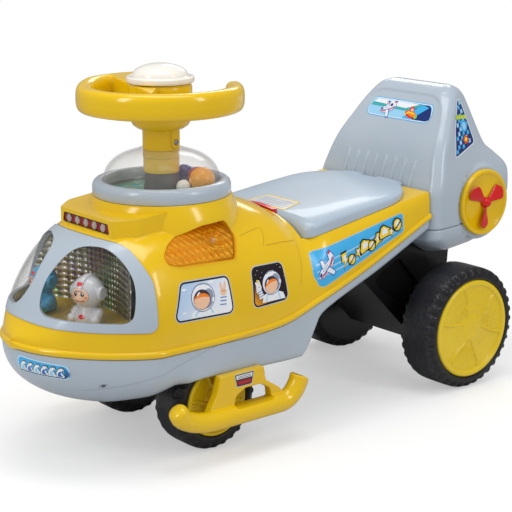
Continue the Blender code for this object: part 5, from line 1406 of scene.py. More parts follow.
@dataclass
class SteeringTop(Assembly):
    """Column, neck, C-shaped wheel with its wing and bowl, horn ring and horn button."""

    rim_outer: float = 0.116
    rim_width: float = 0.024
    rim_low: float = 0.4600
    rim_high: float = 0.4964
    tip: float = 66.0
    end: float = -188.0
    lift: float = 0.0048
    drum_radius: float = 0.044
    drum_top: float = 0.4985
    bowl: float = 0.4351
    column_radius: float = 0.0255
    collar_radius: float = 0.0238
    collar_low: float = 0.3481
    collar_top: float = 0.3747
    column_top: float = 0.4059
    horn_top: float = 0.525
    horn_radius: float = 0.040
    ring_radius: float = 0.047
    screw_turn: float = 13.0
    screw_level: float = 0.4181

    def build_wheel(self) -> Mesh:
        """The rim, the wing and the bowl as one softened moulding."""
        middle = self.rim_outer - self.rim_width / 2.0
        level = 0.5 * (self.rim_low + self.rim_high)
        section = superoval(self.rim_width / 2.0, (self.rim_high - self.rim_low) / 2.0, 2.9, 40)
        path = []
        for turn, scale in ((6.0, 0.20), (5.6, 0.45), (4.9, 0.66), (3.8, 0.84), (2.0, 0.96)):
            path.append((self.tip + turn, scale))
        path += [(self.tip + (self.end - self.tip) * k / 110.0, 1.0) for k in range(111)]
        stations = [((middle * cos(radians(d)), middle * sin(radians(d)), level), s)
                    for d, s in path]
        rim = sweep(stations, section, (0.0, 0.0, 1.0))
        for v in rim.verts:
            turn = degrees(atan2(v.co.y, v.co.x))
            past = min(max((-110.0 - turn if turn < 100.0 else 250.0 - turn) / 40.0, 0.0), 1.0)
            v.co.z += self.lift * past * max(v.co.z - level, 0.0) / (self.rim_high - level)
        bench = Workbench(rim).fit(Fit.JOIN, self.wing()).fit(Fit.JOIN, self.drum())
        bench.fit(Fit.CUT, rod(self.ring_radius + ROOM, self.drum_top, self.horn_top, steps=96))
        return bench.soften(0.0012, 7).take()

    def wing(self) -> Mesh:
        """The sloping plate between the rim's left end and the drum."""
        start, stop = Vector((-0.1065, -0.013)), Vector((0.064, -0.061))
        plan = [tuple(start), tuple(stop), (0.050, -0.046), (0.030, -0.026), (0.0, 0.030),
                (-0.022, 0.037), (-0.075, 0.030), (-0.100, 0.023)]
        low = self.rim_low + 0.008
        bm = prism(plan, low, self.rim_high - 0.0006)
        line = (stop - start).normalized()
        for v in bm.verts:
            if v.co.z > low + 0.001:
                behind = line.x * (v.co.y - start.y) - line.y * (v.co.x - start.x)
                v.co.z += 0.045 * behind + self.lift * (stop.x - v.co.x) / (stop.x - start.x)
        return bm

    def drum(self) -> Mesh:
        """The bowl and the drum under the horn."""
        bowl, radius = self.bowl, self.drum_radius
        return lathe([(0.0, bowl), (self.column_radius + 0.0055, bowl),
                      (radius - 0.0055, bowl + 0.005), (radius - 0.0015, bowl + 0.013),
                      (radius, bowl + 0.024), (radius, self.drum_top), (0.0, self.drum_top)], 120,
                      round_off=0.006)

    def build_horn(self) -> tuple[Mesh, Mesh]:
        """The ring with its rounded lip, and the domed button."""
        low = self.drum_top + GAP
        top = low + 0.009
        inner = self.horn_radius + ROOM
        radius = self.ring_radius
        ring = lathe([(inner, low), (radius - 0.0015, low), (radius, low + 0.0025),
                      (radius, top - 0.002), (radius - 0.0016, top - 0.0003), (inner + 0.003, top),
                      (inner, top - 0.001)], 120, round_off=0.0012)
        start = self.drum_top + 0.0036
        rise = self.horn_top - top
        dome = [(self.horn_radius * 0.97 * cos(t), top + rise * sin(t))
                for t in (pi / 2.0 * k / 22.0 for k in range(22))]
        side = [(0.0, start), (self.horn_radius, start), (self.horn_radius, top - 0.0005)]
        button = lathe(side + dome + [(0.0, self.horn_top)], 120)
        return ring, button

    def build_column(self) -> None:
        """Make the collar, the column with its step, the neck with its pad, and the screw."""
        r, bore = self.column_radius, FORM.shaft_bore
        low, top, hole, edge = self.collar_low, self.collar_top, bore + 0.0005, self.collar_radius
        collar = lathe([(hole, low), (edge + 0.0016, low), (edge + 0.0010, low + 0.006),
                        (edge, low + 0.012), (edge - 0.0006, top), (hole, top)], 96,
                       round_off=0.001)
        self.piece("floor_collar", collar, "steering", Plastic.COLLAR, "black_plastic",
                   "column_collar")
        foot = self.collar_top + GAP
        step = 0.5 * (foot + self.column_top) + 0.004
        tube = lathe([(bore, foot), (r - 0.0012, foot), (r - 0.0005, foot + 0.002),
                      (r - 0.0005, step - 0.0008), (r - 0.0014, step), (r - 0.0005, step + 0.0008),
                      (r, step + 0.0016), (r, self.column_top - 0.0006),
                      (r - 0.0006, self.column_top), (bore, self.column_top)], 96)
        self.piece("column_tube", tube, "steering", Plastic.YELLOW, "yellow_plastic",
                   "steering_column")
        low = self.column_top + GAP
        top = self.bowl - GAP
        neck = lathe([(0.0, 0.4304), (bore, 0.4304), (bore, low), (r - 0.0004, low),
                      (r + 0.0002, low + 0.0006), (r + 0.0002, top), (0.0, top)], 96)
        foot, half = low + 0.003, 0.008
        outline = rounded([(-half, foot), (half, foot), (half, top), (-half, top)],
                          [0.0078, 0.0078, 0.0005, 0.0005], 8)
        pad = prism(outline, 0.012, r + 0.0016, "YZ")
        neck = Workbench(neck).fit(Fit.JOIN, tilt(pad, self.screw_turn, "Z")).take()
        self.piece("neck_tube", neck, "steering", Plastic.YELLOW, "yellow_plastic", "steering_neck")
        self.piece("neck_screw", self.build_screw(), "steering", STEEL, "steel", "column_screw")

    def build_screw(self) -> Mesh:
        """Round head with a cross recess."""
        head = self.column_radius + 0.0019
        centre = (0.0, 0.0, self.screw_level)
        dome = [(0.0042 * cos(t), head + 0.0006 + 0.0019 * sin(t))
                for t in (pi / 2.0 * k / 8.0 for k in range(8))]
        screw = lathe([(0.0, 0.0145), (0.0018, 0.0145), (0.0018, head), (0.0042, head)] + dome
                      + [(0.0, head + 0.0025)], 40, centre, "X")
        bench = Workbench(screw)
        for half_y, half_z in ((0.0024, 0.0005), (0.0005, 0.0024)):
            slot = block((head + 0.0010, head + 0.01), (-half_y, half_y),
                         (self.screw_level - half_z, self.screw_level + half_z))
            bench.fit(Fit.CUT, slot)
        return tilt(bench.take(), self.screw_turn, "Z")

    def build(self) -> None:
        """Make every piece above the dome."""
        self.build_column()
        self.piece("rim_moulding", self.build_wheel(), "steering", Plastic.YELLOW, "yellow_plastic",
                   "steering_wheel", 70.0)
        ring, button = self.build_horn()
        self.piece("horn_lip", ring, "steering", Plastic.CREAM, "white_plastic", "horn_ring", 60.0)
        self.piece("horn_cap", button, "horn_button", Plastic.CREAM, "white_plastic",
                   "horn_button", 60.0)


# Dome

@dataclass
class BallDome(Assembly):
    """Grey ring, picture floor, clear dome with its sleeve, and four balls."""

    ring_radius: float = 0.0966
    ring_top: float = 0.3662
    dome_radius: float = 0.0814
    dome_base: float = 0.3601
    dome_rise: float = 0.0484
    dome_power: float = 2.4
    wall: float = 0.002
    flange: float = 0.0075
    sleeve_radius: float = 0.0310
    sleeve_top: float = 0.4081
    floor_thick: float = 0.0025
    ball_radius: float = 0.0180

    def dome_arc(self, radius: float, top_radius: float, rise: float, steps: int) -> list[Point]:
        """Points up the dome's side, from its foot to the sleeve."""
        crest = acos((top_radius / radius)**(self.dome_power / 2.0))
        share = 2.0 / self.dome_power
        turns = [crest * k / steps for k in range(steps + 1)]
        return [(radius * cos(t)**share, self.dome_base + rise * sin(t)**share) for t in turns]

    def build_dome(self) -> Mesh:
        """The clear dome as a thin shell."""
        flange_low = FORM.pedestal_top + GAP + self.floor_thick + GAP
        flange_top = flange_low + self.wall
        rim = self.dome_radius + self.flange
        inside = self.dome_radius - self.wall
        sleeve = self.sleeve_radius
        outer = self.dome_arc(self.dome_radius, sleeve, self.dome_rise, 36)
        inner = self.dome_arc(inside, sleeve - self.wall, self.dome_rise - self.wall, 36)
        profile = [(rim, flange_low), (rim, flange_top), (self.dome_radius, flange_top)] + outer
        profile += [(sleeve, self.sleeve_top - 0.0004), (sleeve - 0.0004, self.sleeve_top),
                    (sleeve - self.wall, self.sleeve_top)] + inner[::-1] + [(inside, flange_low)]
        return lathe(profile, 144)

    def build_ring(self) -> Mesh:
        """The grey ring with its rolled shoulder."""
        low = FORM.pedestal_top + GAP
        rim = self.dome_radius + self.flange
        bore = self.dome_radius + GAP
        step = low + self.floor_thick + GAP + self.wall + GAP
        r, top = self.ring_radius, self.ring_top
        return lathe([(rim + GAP, low), (r - 0.001, low), (r, low + 0.001), (r, top - 0.0085),
                      (r - 0.0015, top - 0.0040), (r - 0.0045, top - 0.0012), (r - 0.009, top),
                      (bore + 0.001, top - 0.0008), (bore, top - 0.002), (bore, step),
                      (rim + GAP, step)], 144)

    def build_ball(self, radius: float, spot: Point, ridges: int) -> Mesh:
        """A ball with sunk lines between its segments."""
        level = FORM.pedestal_top + GAP + self.floor_thick + GAP + radius
        bm = globe((0.0, 0.0, 0.0), (radius, radius, radius), 96)
        for v in bm.verts:
            turn = atan2(v.co.y, v.co.x)
            line = abs(sin(turn * ridges / 2.0)) if ridges else 1.0
            v.co *= 1.0 - 0.030 * (1.0 - min(line * 2.4, 1.0)) * (1.0 - (v.co.z / radius)**6)
        return shift(tilt(tilt(bm, 62.0, "X"), 35.0, "Z"), (*spot, level))

    def build_picture(self) -> Mesh:
        """Raised spots of a green and blue picture on the dome's floor."""
        level = FORM.pedestal_top + GAP + self.floor_thick
        parts = []
        for k in range(14):
            turn = radians(25.7 * k + (7 if k % 2 else 0))
            far = 0.052 + 0.014 * (k % 3 - 1)
            spot = (far * cos(turn), far * sin(turn), level)
            parts.append(lathe([(0.0, 0.00002), (0.011 - 0.002 * (k % 3), 0.00002),
                                (0.0105 - 0.002 * (k % 3), 0.00022), (0.0, 0.00022)], 7, spot))
        return merged(*parts)

    def build(self) -> None:
        """Make the dome and all that is under it."""
        self.piece("dome_shell", self.build_dome(), "car", CLEAR_DOME, "clear_plastic",
                   "clear_dome", 60.0)
        self.piece("dome_collar", self.build_ring(), "car", Plastic.GREY, "grey_plastic",
                   "dome_ring", 50.0)
        self.piece("floor_picture", self.build_picture(), "car", Ink.TEAL, "green_plastic")
        for colour, share, spot, finish, slot, ridges in (
                ("orange", 1.0, (0.0507, 0.0320), Plastic.ORANGE, "orange_plastic", 8),
                ("red", 0.83, (0.0205, 0.0475), Plastic.RED, "red_plastic", 6),
                ("white", 0.55, (0.0409, 0.0070), Plastic.CREAM, "white_plastic", 6),
                ("blue", 0.78, (-0.0145, 0.0500), Plastic.DEEP_BLUE, "blue_plastic", 6)):
            ball = self.build_ball(self.ball_radius * share, spot, ridges)
            self.piece(f"{colour}_ball", ball, "car", finish, slot, f"ball_{colour}", 60.0)


# Seat

@dataclass
class Seat(Assembly):
    """Hinged lid with its rolled edge, and the red latch in front of it."""

    front: float = 0.171
    hinge: float = 0.405
    half: float = 0.117
    crown: float = 0.026
    hinge_height: float = 0.0051
    hinge_round: float = 0.0046
    wall: float = 0.003
    latch_top: float = 0.3060
    tab_half: float = 0.016

    def half_width(self, y: float) -> float:
        """Half width of the lid at a place."""
        f, h, w = self.front, self.hinge, self.half
        return follow([(f, w - 0.010), (f + 0.004, w - 0.005), (f + 0.014, w - 0.001), (0.200, w),
                       (h - 0.075, w - 0.001), (h - 0.050, w - 0.006), (h - 0.027, w - 0.020),
                       (h, w - 0.053)], y)

    def height(self, y: float) -> float:
        """Height of the lid's top above the deck, along its middle."""
        f, h, c = self.front, self.hinge, self.crown
        return follow([(f, c - 0.008), (f + 0.004, c - 0.003), (f + 0.014, c),
                       (h - 0.145, c - 0.003), (h - 0.065, c - 0.009),
                       (h, self.hinge_height + self.hinge_round)], y)

    def ring(self, y: float, shrink: float, low: float, high: float, steps: int = 30) -> Ring:
        """One cross-section of the lid, square at the foot and rounded over the top."""
        side = self.half_width(y) - shrink
        points = [(side, y, low), (side, y, low + (high - low) * 0.12)]
        for k in range(steps + 1):
            t = pi / 2.0 * k / steps
            rise = 0.25 + 0.75 * sin(t)**0.5
            points.append((side * cos(t)**0.5 if k < steps else 0.0, y, low + (high - low) * rise))
        return BodyForm.whole([(0.0, y, low)] + points)

    def build_lid(self) -> Mesh:
        """The lid as a shell with its latch bay and hinge notch."""
        foot = self.hinge_height - self.hinge_round
        places = [self.front + 0.0012 * k for k in range(12)]
        places += [self.front + 0.0144 + (self.hinge - self.front - 0.0144) * k / 56.0
                   for k in range(56)]
        rings = [self.ring(y, 0.0, FORM.deck(y) + foot, FORM.deck(y) + self.height(y))
                 for y in places]
        axis = FORM.deck(self.hinge) + self.hinge_height
        for turn in (radians(d) for d in (0.0, 18.0, 35.0, 50.0, 65.0, 78.0, 88.0)):
            y = self.hinge + self.hinge_round * sin(turn)
            reach = self.hinge_round * cos(turn)
            rings.append(self.ring(y, 0.0, axis - reach, axis + reach))
        hollow = [self.ring(y, self.wall, FORM.deck(y) - 0.010,
                            FORM.deck(y) + self.height(y) - self.wall, 16)
                  for y in (self.front + self.wall + (self.hinge - self.front - 0.024) * k / 40.0
                            for k in range(41))]
        bench = Workbench(skin(rings)).fit(Fit.CUT, skin(hollow))
        notch = self.tab_half + ROOM
        bench.fit(Fit.CUT, block((-notch, notch), (self.hinge - 0.0076, self.hinge + 0.02),
                                 (0.2, 0.4)))
        bay = FORM.latch_half + 2.0 * ROOM
        rear = FORM.latch_front + FORM.latch_deep + 2.0 * ROOM
        wall = block((-bay - self.wall, bay + self.wall), (rear - 0.004, rear + self.wall),
                     (0.2768, 0.2935))
        plan = rounded([(-bay, 0.15), (bay, 0.15), (bay, rear), (-bay, rear)], 0.002, 4)
        return bench.fit(Fit.JOIN, wall).fit(Fit.CUT, prism(plan, 0.2, 0.4)).take()

    def build_latch(self) -> Mesh:
        """The latch bar with its arched, rounded top and finger groove."""
        x, top = FORM.latch_half, self.latch_top
        shelf = FORM.deck(FORM.latch_front) - 0.0033
        arch = [(x * (1.0 - k / 12.0), top - 0.0035 * abs(1.0 - k / 12.0)**2.2) for k in range(25)]
        outline = rounded([(-x, shelf - 0.001), (x, shelf - 0.001)] + arch, 0.0)
        bm = prism(outline, FORM.latch_front, FORM.latch_front + FORM.latch_deep, "XZ")
        bench = Workbench(bm)
        foot = block((-x - 0.0025, x + 0.0025),
                     (FORM.latch_front, FORM.latch_front + FORM.latch_deep + 0.0025),
                     (shelf - 0.003, shelf))
        bench.fit(Fit.JOIN, foot)
        groove = lathe([(0.0, -0.020), (0.004, -0.018), (0.004, 0.018), (0.0, 0.020)], 32,
                       (0.0, FORM.latch_front - 0.0028, top - 0.009), "X")
        bench.fit(Fit.CUT, groove)
        return bench.soften(0.0007, 6).take()

    def build(self) -> None:
        """Make the lid and the latch."""
        self.piece("lid_moulding", self.build_lid(), "seat_lid", Plastic.SEAT_GREY, "grey_plastic",
                   "seat_lid", 45.0)
        self.piece("latch_bar", self.build_latch(), "seat_latch", Plastic.RED, "red_plastic",
                   "seat_latch", 60.0)


# Backrest

@dataclass
class Backrest(Assembly):
    """Grey backrest with a ribbed panel, round engine housings, yellow discs and propellers."""

    low: float = 0.202
    seam: float = 0.250
    top: float = 0.458
    rear: float = 0.609
    wide: float = 0.134
    rotor_y: float = 0.528
    rotor_z: float = 0.279
    engine_radius: float = 0.060
    engine_half: float = 0.122
    disc_radius: float = 0.052
    disc_thick: float = 0.007
    dish: float = 0.0032
    panel_deep: float = 0.0024
    rib_pitch: float = 0.021

    def front_at(self, z: float) -> float:
        """Where the front face stands at a height."""
        f = FORM.tail + GAP
        return follow([(self.low, f + 0.045), (0.210, f + 0.034), (0.222, f + 0.014), (0.235, f),
                       (0.300, f), (0.330, f + 0.008), (0.363, f + 0.020), (0.402, f + 0.044),
                       (0.434, f + 0.065), (0.449, f + 0.077), (self.top, f + 0.090)], z)

    def rear_at(self, z: float) -> float:
        """Where the rear face stands at a height."""
        f = self.rear
        return follow([(self.low, f - 0.084), (0.210, f - 0.066), (0.224, f - 0.044),
                       (0.250, f - 0.018), (0.295, f), (0.320, f), (0.330, f - 0.004),
                       (0.352, f - 0.029), (0.366, f - 0.047), (0.406, f - 0.061),
                       (0.439, f - 0.071), (self.top, f - 0.088)], z)

    def width_at(self, z: float) -> float:
        """Half width of the front face at a height."""
        w = self.wide
        return follow([(self.low, w - 0.042), (0.210, w - 0.020), (0.222, w - 0.009), (0.240, w),
                       (0.300, w), (0.363, w - 0.012), (0.402, w - 0.025), (0.434, w - 0.038),
                       (0.449, w - 0.049), (self.top, w - 0.068)], z)

    def ring(self, z: float) -> Ring:
        """One level cross-section, narrower at the rear."""
        front, rear, wide = self.front_at(z), self.rear_at(z), self.width_at(z)
        depth = rear - front
        narrow = wide - min(0.020, 0.3 * depth)
        near, far = min(0.018, 0.4 * depth), min(0.024, 0.45 * depth)
        plan = rounded([(-wide, front), (wide, front), (narrow, rear), (-narrow, rear)],
                       [near, near, far, far], 10)
        over = max(z - (self.top - 0.006), 0.0)
        plan = inset(plan, min(0.006 - sqrt(max(0.006**2 - over**2, 0.0)), 0.0052))
        return [(x, y, z) for x, y in plan]

    def whole_form(self) -> Mesh:
        """The backrest's full form with both housings."""
        heights = [self.low + (self.top - self.low) * k / 90.0 for k in range(91)]
        bench = Workbench(skin([self.ring(z) for z in heights]))
        axis = (0.0, self.rotor_y, self.rotor_z)
        half, r = self.engine_half, self.engine_radius
        for _, sign in SIDES:
            bench.fit(Fit.CUT, on_side(rod(r, half - 0.003, 0.16, axis, "X", 120), sign))
        drum = lathe([(0.0, -half), (r - 0.004, -half), (r, -half + 0.004), (r, half - 0.004),
                      (r - 0.004, half), (0.0, half)], 120, axis, "X")
        return bench.fit(Fit.JOIN, drum).take()

    def panel(self) -> Mesh:
        """The space of the sunk panel on the front."""
        ahead = FORM.tail - 0.05
        wide = self.wide - 0.016
        keys = [(0.262, wide - 0.006), (0.268, wide), (0.300, wide), (0.350, wide - 0.009),
                (0.402, wide - 0.024), (0.425, wide - 0.035), (0.437, wide - 0.048),
                (0.443, wide - 0.064)]
        rings = []
        for k in range(41):
            z = 0.262 + (0.443 - 0.262) * k / 40.0
            w = follow(keys, z)
            face = self.front_at(z) + self.panel_deep
            rings.append([(-w, ahead, z), (w, ahead, z), (w, face, z), (-w, face, z)])
        return skin(rings)

    def rib(self, x: float) -> Mesh:
        """One rounded rib that fades out at both ends."""
        rings = []
        for k in range(25):
            z = 0.276 + (0.352 - 0.276) * k / 24.0
            proud = -0.0006 + 0.0034 * max(sin(pi * k / 24.0), 0.0)**0.35
            face = self.front_at(z) + self.panel_deep
            section = [(x + 0.0045 * cos(t), face + 0.0012 - (proud + 0.0012) * sin(t), z)
                       for t in (pi * j / 10.0 for j in range(11))]
            rings.append(section)
        return skin(rings)

    def build_shells(self) -> None:
        """Make the upper and the lower moulding."""
        far = self.rear + 0.05
        bench = Workbench(self.whole_form())
        bench.fit(Fit.KEEP, block((-0.2, 0.2), (FORM.tail - 0.05, far), (self.seam + GAP, 0.60)))
        bench.fit(Fit.CUT, self.panel())
        bench.soften(0.0016, 6)
        for k in range(8):
            bench.fit(Fit.JOIN, self.rib((k - 3.5) * self.rib_pitch))
        upper = bench.take()
        self.piece("backrest_moulding", upper, "car", Plastic.GREY, "grey_plastic",
                   "backrest_shell", 70.0)
        lower = Workbench(self.whole_form())
        lower.fit(Fit.KEEP, block((-0.2, 0.2), (FORM.tail - 0.05, far), (0.10, self.seam)))
        self.piece("backrest_foot", lower.soften(0.0018, 4).take(), "car", Plastic.GREY,
                   "grey_plastic", "backrest_base", 70.0)

    def blade(self, turn: float) -> Mesh:
        """One blade: waisted at the root, wide at its rounded tip, twisted along its length."""
        rings = []
        for k in range(21):
            s = k / 20.0
            reach = 0.004 + 0.0368 * s
            half = 0.0042 + 0.0088 * ease(0.05, 0.80, s)
            half *= sqrt(max(1.0 - ease(0.72, 1.0, s)**2 * 0.93, 0.02))
            pitch = radians(34.0 - 20.0 * s)
            thick = 0.0011 - 0.0003 * s
            rings.append([(b * cos(pitch) + a * sin(pitch) * 0.8,
                           a * cos(pitch) - b * sin(pitch), reach)
                          for a, b in superoval(half, thick, 2.2, 20)])
        return tilt(skin(rings), turn, "X")

    def build_rotor(self, name: str, sign: float) -> None:
        """Make the disc and the propeller of one side."""
        seat = self.engine_half + GAP
        rim = seat + self.disc_thick
        face = rim - self.dish
        r = self.disc_radius
        centre = (0.0, self.rotor_y, self.rotor_z)
        disc = lathe([(0.0, seat), (r, seat), (r, rim - 0.002), (r - 0.0012, rim - 0.0004),
                      (r - 0.0022, rim), (r - 0.0045, rim), (r - 0.0060, rim - 0.0006),
                      (r - 0.0072, face + 0.0010), (r - 0.0085, face), (0.0128, face),
                      (0.0118, face + 0.0004), (0.0, face + 0.0004)], 120, centre, "X")
        self.piece(f"engine_disc_{name}", on_side(disc, sign), "car", Plastic.YELLOW,
                   "yellow_plastic", f"rotor_disc_{name}", 50.0)
        back = face + 0.0008
        nose = [(0.0085, 0.0), (0.0085, 0.0035), (0.0078, 0.0062), (0.0060, 0.0092),
                (0.0036, 0.0114), (0.0, 0.0122)]
        hub = lathe([(0.0, 0.0)] + nose, 48, (0.0, 0.0, 0.0), "X")
        bench = Workbench(hub)
        for k in range(3):
            blade = self.blade(120.0 * k + 176.0)
            shift(blade, (0.0044, 0.0, 0.0))
            bench.fit(Fit.JOIN, blade)
        bm = bench.soften(0.0006, 5).take()
        low = min(v.co.x for v in bm.verts)
        shift(bm, (back - low, self.rotor_y, self.rotor_z))
        self.piece(f"spinner_{name}", on_side(bm, sign), f"propeller_{name}", Plastic.RED,
                   "red_plastic", f"propeller_{name}", 70.0)

    def build(self) -> None:
        """Make the whole backrest."""
        self.build_shells()
        for name, sign in SIDES:
            self.build_rotor(name, sign)


# Foot rests

@dataclass
class FootRest(Assembly):
    """Round skid with curled ends on an arched bracket, one under each flank."""

    x: float = 0.159
    z: float = 0.060
    radius: float = 0.014

    def build(self) -> None:
        """Make both foot rests."""
        for name, sign in SIDES:
            self.piece(f"skid_{name}", self.shape(sign), "car", Plastic.YELLOW, "yellow_plastic",
                       f"foot_rest_{name}", 70.0)

    def shape(self, sign: float) -> Mesh:
        """The skid and its bracket as one softened moulding."""
        x, z = self.x, self.z
        path = [((x, -0.0985, 0.0912), 0.30), ((x, -0.0980, 0.0905), 0.60),
                ((x, -0.0970, 0.0893), 0.82), ((x, -0.0955, 0.0872), 0.95),
                ((x, -0.0930, 0.0840), 1.0)]
        path += [((x, -0.028 - 0.070 * sin(t), z + 0.033 * (1.0 - cos(t))), 1.0)
                 for t in (radians(62.0 - 62.0 * k / 14.0) for k in range(15))]
        path += [((x, 0.082 + 0.038 * sin(t), z + 0.046 * (1.0 - cos(t))), 1.0)
                 for t in (radians(74.0 * k / 16.0) for k in range(17))]
        skid = sweep(path, superoval(self.radius, self.radius, 2.0, 36), (1.0, 0.0, 0.0))
        bench = Workbench(skid)
        bench.fit(Fit.CUT, prism([(0.095, 0.150), (0.160, 0.150), (0.160, 0.060), (0.100, 0.108)],
                                 0.10, 0.20, "YZ"))
        side = rounded([(-0.046, z), (0.090, z), (0.086, 0.080), (0.058, 0.098), (0.055, 0.1185),
                        (-0.020, 0.1185), (-0.028, 0.092)],
                       [0.002, 0.002, 0.010, 0.010, 0.002, 0.002, 0.020], 8)
        bench.fit(Fit.JOIN, prism(side, 0.1435, 0.1575, "YZ"))
        low = z + self.radius * 0.75
        window = rounded([(0.002, low), (0.068, low), (0.066, 0.084), (0.050, 0.094),
                          (0.022, 0.094), (0.006, 0.086)],
                         [0.001, 0.001, 0.006, 0.006, 0.008, 0.006], 8)
        bench.fit(Fit.CUT, prism(window, 0.10, 0.20, "YZ"))
        bench.fit(Fit.CUT, FORM.hull(-GAP))
        return on_side(bench.soften(0.0013, 5).take(), sign)


# Cabin figures and light bar

@dataclass(frozen=True)
class FigureSize:
    """Place and build of one cabin figure."""

    spot: tuple[float, float]
    head: float
    neck: float
    turn: float


@dataclass
class CabinFigure(Assembly):
    """Little seated pilot with a helmet ridge, ear pads, round hands and a painted smile."""

    name: str
    size: FigureSize
    finish: Plastic
    slot_name: str
    floor: float = 0.1963

    def place(self, bm: Mesh) -> Mesh:
        """Turn a mesh made at the axis to face the figure's way and set it at its spot."""
        return shift(tilt(bm, self.size.turn, "Z"), (*self.size.spot, 0.0))

    def shape(self) -> Mesh:
        """The whole figure as one softened moulding."""
        r, neck, base = self.size.head, self.size.neck, self.floor
        head_z = neck + r * 0.92
        body = lathe([(0.0, base), (0.0160, base), (0.0185, base + 0.004), (0.0180, base + 0.011),
                      (0.0145, neck - 0.004), (0.0120, neck + 0.003), (0.0, neck + 0.005)], 64,
                     round_off=0.002)
        bench = Workbench(body)
        bench.fit(Fit.JOIN, globe((0.0, 0.0, head_z), (r, r * 0.97, r * 0.97), 64))
        band = lathe([(r - 0.003, -0.0050), (r + 0.0012, -0.0046), (r + 0.0020, 0.0),
                      (r + 0.0012, 0.0046), (r - 0.003, 0.0050)], 64, (0.0, 0.0, head_z), "X",
                      0.001)
        front = block((-0.1, 0.1), (-0.1, -0.006), (head_z - 0.1, head_z + 0.006))
        bench.fit(Fit.JOIN, Workbench(band).fit(Fit.CUT, front).take())
        for _, sign in SIDES:
            pad = lathe([(0.0, r * 0.70), (r * 0.40, r * 0.70), (r * 0.42, r * 1.00),
                         (r * 0.34, r * 1.08), (r * 0.20, r * 1.05), (0.0, r * 1.05)], 48,
                         (0.0, 0.0, head_z), "X", 0.0006)
            bench.fit(Fit.JOIN, on_side(pad, sign))
            arm = globe((0.0, 0.0, 0.0), (0.0072, 0.0072, 0.0110), 32)
            tilt(arm, -52.0, "X")
            shift(arm, (sign * 0.0168, -0.0040, base + 0.0145))
            bench.fit(Fit.JOIN, arm)
            hand = globe((sign * 0.0180, -0.0125, base + 0.0085), (0.0068, 0.0068, 0.0066), 32)
            bench.fit(Fit.JOIN, hand)
        return self.place(bench.soften(0.0007, 4).take())

    def build(self) -> None:
        """Make the figure."""
        self.piece(f"{self.name}_toy", self.shape(), "car", self.finish, self.slot_name,
                   f"{self.name}_figure", 75.0)

    def paint(self, marks: Sequence[Mark], surface: BVHTree) -> None:
        """Paint marks on the head and the chest, in metres over the figure's front."""
        turn = radians(self.size.turn)
        across = Vector((cos(turn), sin(turn), 0.0))
        ahead = Vector((sin(turn), -cos(turn), 0.0))
        foot = Vector((*self.size.spot, 0.0))

        def lay(u: float, v: float) -> tuple[Vector, Vector]:
            """Ray from the front towards the figure."""
            return foot + across * u + ahead * 0.06 + Vector((0.0, 0.0, v)), -ahead

        label = Sticker(surface, lay, lift=0.00006, pitch=0.0010)
        label.motif(marks)
        label.piece_out(f"{self.name}_paint", "car", self.slot_name)


@dataclass
class LightBar(Assembly):
    """Dark red bar with a black surround and five round lamps over pressed grids."""

    face: float = -0.1262
    back: float = -0.1153
    pitch: float = 0.0205
    lamp_radius: float = 0.0058

    def build(self) -> None:
        """Make the bar, its surround and the lamps."""
        half, top = FORM.bar_half - GAP, FORM.bar_half - 0.0033
        low, high = FORM.bar_low + GAP, FORM.bar_high - GAP
        outline = rounded([(-half, low), (half, low), (top, high), (-top, high)], 0.0028, 6)
        bar = prism(outline, self.face, self.back, "XZ")
        self.piece("bar_moulding", bar, "car", Plastic.DARK_RED, "red_plastic", "light_bar", 50.0)
        rim = prism(outline, self.face - 0.0006, self.face - 0.00005, "XZ")
        field = prism(inset(outline, 0.0013), self.face - 0.01, self.back, "XZ")
        rim = Workbench(rim).fit(Fit.CUT, field).take()
        self.piece("bar_surround", rim, "car", Plastic.BLACK, "black_plastic")
        middle = 0.5 * (FORM.bar_low + FORM.bar_high)
        for k in range(5):
            r = self.lamp_radius
            dome = [(r * 0.82 * cos(t), 0.0009 + 0.0010 * sin(t))
                    for t in (pi / 2.0 * j / 8.0 for j in range(8))]
            side = [(0.0, 0.0), (r, 0.0), (r, 0.0008), (r * 0.90, 0.0013), (r * 0.84, 0.0008)]
            lamp = lathe(side + dome + [(0.0, 0.0019)], 48)
            tilt(lamp, 90.0, "X")
            across = (k - 2) * self.pitch
            shift(lamp, (across, self.face - GAP, middle))
            self.piece(f"bar_lamp_{k + 1}", lamp, "car", GRID_LAMP, "white_plastic",
                       f"light_bulb_{k + 1}", 50.0)


# Labels

def oval_mark(u: float, v: float, half_u: float, half_v: float, lean: float = 0.0,
              start: float = 0.0, end: float = 360.0) -> list[Point]:
    """An oval, or a slice of one, in label units, leaning by an angle in degrees."""
    c, s = cos(radians(lean)), sin(radians(lean))
    steps = 28
    points = []
    for k in range(steps + (0 if end - start >= 360.0 else 1)):
        t = radians(start + (end - start) * k / steps)
        a, b = half_u * cos(t), half_v * sin(t)
        points.append((u + a * c - b * s, v + a * s + b * c))
    return points


def stroke(points: Sequence[Point], width: float) -> list[Point]:
    """A line of even width along points."""
    left, right = [], []
    for i, here in enumerate(points):
        ahead = Vector(points[min(i + 1, len(points) - 1)]) - Vector(points[max(i - 1, 0)])
        side = Vector((-ahead.y, ahead.x)).normalized() * width / 2.0
        left.append(tuple(Vector(here) + side))
        right.append(tuple(Vector(here) - side))
    return left + right[::-1]


def moved(outline: Sequence[Point], u: float, v: float, scale: float = 1.0,
          lean: float = 0.0) -> list[Point]:
    """An outline scaled, leant by an angle in degrees and moved."""
    c, s = cos(radians(lean)) * scale, sin(radians(lean)) * scale
    return [(u + a * c - b * s, v + a * s + b * c) for a, b in outline]


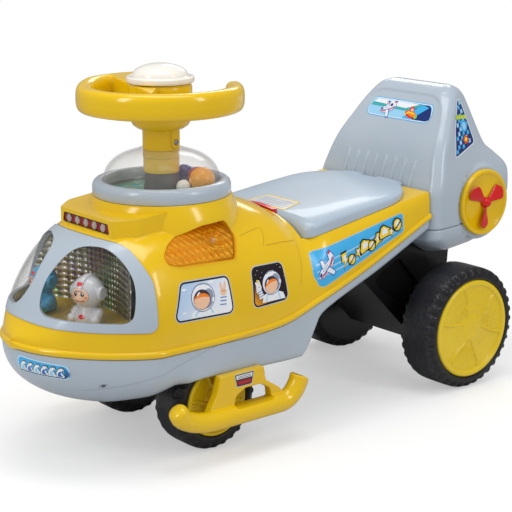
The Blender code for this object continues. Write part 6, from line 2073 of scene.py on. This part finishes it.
class Sticker(Assembly):
    """Thin printed film laid on a surface, built up in layers of ink."""

    layer = 0.00007

    def __init__(self, surface: BVHTree, lay: Callable[[float, float], tuple[Vector, Vector]],
                 unit: float = 1.0, lift: float = 0.00015, pitch: float = 0.003) -> None:
        """Keep what the film lies on.

        Args:
            surface: The surface under the film.
            lay: Gives the ray that drops a label place (in metres) on the surface.
            unit: Metres of one label unit.
            lift: Height of the first layer.
            pitch: Spacing of the film's points.
        """
        self.surface = surface
        self.lay = lay
        self.unit = unit
        self.lift = lift
        self.pitch = pitch
        self.height = lift
        self.film = bmesh.new()
        self.inks: list[object] = []
        self.laid: list[tuple[float, float, float, float, float]] = []

    def drop(self, u: float, v: float) -> Vector | None:
        """Where a label place lies on the surface, at the present height."""
        start, way = self.lay(u, v)
        spot, normal = self.surface.ray_cast(start, way)[:2]
        if spot is None:
            return None
        if normal.dot(way) > 0.0:
            normal = -normal
        return spot + normal * self.height

    def rim(self, outline: Sequence[Point]) -> list[Point]:
        """The edge of a shape in metres, anticlockwise and cut to the film's pitch."""
        points = [(a * self.unit, b * self.unit) for a, b in outline]
        if sum(a[0] * b[1] - a[1] * b[0] for a, b in zip(points, points[1:] + points[:1])) < 0.0:
            points.reverse()
        edge = []
        for here, after in zip(points, points[1:] + points[:1]):
            span = dist(here, after)
            if span < 1e-7:
                continue
            parts = max(1, int(span / self.pitch))
            edge += [(here[0] + (after[0] - here[0]) * k / parts,
                      here[1] + (after[1] - here[1]) * k / parts) for k in range(parts)]
        return edge

    def add(self, outline: Sequence[Point], ink: object) -> None:
        """Lay one closed shape of an ink, over whatever lies there already.

        Args:
            outline: The shape in label units.
            ink: Its ink.
        """
        edge = self.rim(outline)
        low_u, high_u = min(p[0] for p in edge), max(p[0] for p in edge)
        low_v, high_v = min(p[1] for p in edge), max(p[1] for p in edge)
        grid = [(low_u + self.pitch * (i + 0.37), low_v + self.pitch * (j + 0.41))
                for i in range(int((high_u - low_u) / self.pitch))
                for j in range(int((high_v - low_v) / self.pitch))]
        under = [h for a, b, c, d, h in self.laid
                 if a < high_u and b > low_u and c < high_v and d > low_v]
        self.height = max(under) + self.layer if under else self.lift
        self.laid.append((low_u, high_u, low_v, high_v, self.height))
        count = len(edge)
        spots = [Vector(p) for p in edge + grid]
        ring = [(k, (k + 1) % count) for k in range(count)]
        out = delaunay_2d_cdt(spots, ring, [list(range(count))], 1, 1e-6)
        places = [self.drop(p.x, p.y) for p in out[0]]
        made = [None if p is None else self.film.verts.new(p) for p in places]
        if ink not in self.inks:
            self.inks.append(ink)
        for face in out[2]:
            corners = [made[i] for i in face]
            if None not in corners and len(set(corners)) > 2:
                self.film.faces.new(corners).material_index = self.inks.index(ink)

    def bands(self, outline: Sequence[Point], *bands: tuple[float, object]) -> None:
        """Lay an outline again and again, each time set in from its edge and in another ink."""
        for amount, ink in bands:
            self.add(inset(outline, amount) if amount else outline, ink)

    def motif(self, marks: Sequence[Mark], u: float = 0.0, v: float = 0.0, size: float = 1.0,
              lean: float = 0.0) -> None:
        """Lay the marks of a motif, all of them moved, scaled and leant alike."""
        for ink, outline in marks:
            self.add(moved(outline, u, v, size, lean), ink)

    def piece_out(self, name: str, body: str, slot: str) -> None:
        """Turn the layers into one piece of the car."""
        loose = [v for v in self.film.verts if not v.link_faces]
        bmesh.ops.delete(self.film, geom=loose, context="VERTS")
        made = self.piece(name, self.film, body, self.inks[0], slot, sharp=180.0)
        for ink in self.inks[1:]:
            made.data.materials.append(self.material(ink))


def surface_of(*names: str) -> BVHTree:
    """The skin of built pieces, for laying labels on."""
    verts: list[Vector] = []
    faces: list[list[int]] = []
    for made in (bpy.data.objects[name] for name in names):
        way = Vector(made.location) - Vector(ORIGIN)
        base = len(verts)
        verts += [v.co + way for v in made.data.vertices]
        faces += [[base + i for i in p.vertices] for p in made.data.polygons]
    return BVHTree.FromPolygons(verts, faces)


def star(points: int, lean: float, far: Point, near: Point) -> list[Point]:
    """A star: far and near hold the half width and half height of its tips and of its notches."""
    turns = [(pi * k / points + lean, far if k % 2 else near) for k in range(2 * points)]
    return [(reach[0] * cos(t), reach[1] * sin(t)) for t, reach in turns]


HELMET: tuple[Mark, ...] = (
    (Ink.NAVY, oval_mark(0, 2, 17.4, 16.4, 8)),
    (Ink.WHITE, oval_mark(0, 2, 16.6, 15.6, 8)),
    (Ink.GREY, oval_mark(7, 1, 8.4, 11.6, -14)),
    (Ink.NAVY, oval_mark(-1.5, -0.5, 12.6, 11.8, 8)),
    (Ink.PEACH, oval_mark(-1.8, -0.7, 11.8, 11.0, 8)),
    (Ink.BROWN, oval_mark(-1.6, -0.2, 11.6, 10.6, 8, 12, 172)),
    (Ink.ORANGE, oval_mark(-1.6, 0.2, 11.2, 6.6, 8, 8, 176)),
    (Ink.PEACH, oval_mark(-1.8, -1.0, 11.3, 3.6, 8)),
    (Ink.WHITE, stroke([(-9, 3.5), (-7.5, 6), (-5, 7.8)], 1.8)),
    (Ink.GREY, oval_mark(14.6, 0, 2.6, 4.4, -6)),
    (Ink.WHITE, oval_mark(14.8, 0, 1.6, 3.2, -6)),
    (Ink.GREY, stroke([(-6, 16.4), (0, 18.0), (8, 16.6)], 1.6)),
)

AIRCRAFT: tuple[Mark, ...] = (
    (Ink.BLUE, [(-21, 0.5), (-13, -5.6), (0, -7.6), (15, -5.2), (24, 2), (25, 13.5), (17.5, 13.5),
                (12.5, 5.8), (-2, 8.0), (-14, 6.2)]),
    (Ink.WHITE, [(-20, 0.5), (-13, -4.6), (0, -6.6), (14.5, -4.2), (22.5, 2), (23.6, 12.3),
                 (18.2, 12.3), (13.0, 4.6), (-2, 6.8), (-13.5, 5.0)]),
    (Ink.RED, stroke([(-17.5, -1.4), (-6, -3.4), (8, -3.0), (20, 1.2)], 1.9)),
    (Ink.BLUE, stroke([(-16.8, 0.6), (-6, -1.4), (8, -1.0), (20.5, 3.0)], 1.2)),
    (Ink.BLUE, [(-4, -1), (6, -1.5), (9, -17), (1.5, -19)]),
    (Ink.WHITE, [(-2.8, -2), (5, -2.4), (7.6, -15.8), (2.4, -17.2)]),
    (Ink.BLUE, [(-6, 5), (3, 5.5), (6, 14.5), (0, 15.5)]),
    (Ink.WHITE, [(-4.8, 5.4), (2.4, 5.8), (4.8, 13.4), (0.6, 14.2)]),
    (Ink.RED, [(18.6, 9.5), (23.4, 9.6), (23.7, 12.3), (18.2, 12.3)]),
    (Ink.NAVY, oval_mark(-13.6, 2.2, 3.2, 1.5, 18)),
    *((Ink.BLUE, oval_mark(-6.5 + 3.6 * k, 2.2 + 0.15 * k, 0.8, 0.8)) for k in range(4)),
)

BACK_PICTURE: tuple[Mark, ...] = (
    (Ink.NAVY, [(22, 427.4), (57, 427.4), (63, 424), (68, 413), (67.5, 407.6), (62, 404.8),
                (30, 404.8)]),
    (Ink.TEAL, [(-66.5, 417), (20, 415), (44, 426.6), (20, 427.4), (-57, 427.4), (-62.5, 424)]),
    (Ink.WHITE, [(-63.5, 422), (10, 419), (36, 426.8), (10, 427.2), (-56, 427.2)]),
    (Ink.CYAN, [(10, 404.5), (30, 404.5), (58, 424), (44, 427), (20, 412)]),
    *((ink, moved(outline, -28, 414, 0.74, 12)) for ink, outline in AIRCRAFT),
    (Ink.WHITE, oval_mark(-22, 421.5, 4.2, 3.8)),
    (Ink.NAVY, oval_mark(-21, 420.6, 2.8, 2.2)),
    (Ink.BLUE, oval_mark(-30, 423.0, 3.2, 3.0)),
    (Ink.PEACH, oval_mark(-31, 422.4, 2.0, 1.8)),
    (Ink.RED, moved(oval_mark(0, 0, 13, 5.2), 26, 411.5, 1.0, -10)),
    (Ink.ORANGE, moved(oval_mark(0, 0, 11.5, 3.6), 27, 412.3, 1.0, -10)),
    (Ink.YELLOW, stroke([(13, 409), (20, 414.5), (33, 412.5)], 2.2)),
    (Ink.RED, oval_mark(25, 418.6, 4.6, 4.2)),
    (Ink.PEACH, oval_mark(26, 417.8, 2.8, 2.4)),
    (Ink.GREEN, oval_mark(38, 408.8, 3.4, 2.8)),
)

SPARKS = ((62, 248, 0.6), (70, 244, 0.4), (104, 246, 0.6), (108, 234, 0.4), (99, 250, 0.4),
          (66, 238, 0.5), (58, 243, 0.4))
CREST = [(-6, -6.5), (-4, 2), (0.5, 7), (5, 7.4), (7, 4.6), (4.2, 4.4), (3.0, 1.6), (4.6, -2.4),
         (7, -5), (5.6, -7)]
BOLT = [(-3, 6.5), (3.5, 6.5), (0.8, 1.4), (4.2, 1.4), (-3, -7), (-0.8, -0.8), (-4, -0.8)]
CLOUD = [(-6.6, -4), (-7.2, -0.6), (-5.0, 2.0), (-3.0, 5.0), (0.9, 5.8), (3.8, 3.4), (6.6, 1.6),
         (7.2, -2), (5.6, -4.2)]
COMET = [(-7, -5.5), (-2, -4.6), (3.6, -5), (6, -1), (4.8, 3.6), (0.6, 5.4), (-2, 3), (-5.4, 1.6),
         (-3.4, -0.8)]
PLANET = oval_mark(0, 0, 5.4, 5.8)
PLANET_RING = stroke([(-7.4, -3.2), (-2.4, -2.2), (2.4, 0.4), (7.2, 3.4)], 1.5)
SMALL_STAR = star(5, 0.3, (5.0, 5.6), (2.4, 2.7))
BIG_STAR = star(6, 0.0, (10.5, 9.5), (5.0, 4.6))


class Labels(Assembly):
    """All the printed labels, with generic motifs of sky, planets, waves and small aircraft."""

    def flank(self, surface: BVHTree, sign: float) -> Sticker:
        """A film for a flank, in millimetres of (y, z)."""
        way = Vector((-sign, 0.0, 0.0))
        return Sticker(surface, lambda u, v: (Vector((sign * 0.30, u, v)), way), MM)

    def helmet(self, s: Sticker, u: float, v: float, size: float, lean: float, foot: float) -> None:
        """A pilot's helmet with a blank tinted visor, ear ring, collar and shoulder."""
        low = (foot - v) / size
        seam = [(-12, low + 1), (-10.5, -14), (0, -11), (10, -12), (13.5, low + 1)]
        s.motif([(Ink.WHITE, [(-19.5, low), (-17, -13), (-6, -9), (8, -10), (19, -14), (23, low)]),
                 (Ink.PALE, stroke(seam, 2.0))], u, v, size)
        s.motif(HELMET, u, v, size, lean)

    def glove(self, s: Sticker, u: float, v: float, size: float, lean: float, palm: Ink) -> None:
        """A raised space glove with two fingers up."""
        cuffs = [(Ink.BLUE, stroke([(-4.5, level), (6, level + 0.6)], 1.4))
                 for level in (-16, -11, -6.5)]
        s.motif([(Ink.WHITE, [(-5, -20), (-3.5, -4), (5, -4), (7, -20)]), *cuffs,
                 (palm, oval_mark(0.5, 1, 5.6, 5.0)),
                 (palm, oval_mark(-3.6, 8.6, 1.9, 5.6, 14)),
                 (palm, oval_mark(2.8, 9.2, 1.9, 5.8, -10)),
                 (Ink.BROWN, stroke([(-2.0, 2.5), (0.6, 1.6), (3.6, 2.6)], 0.7))], u, v, size, lean)

    def window_label(self, s: Sticker, corners: Sequence[Point], field: Ink) -> None:
        """A label like a window: silver border, black line and a field inside."""
        s.bands(rounded(corners, 10.0, 8), (0.0, Ink.SILVER), (1.3, Ink.BLACK), (3.6, field))

    def sky_label(self, surface: BVHTree, name: str, sign: float) -> None:
        """Lay the window of one flank that shows a pilot in the sky."""
        s = self.flank(surface, sign)
        self.window_label(s, [(-89, 202), (16, 198), (11, 252), (-71, 255)], Ink.SKY)
        self.helmet(s, -37, 227, 1.14, -10, 205.2)
        self.glove(s, -2, 230, 1.00, -8, Ink.PEACH)
        for u, v, size in ((-66, 244, 1.6), (-20, 247, 2.2), (-70, 214, 1.4)):
            s.add(oval_mark(u, v, size * 2.4, size), Ink.WHITE)
        s.piece_out(f"sky_label_{name}", "car", "white_plastic")

    def space_label(self, surface: BVHTree, name: str, sign: float) -> None:
        """Lay the window of one flank that shows a pilot in space."""
        s = self.flank(surface, sign)
        self.window_label(s, [(48, 197), (115, 199), (109, 254), (51, 255)], Ink.SPACE)
        s.add(oval_mark(58, 226, 7, 10, 0, -90, 90), Ink.YELLOW)
        s.add(oval_mark(56, 226, 5, 7.5, 0, -90, 90), Ink.WHITE)
        for u, v, r in SPARKS:
            s.add(oval_mark(u, v, r, r), Ink.WHITE)
        self.helmet(s, 85, 226, 1.00, 8, 203.0)
        self.glove(s, 61, 224, 0.74, 12, Ink.WHITE)
        s.piece_out(f"space_label_{name}", "car", "white_plastic")

    def stripe_label(self, surface: BVHTree, name: str, sign: float) -> None:
        """Lay the long striped label under the seat on one flank."""
        s = self.flank(surface, sign)
        corners = [(166, 253), (172, 256), (351, 288), (352, 258), (186, 204), (174, 206),
                   (164, 224)]
        s.bands(rounded(corners, [3, 6, 5, 5, 8, 8, 12], 5), (0.0, Ink.SILVER), (0.9, Ink.CYAN))
        for part in (0.20, 0.42, 0.66):
            line = [(172.0, 210 + 40 * part), (250, 226 + 38 * part), (349, 260 + 26 * part)]
            s.add(stroke(line, 2.6), Ink.PALE)
        s.motif(AIRCRAFT, 189, 230, 0.98, 44)
        self.row_of_signs(s, Vector((226, 233)), Vector((336, 270)), 27.0)
        s.piece_out(f"stripe_label_{name}", "car", "blue_plastic")

    def row_of_signs(self, s: Sticker, start: Vector, stop: Vector, tall: float) -> None:
        """Black-outlined bolts, ringed planets, stars, clouds and comets in a row."""
        slope = degrees(atan2(stop.y - start.y, stop.x - start.x))
        shapes = (BOLT, PLANET, SMALL_STAR, CLOUD, PLANET, COMET, CLOUD, SMALL_STAR, PLANET)
        for k, shape in enumerate(shapes):
            spot = start + (stop - start) * (k / (len(shapes) - 1))
            spot = spot + Vector((0.0, (3.2, -2.6, 1.4)[k % 3]))
            size = tall / 17.5 * (1.06, 0.80, 0.94)[k % 3]
            lean = slope + (6 if k % 2 else -5)
            s.add(moved(shape, spot.x, spot.y, size * 1.24, lean), Ink.BLACK)
            s.add(moved(shape, spot.x, spot.y, size, lean), Ink.YELLOW)
            s.add(moved(shape, spot.x + 0.3, spot.y + 1.2, size * 0.55, lean), Ink.WHITE)
            if shape is PLANET:
                s.add(moved(PLANET_RING, spot.x, spot.y, size, lean), Ink.BLACK)

    def nose_label(self, surface: BVHTree) -> None:
        """Lay the label with the wave crests on the hull's nose."""
        across = Vector((0.912, 0.410, 0.0))
        out = Vector((0.410, -0.912, 0.0))
        middle = Vector((0.045, -0.232, 0.0))

        def lay(u: float, v: float) -> tuple[Vector, Vector]:
            """Ray from the front corner towards the hull."""
            return middle + across * u + out * 0.15 + Vector((0.0, 0.0, v)), -out

        s = Sticker(surface, lay, MM)
        s.bands(rounded([(-38, 163), (42, 156), (42, 133), (-38, 140)], [9, 10, 11, 9], 8),
                (0.0, Ink.PALE), (1.0, Ink.WHITE), (2.0, Ink.CYAN))
        for k in range(6):
            u = -28 + 11.2 * k
            v = 147.5 - 0.55 * k
            s.add(moved(CREST, u, v, 1.12), Ink.BLACK)
            s.add(moved(CREST, u, v + 0.2, 0.94), Ink.WHITE)
            s.add(moved(CREST, u - 0.4, v - 1.6, 0.55), Ink.BLUE if k % 2 else Ink.PALE)
        for k in range(5):
            u = 33.5 + 1.5 * k
            s.add(stroke([(u, 137.5 + 0.6 * k), (u + 2.4, 150.5 - 1.0 * k)], 0.7), Ink.NAVY)
        s.piece_out("wave_label", "car", "blue_plastic")

    def back_label(self, surface: BVHTree) -> None:
        """Lay the wide label on the backrest's front."""
        s = Sticker(surface, lambda u, v: (Vector((u, 0.33, v)), Vector((0.0, 1.0, 0.0))), MM)
        s.bands(rounded([(-66, 430), (66, 430), (73, 402), (-73, 402)], [11, 11, 13, 13], 8),
                (0.0, Ink.CYAN), (1.2, Ink.WHITE), (2.2, Ink.PALE))
        s.motif(BACK_PICTURE)
        s.piece_out("wide_back_label", "car", "blue_plastic")

    def side_label(self, surface: BVHTree, name: str, sign: float) -> None:
        """Lay the checked label on one side of the backrest."""
        s = self.flank(surface, sign)
        outline = rounded([(468, 353), (525, 371), (511, 438), (500, 438), (479, 396)],
                          [3, 7, 4, 4, 30], 6)
        field = inset(outline, 1.4)
        s.add(outline, Ink.WHITE)
        s.add(field, Ink.NAVY)

        def inside(u: float, v: float) -> bool:
            """Whether a place lies within the field."""
            hit = False
            for a, b in zip(field, field[1:] + field[:1]):
                spans = (a[1] > v) != (b[1] > v)
                if spans and u < (b[0] - a[0]) * (v - a[1]) / (b[1] - a[1]) + a[0]:
                    hit = not hit
            return hit

        for i, j in ((i, j) for i in range(10) for j in range(13) if (i + j) % 2 == 0):
            u, v = 467 + 6.0 * i, 353 + 6.4 * j
            tile = [(u, v), (u + 5.6 + 0.1 * j, v + 0.8), (u + 5.8, v + 6.4), (u + 0.4, v + 5.8)]
            if all(inside(*p) for p in tile):
                s.add(tile, Ink.CYAN if (i * j) % 3 else Ink.PALE)
        s.add(oval_mark(504, 399, 9.0, 9.0), Ink.CYAN)
        s.add(oval_mark(505, 398, 5.0, 5.5), Ink.PALE)
        s.add([(488, 416.5), (514.5, 414), (515.6, 408), (485, 410)], Ink.GREEN)
        dart = [(-2.6, -2.4), (0, 2.6), (2.6, -2.4), (0, -1)]
        for k in range(4):
            s.add(moved(dart, 490.5 + 6.8 * k, 412.6 - 0.5 * k, 1.0, -5), Ink.YELLOW)
        s.add(moved(BIG_STAR, 503, 378, 1.0, 12), Ink.DARK_RED)
        s.add(moved(BIG_STAR, 503, 378.4, 0.72, 32), Ink.ORANGE)
        s.add(oval_mark(503, 378.6, 3.0, 2.8), Ink.YELLOW)
        s.piece_out(f"check_label_{name}", "car", "blue_plastic")

    def lid_label(self, surface: BVHTree) -> None:
        """Lay the trapezoid label behind the latch."""
        s = Sticker(surface, lambda u, v: (Vector((u, v, 0.40)), Vector((0.0, 0.0, -1.0))), MM)
        s.bands(rounded([(-45, 186), (45, 186), (38, 226), (-38, 226)], [2, 2, 6, 6], 5),
                (0.0, Ink.BROWN), (0.8, Ink.YELLOW), (4.2, Ink.WHITE), (5.0, Ink.SILVER))
        for v in (194.0, 201.0, 208.0, 215.0):
            s.add(stroke([(-27, v), (27, v)], 1.0), Ink.GREY)
        s.piece_out("lid_label", "seat_lid", "yellow_plastic")

    def bracket_label(self, surface: BVHTree, name: str, sign: float) -> None:
        """Lay the small barred label on one foot rest's bracket."""
        s = self.flank(surface, sign)
        s.bands(rounded([(2, 117), (37, 117), (33, 98), (6, 98)], [2, 2, 3, 3], 4),
                (0.0, Ink.SILVER), (1.0, Ink.BLACK))
        s.add([(5, 114.6), (34, 114.6), (33, 109), (6.2, 109)], Ink.WHITE)
        for v in (110.4, 112.6):
            s.add(stroke([(8, v), (31.5, v)], 0.9), Ink.BLACK)
        s.add([(6.8, 107), (32.2, 107), (30.6, 100.6), (8.4, 100.6)], Ink.DARK_RED)
        s.add(stroke([(10, 103.8), (29, 103.8)], 1.0), Ink.RED)
        s.piece_out(f"bracket_label_{name}", "car", "red_plastic")

    def painted_line_shade(self, surface: BVHTree, name: str, sign: float) -> None:
        """Draw the body's fine panel lines, the hull's parting line and its screw recess as painted
        shade in darker tones.
        """
        s = self.flank(surface, sign)
        # painted shade: darker yellow strokes along the body's panel lines
        for line in ([(52, 294), (72, 297), (90, 299)], [(94, 299), (92, 288), (85, 277)],
                     [(90, 277), (122, 276), (150, 273)], [(152, 271), (146, 240), (138, 214)]):
            s.add(stroke(line, 0.6), Plastic.LINE)
        s.piece_out(f"body_line_shade_{name}", "car", "yellow_plastic")
        s = self.flank(surface, sign)
        # painted shade: a darker grey stroke along the hull's parting line
        seam = [(-190, 118), (-150, 126), (-80, 146), (-30, 158), (60, 168)]
        s.add(stroke(seam, 0.6), Plastic.GREY_LINE_SHADE)
        # painted shade in the screw recess: a dark crescent round a dark hole
        s.add(oval_mark(-174, 126, 4.6, 3.6), Plastic.GREY_LINE_SHADE)
        s.add(oval_mark(-173.4, 125.6, 3.9, 3.0), Plastic.SEAT_GREY)
        s.add(oval_mark(-174, 126.3, 2.6, 2.1), Plastic.COLLAR)
        s.piece_out(f"hull_line_shade_{name}", "car", "grey_plastic")

    def build(self) -> None:
        """Lay every label on the finished pieces."""
        flanks = surface_of("body_moulding", "hull_moulding", "front_frame")
        back = surface_of("backrest_moulding")
        self.nose_label(flanks)
        self.back_label(back)
        self.lid_label(surface_of("lid_moulding"))
        for name, sign in SIDES:
            self.sky_label(flanks, name, sign)
            self.space_label(flanks, name, sign)
            self.stripe_label(flanks, name, sign)
            self.painted_line_shade(flanks, name, sign)
            self.side_label(back, name, sign)
            self.bracket_label(surface_of(f"skid_{name}"), name, sign)


def toy_face(size: FigureSize, suit: Ink) -> list[Mark]:
    """The marks of a plain toy face with red patches on helmet and suit, in metres."""
    r = size.head
    z = size.neck + r * 0.92
    smile = [(r * 0.34 * sin(t), z - r * 0.24 - r * 0.16 * cos(t))
             for t in (radians(-62 + 15.5 * k) for k in range(9))]
    marks = [(Ink.GREY, oval_mark(0.0, z - r * 0.04, r * 0.60, r * 0.50)),
             (Ink.PEACH, oval_mark(0.0, z - r * 0.04, r * 0.57, r * 0.47))]
    for way in (-1, 1):
        eye = way * r * 0.24
        marks += [(Ink.BLACK, oval_mark(eye, z + r * 0.07, r * 0.115, r * 0.15)),
                  (Ink.WHITE, oval_mark(eye + r * 0.03, z + r * 0.12, r * 0.040, r * 0.050)),
                  (Ink.ORANGE, oval_mark(way * r * 0.42, z - r * 0.13, r * 0.085, r * 0.060))]
    return marks + [(Ink.DARK_RED, stroke(smile, r * 0.075)),
                    (Ink.RED, oval_mark(0.0, z + r * 0.64, r * 0.24, r * 0.11)),
                    (suit, oval_mark(0.0, size.neck - 0.0100, 0.0048, 0.0030))]


def build_figures() -> None:
    """Make the two cabin figures and paint their plain toy faces."""
    for name, size, finish, slot, suit in (
            ("astronaut", FigureSize((0.049, -0.158), 0.0225, 0.219, 22.0), Plastic.WHITE,
             "white_plastic", Ink.RED),
            ("pilot", FigureSize((-0.044, -0.170), 0.0200, 0.220, 8.0), Plastic.BLUE,
             "blue_plastic", Ink.WHITE)):
        figure = CabinFigure(name, size, finish, slot)
        figure.build()
        figure.paint(toy_face(size, suit), surface_of(f"{name}_toy"))


# Studio

@dataclass(frozen=True)
class Studio:
    """Pale floor, soft lamps and the camera at the photograph's angle."""

    eye: tuple[float, float, float] = (1.6342, -1.3594, 0.7644)
    azimuth: float = 50.44
    elevation: float = 14.27
    lens: float = 103.46
    floor_half: float = 2.2

    def build(self) -> None:
        """Make the whole studio."""
        self.set_camera()
        self.set_floor()
        self.set_world()
        self.set_lamps()
        bpy.context.scene.view_settings.view_transform = "Standard"
        LOG.info("made the studio")

    def set_camera(self) -> None:
        """Place the camera."""
        a, e = radians(self.azimuth), radians(self.elevation)
        right = Vector((cos(a), sin(a), 0.0))
        up = Vector((-sin(a) * sin(e), cos(a) * sin(e), cos(e)))
        ahead = Vector((-sin(a) * cos(e), cos(a) * cos(e), -sin(e)))
        data = bpy.data.cameras.new("camera")
        data.lens = self.lens
        data.sensor_width = 36.0
        data.clip_start, data.clip_end = 0.05, 60.0
        camera = bpy.data.objects.new("camera", data)
        turn = Matrix((right, up, -ahead)).transposed().to_4x4()
        camera.matrix_world = Matrix.Translation(self.eye) @ turn
        bpy.context.scene.collection.objects.link(camera)
        bpy.context.scene.camera = camera

    def set_floor(self) -> None:
        """Lay the floor, which keeps the car's shadow and fades into the white beyond."""
        bm = bmesh.new()
        bmesh.ops.create_grid(bm, x_segments=8, y_segments=8, size=self.floor_half)
        mesh = bpy.data.meshes.new("studio_floor")
        bm.to_mesh(mesh)
        bm.free()
        floor = bpy.data.objects.new("studio_floor", mesh)
        floor.location.z = -0.0004
        g = Graph("studio_paper")
        x, y, _ = g.axes(g.place())
        far = (x * x + y * y).root()
        tone = g.noise(g.place(), 3.0)
        camera, through = g.rays("Camera", "Transmission")
        paper = g.mix(tone, (0.60, 0.60, 0.60), (0.62, 0.62, 0.62))
        glow = g.mix(tone, (1.0, 1.0, 1.0), (0.99, 0.99, 0.99))
        g.finish(Base_Color=paper, Roughness=0.9, Specular_IOR_Level=0.1,
                 Emission_Color=g.mix(camera.high(through), (0.0, 0.0, 0.0), glow),
                 Emission_Strength=0.42, Alpha=far.step(1.05, 0.48))
        mesh.materials.append(g.material)
        bpy.context.scene.collection.objects.link(floor)

    def set_world(self) -> None:
        """Fill light that looks white to the camera, in gloss and through clear plastic."""
        g = Graph("studio_world", True)
        bpy.context.scene.world = g.material
        camera, glossy, through = g.rays("Camera", "Glossy", "Transmission")
        strength = 0.62 + camera.high(through) * 0.38 - glossy * 0.33
        sky = g.node("Background", None, {"Color": (1.0, 1.0, 1.0), "Strength": strength})
        end = g.node("OutputWorld")
        g.tree.links.new(sky.outputs[0], end.inputs["Surface"])

    def set_lamps(self) -> None:
        """Hang long soft boxes overhead, in front and at the side."""
        for name, place, size, depth, power in (
                ("overhead_box", (0.1, -0.2, 2.0), 1.5, 0.7, 12.0),
                ("key_box", (0.1, -2.2, 1.5), 0.5, 1.3, 12.8),
                ("side_box", (2.3, 0.7, 1.5), 0.4, 1.3, 10.4),
                ("rear_box", (-1.3, 1.5, 1.5), 1.0, 0.5, 6.0)):
            data = bpy.data.lights.new(name, "AREA")
            data.shape = "RECTANGLE"
            data.size = size
            data.size_y = depth
            data.energy = power
            lamp = bpy.data.objects.new(name, data)
            lamp.location = place
            aim = Vector((0.0, 0.0, 0.2)) - Vector(place)
            lamp.rotation_euler = aim.to_track_quat("-Z", "Y").to_euler()
            bpy.context.scene.collection.objects.link(lamp)


def dress_frame() -> None:
    """Give every solid of the frame its finish."""
    for finish, nodes in NODE_FINISHES.items():
        for node in nodes:
            Assembly.dress(node, finish)


def main() -> None:
    """Build the car's looks in order."""
    logging.basicConfig(level=logging.INFO, format="%(name)s: %(message)s")
    Studio().build()
    dress_frame()
    for side, _ in SIDES:
        Wheel("front", side, FRONT_WHEEL, 20.0).build()
        Wheel("rear", side, REAR_WHEEL, 75.0).build()
    CabinBody().build()
    SteeringTop().build()
    BallDome().build()
    Seat().build()
    Backrest().build()
    FootRest().build()
    LightBar().build()
    build_figures()
    Labels().build()


if __name__ == "__main__":
    main()
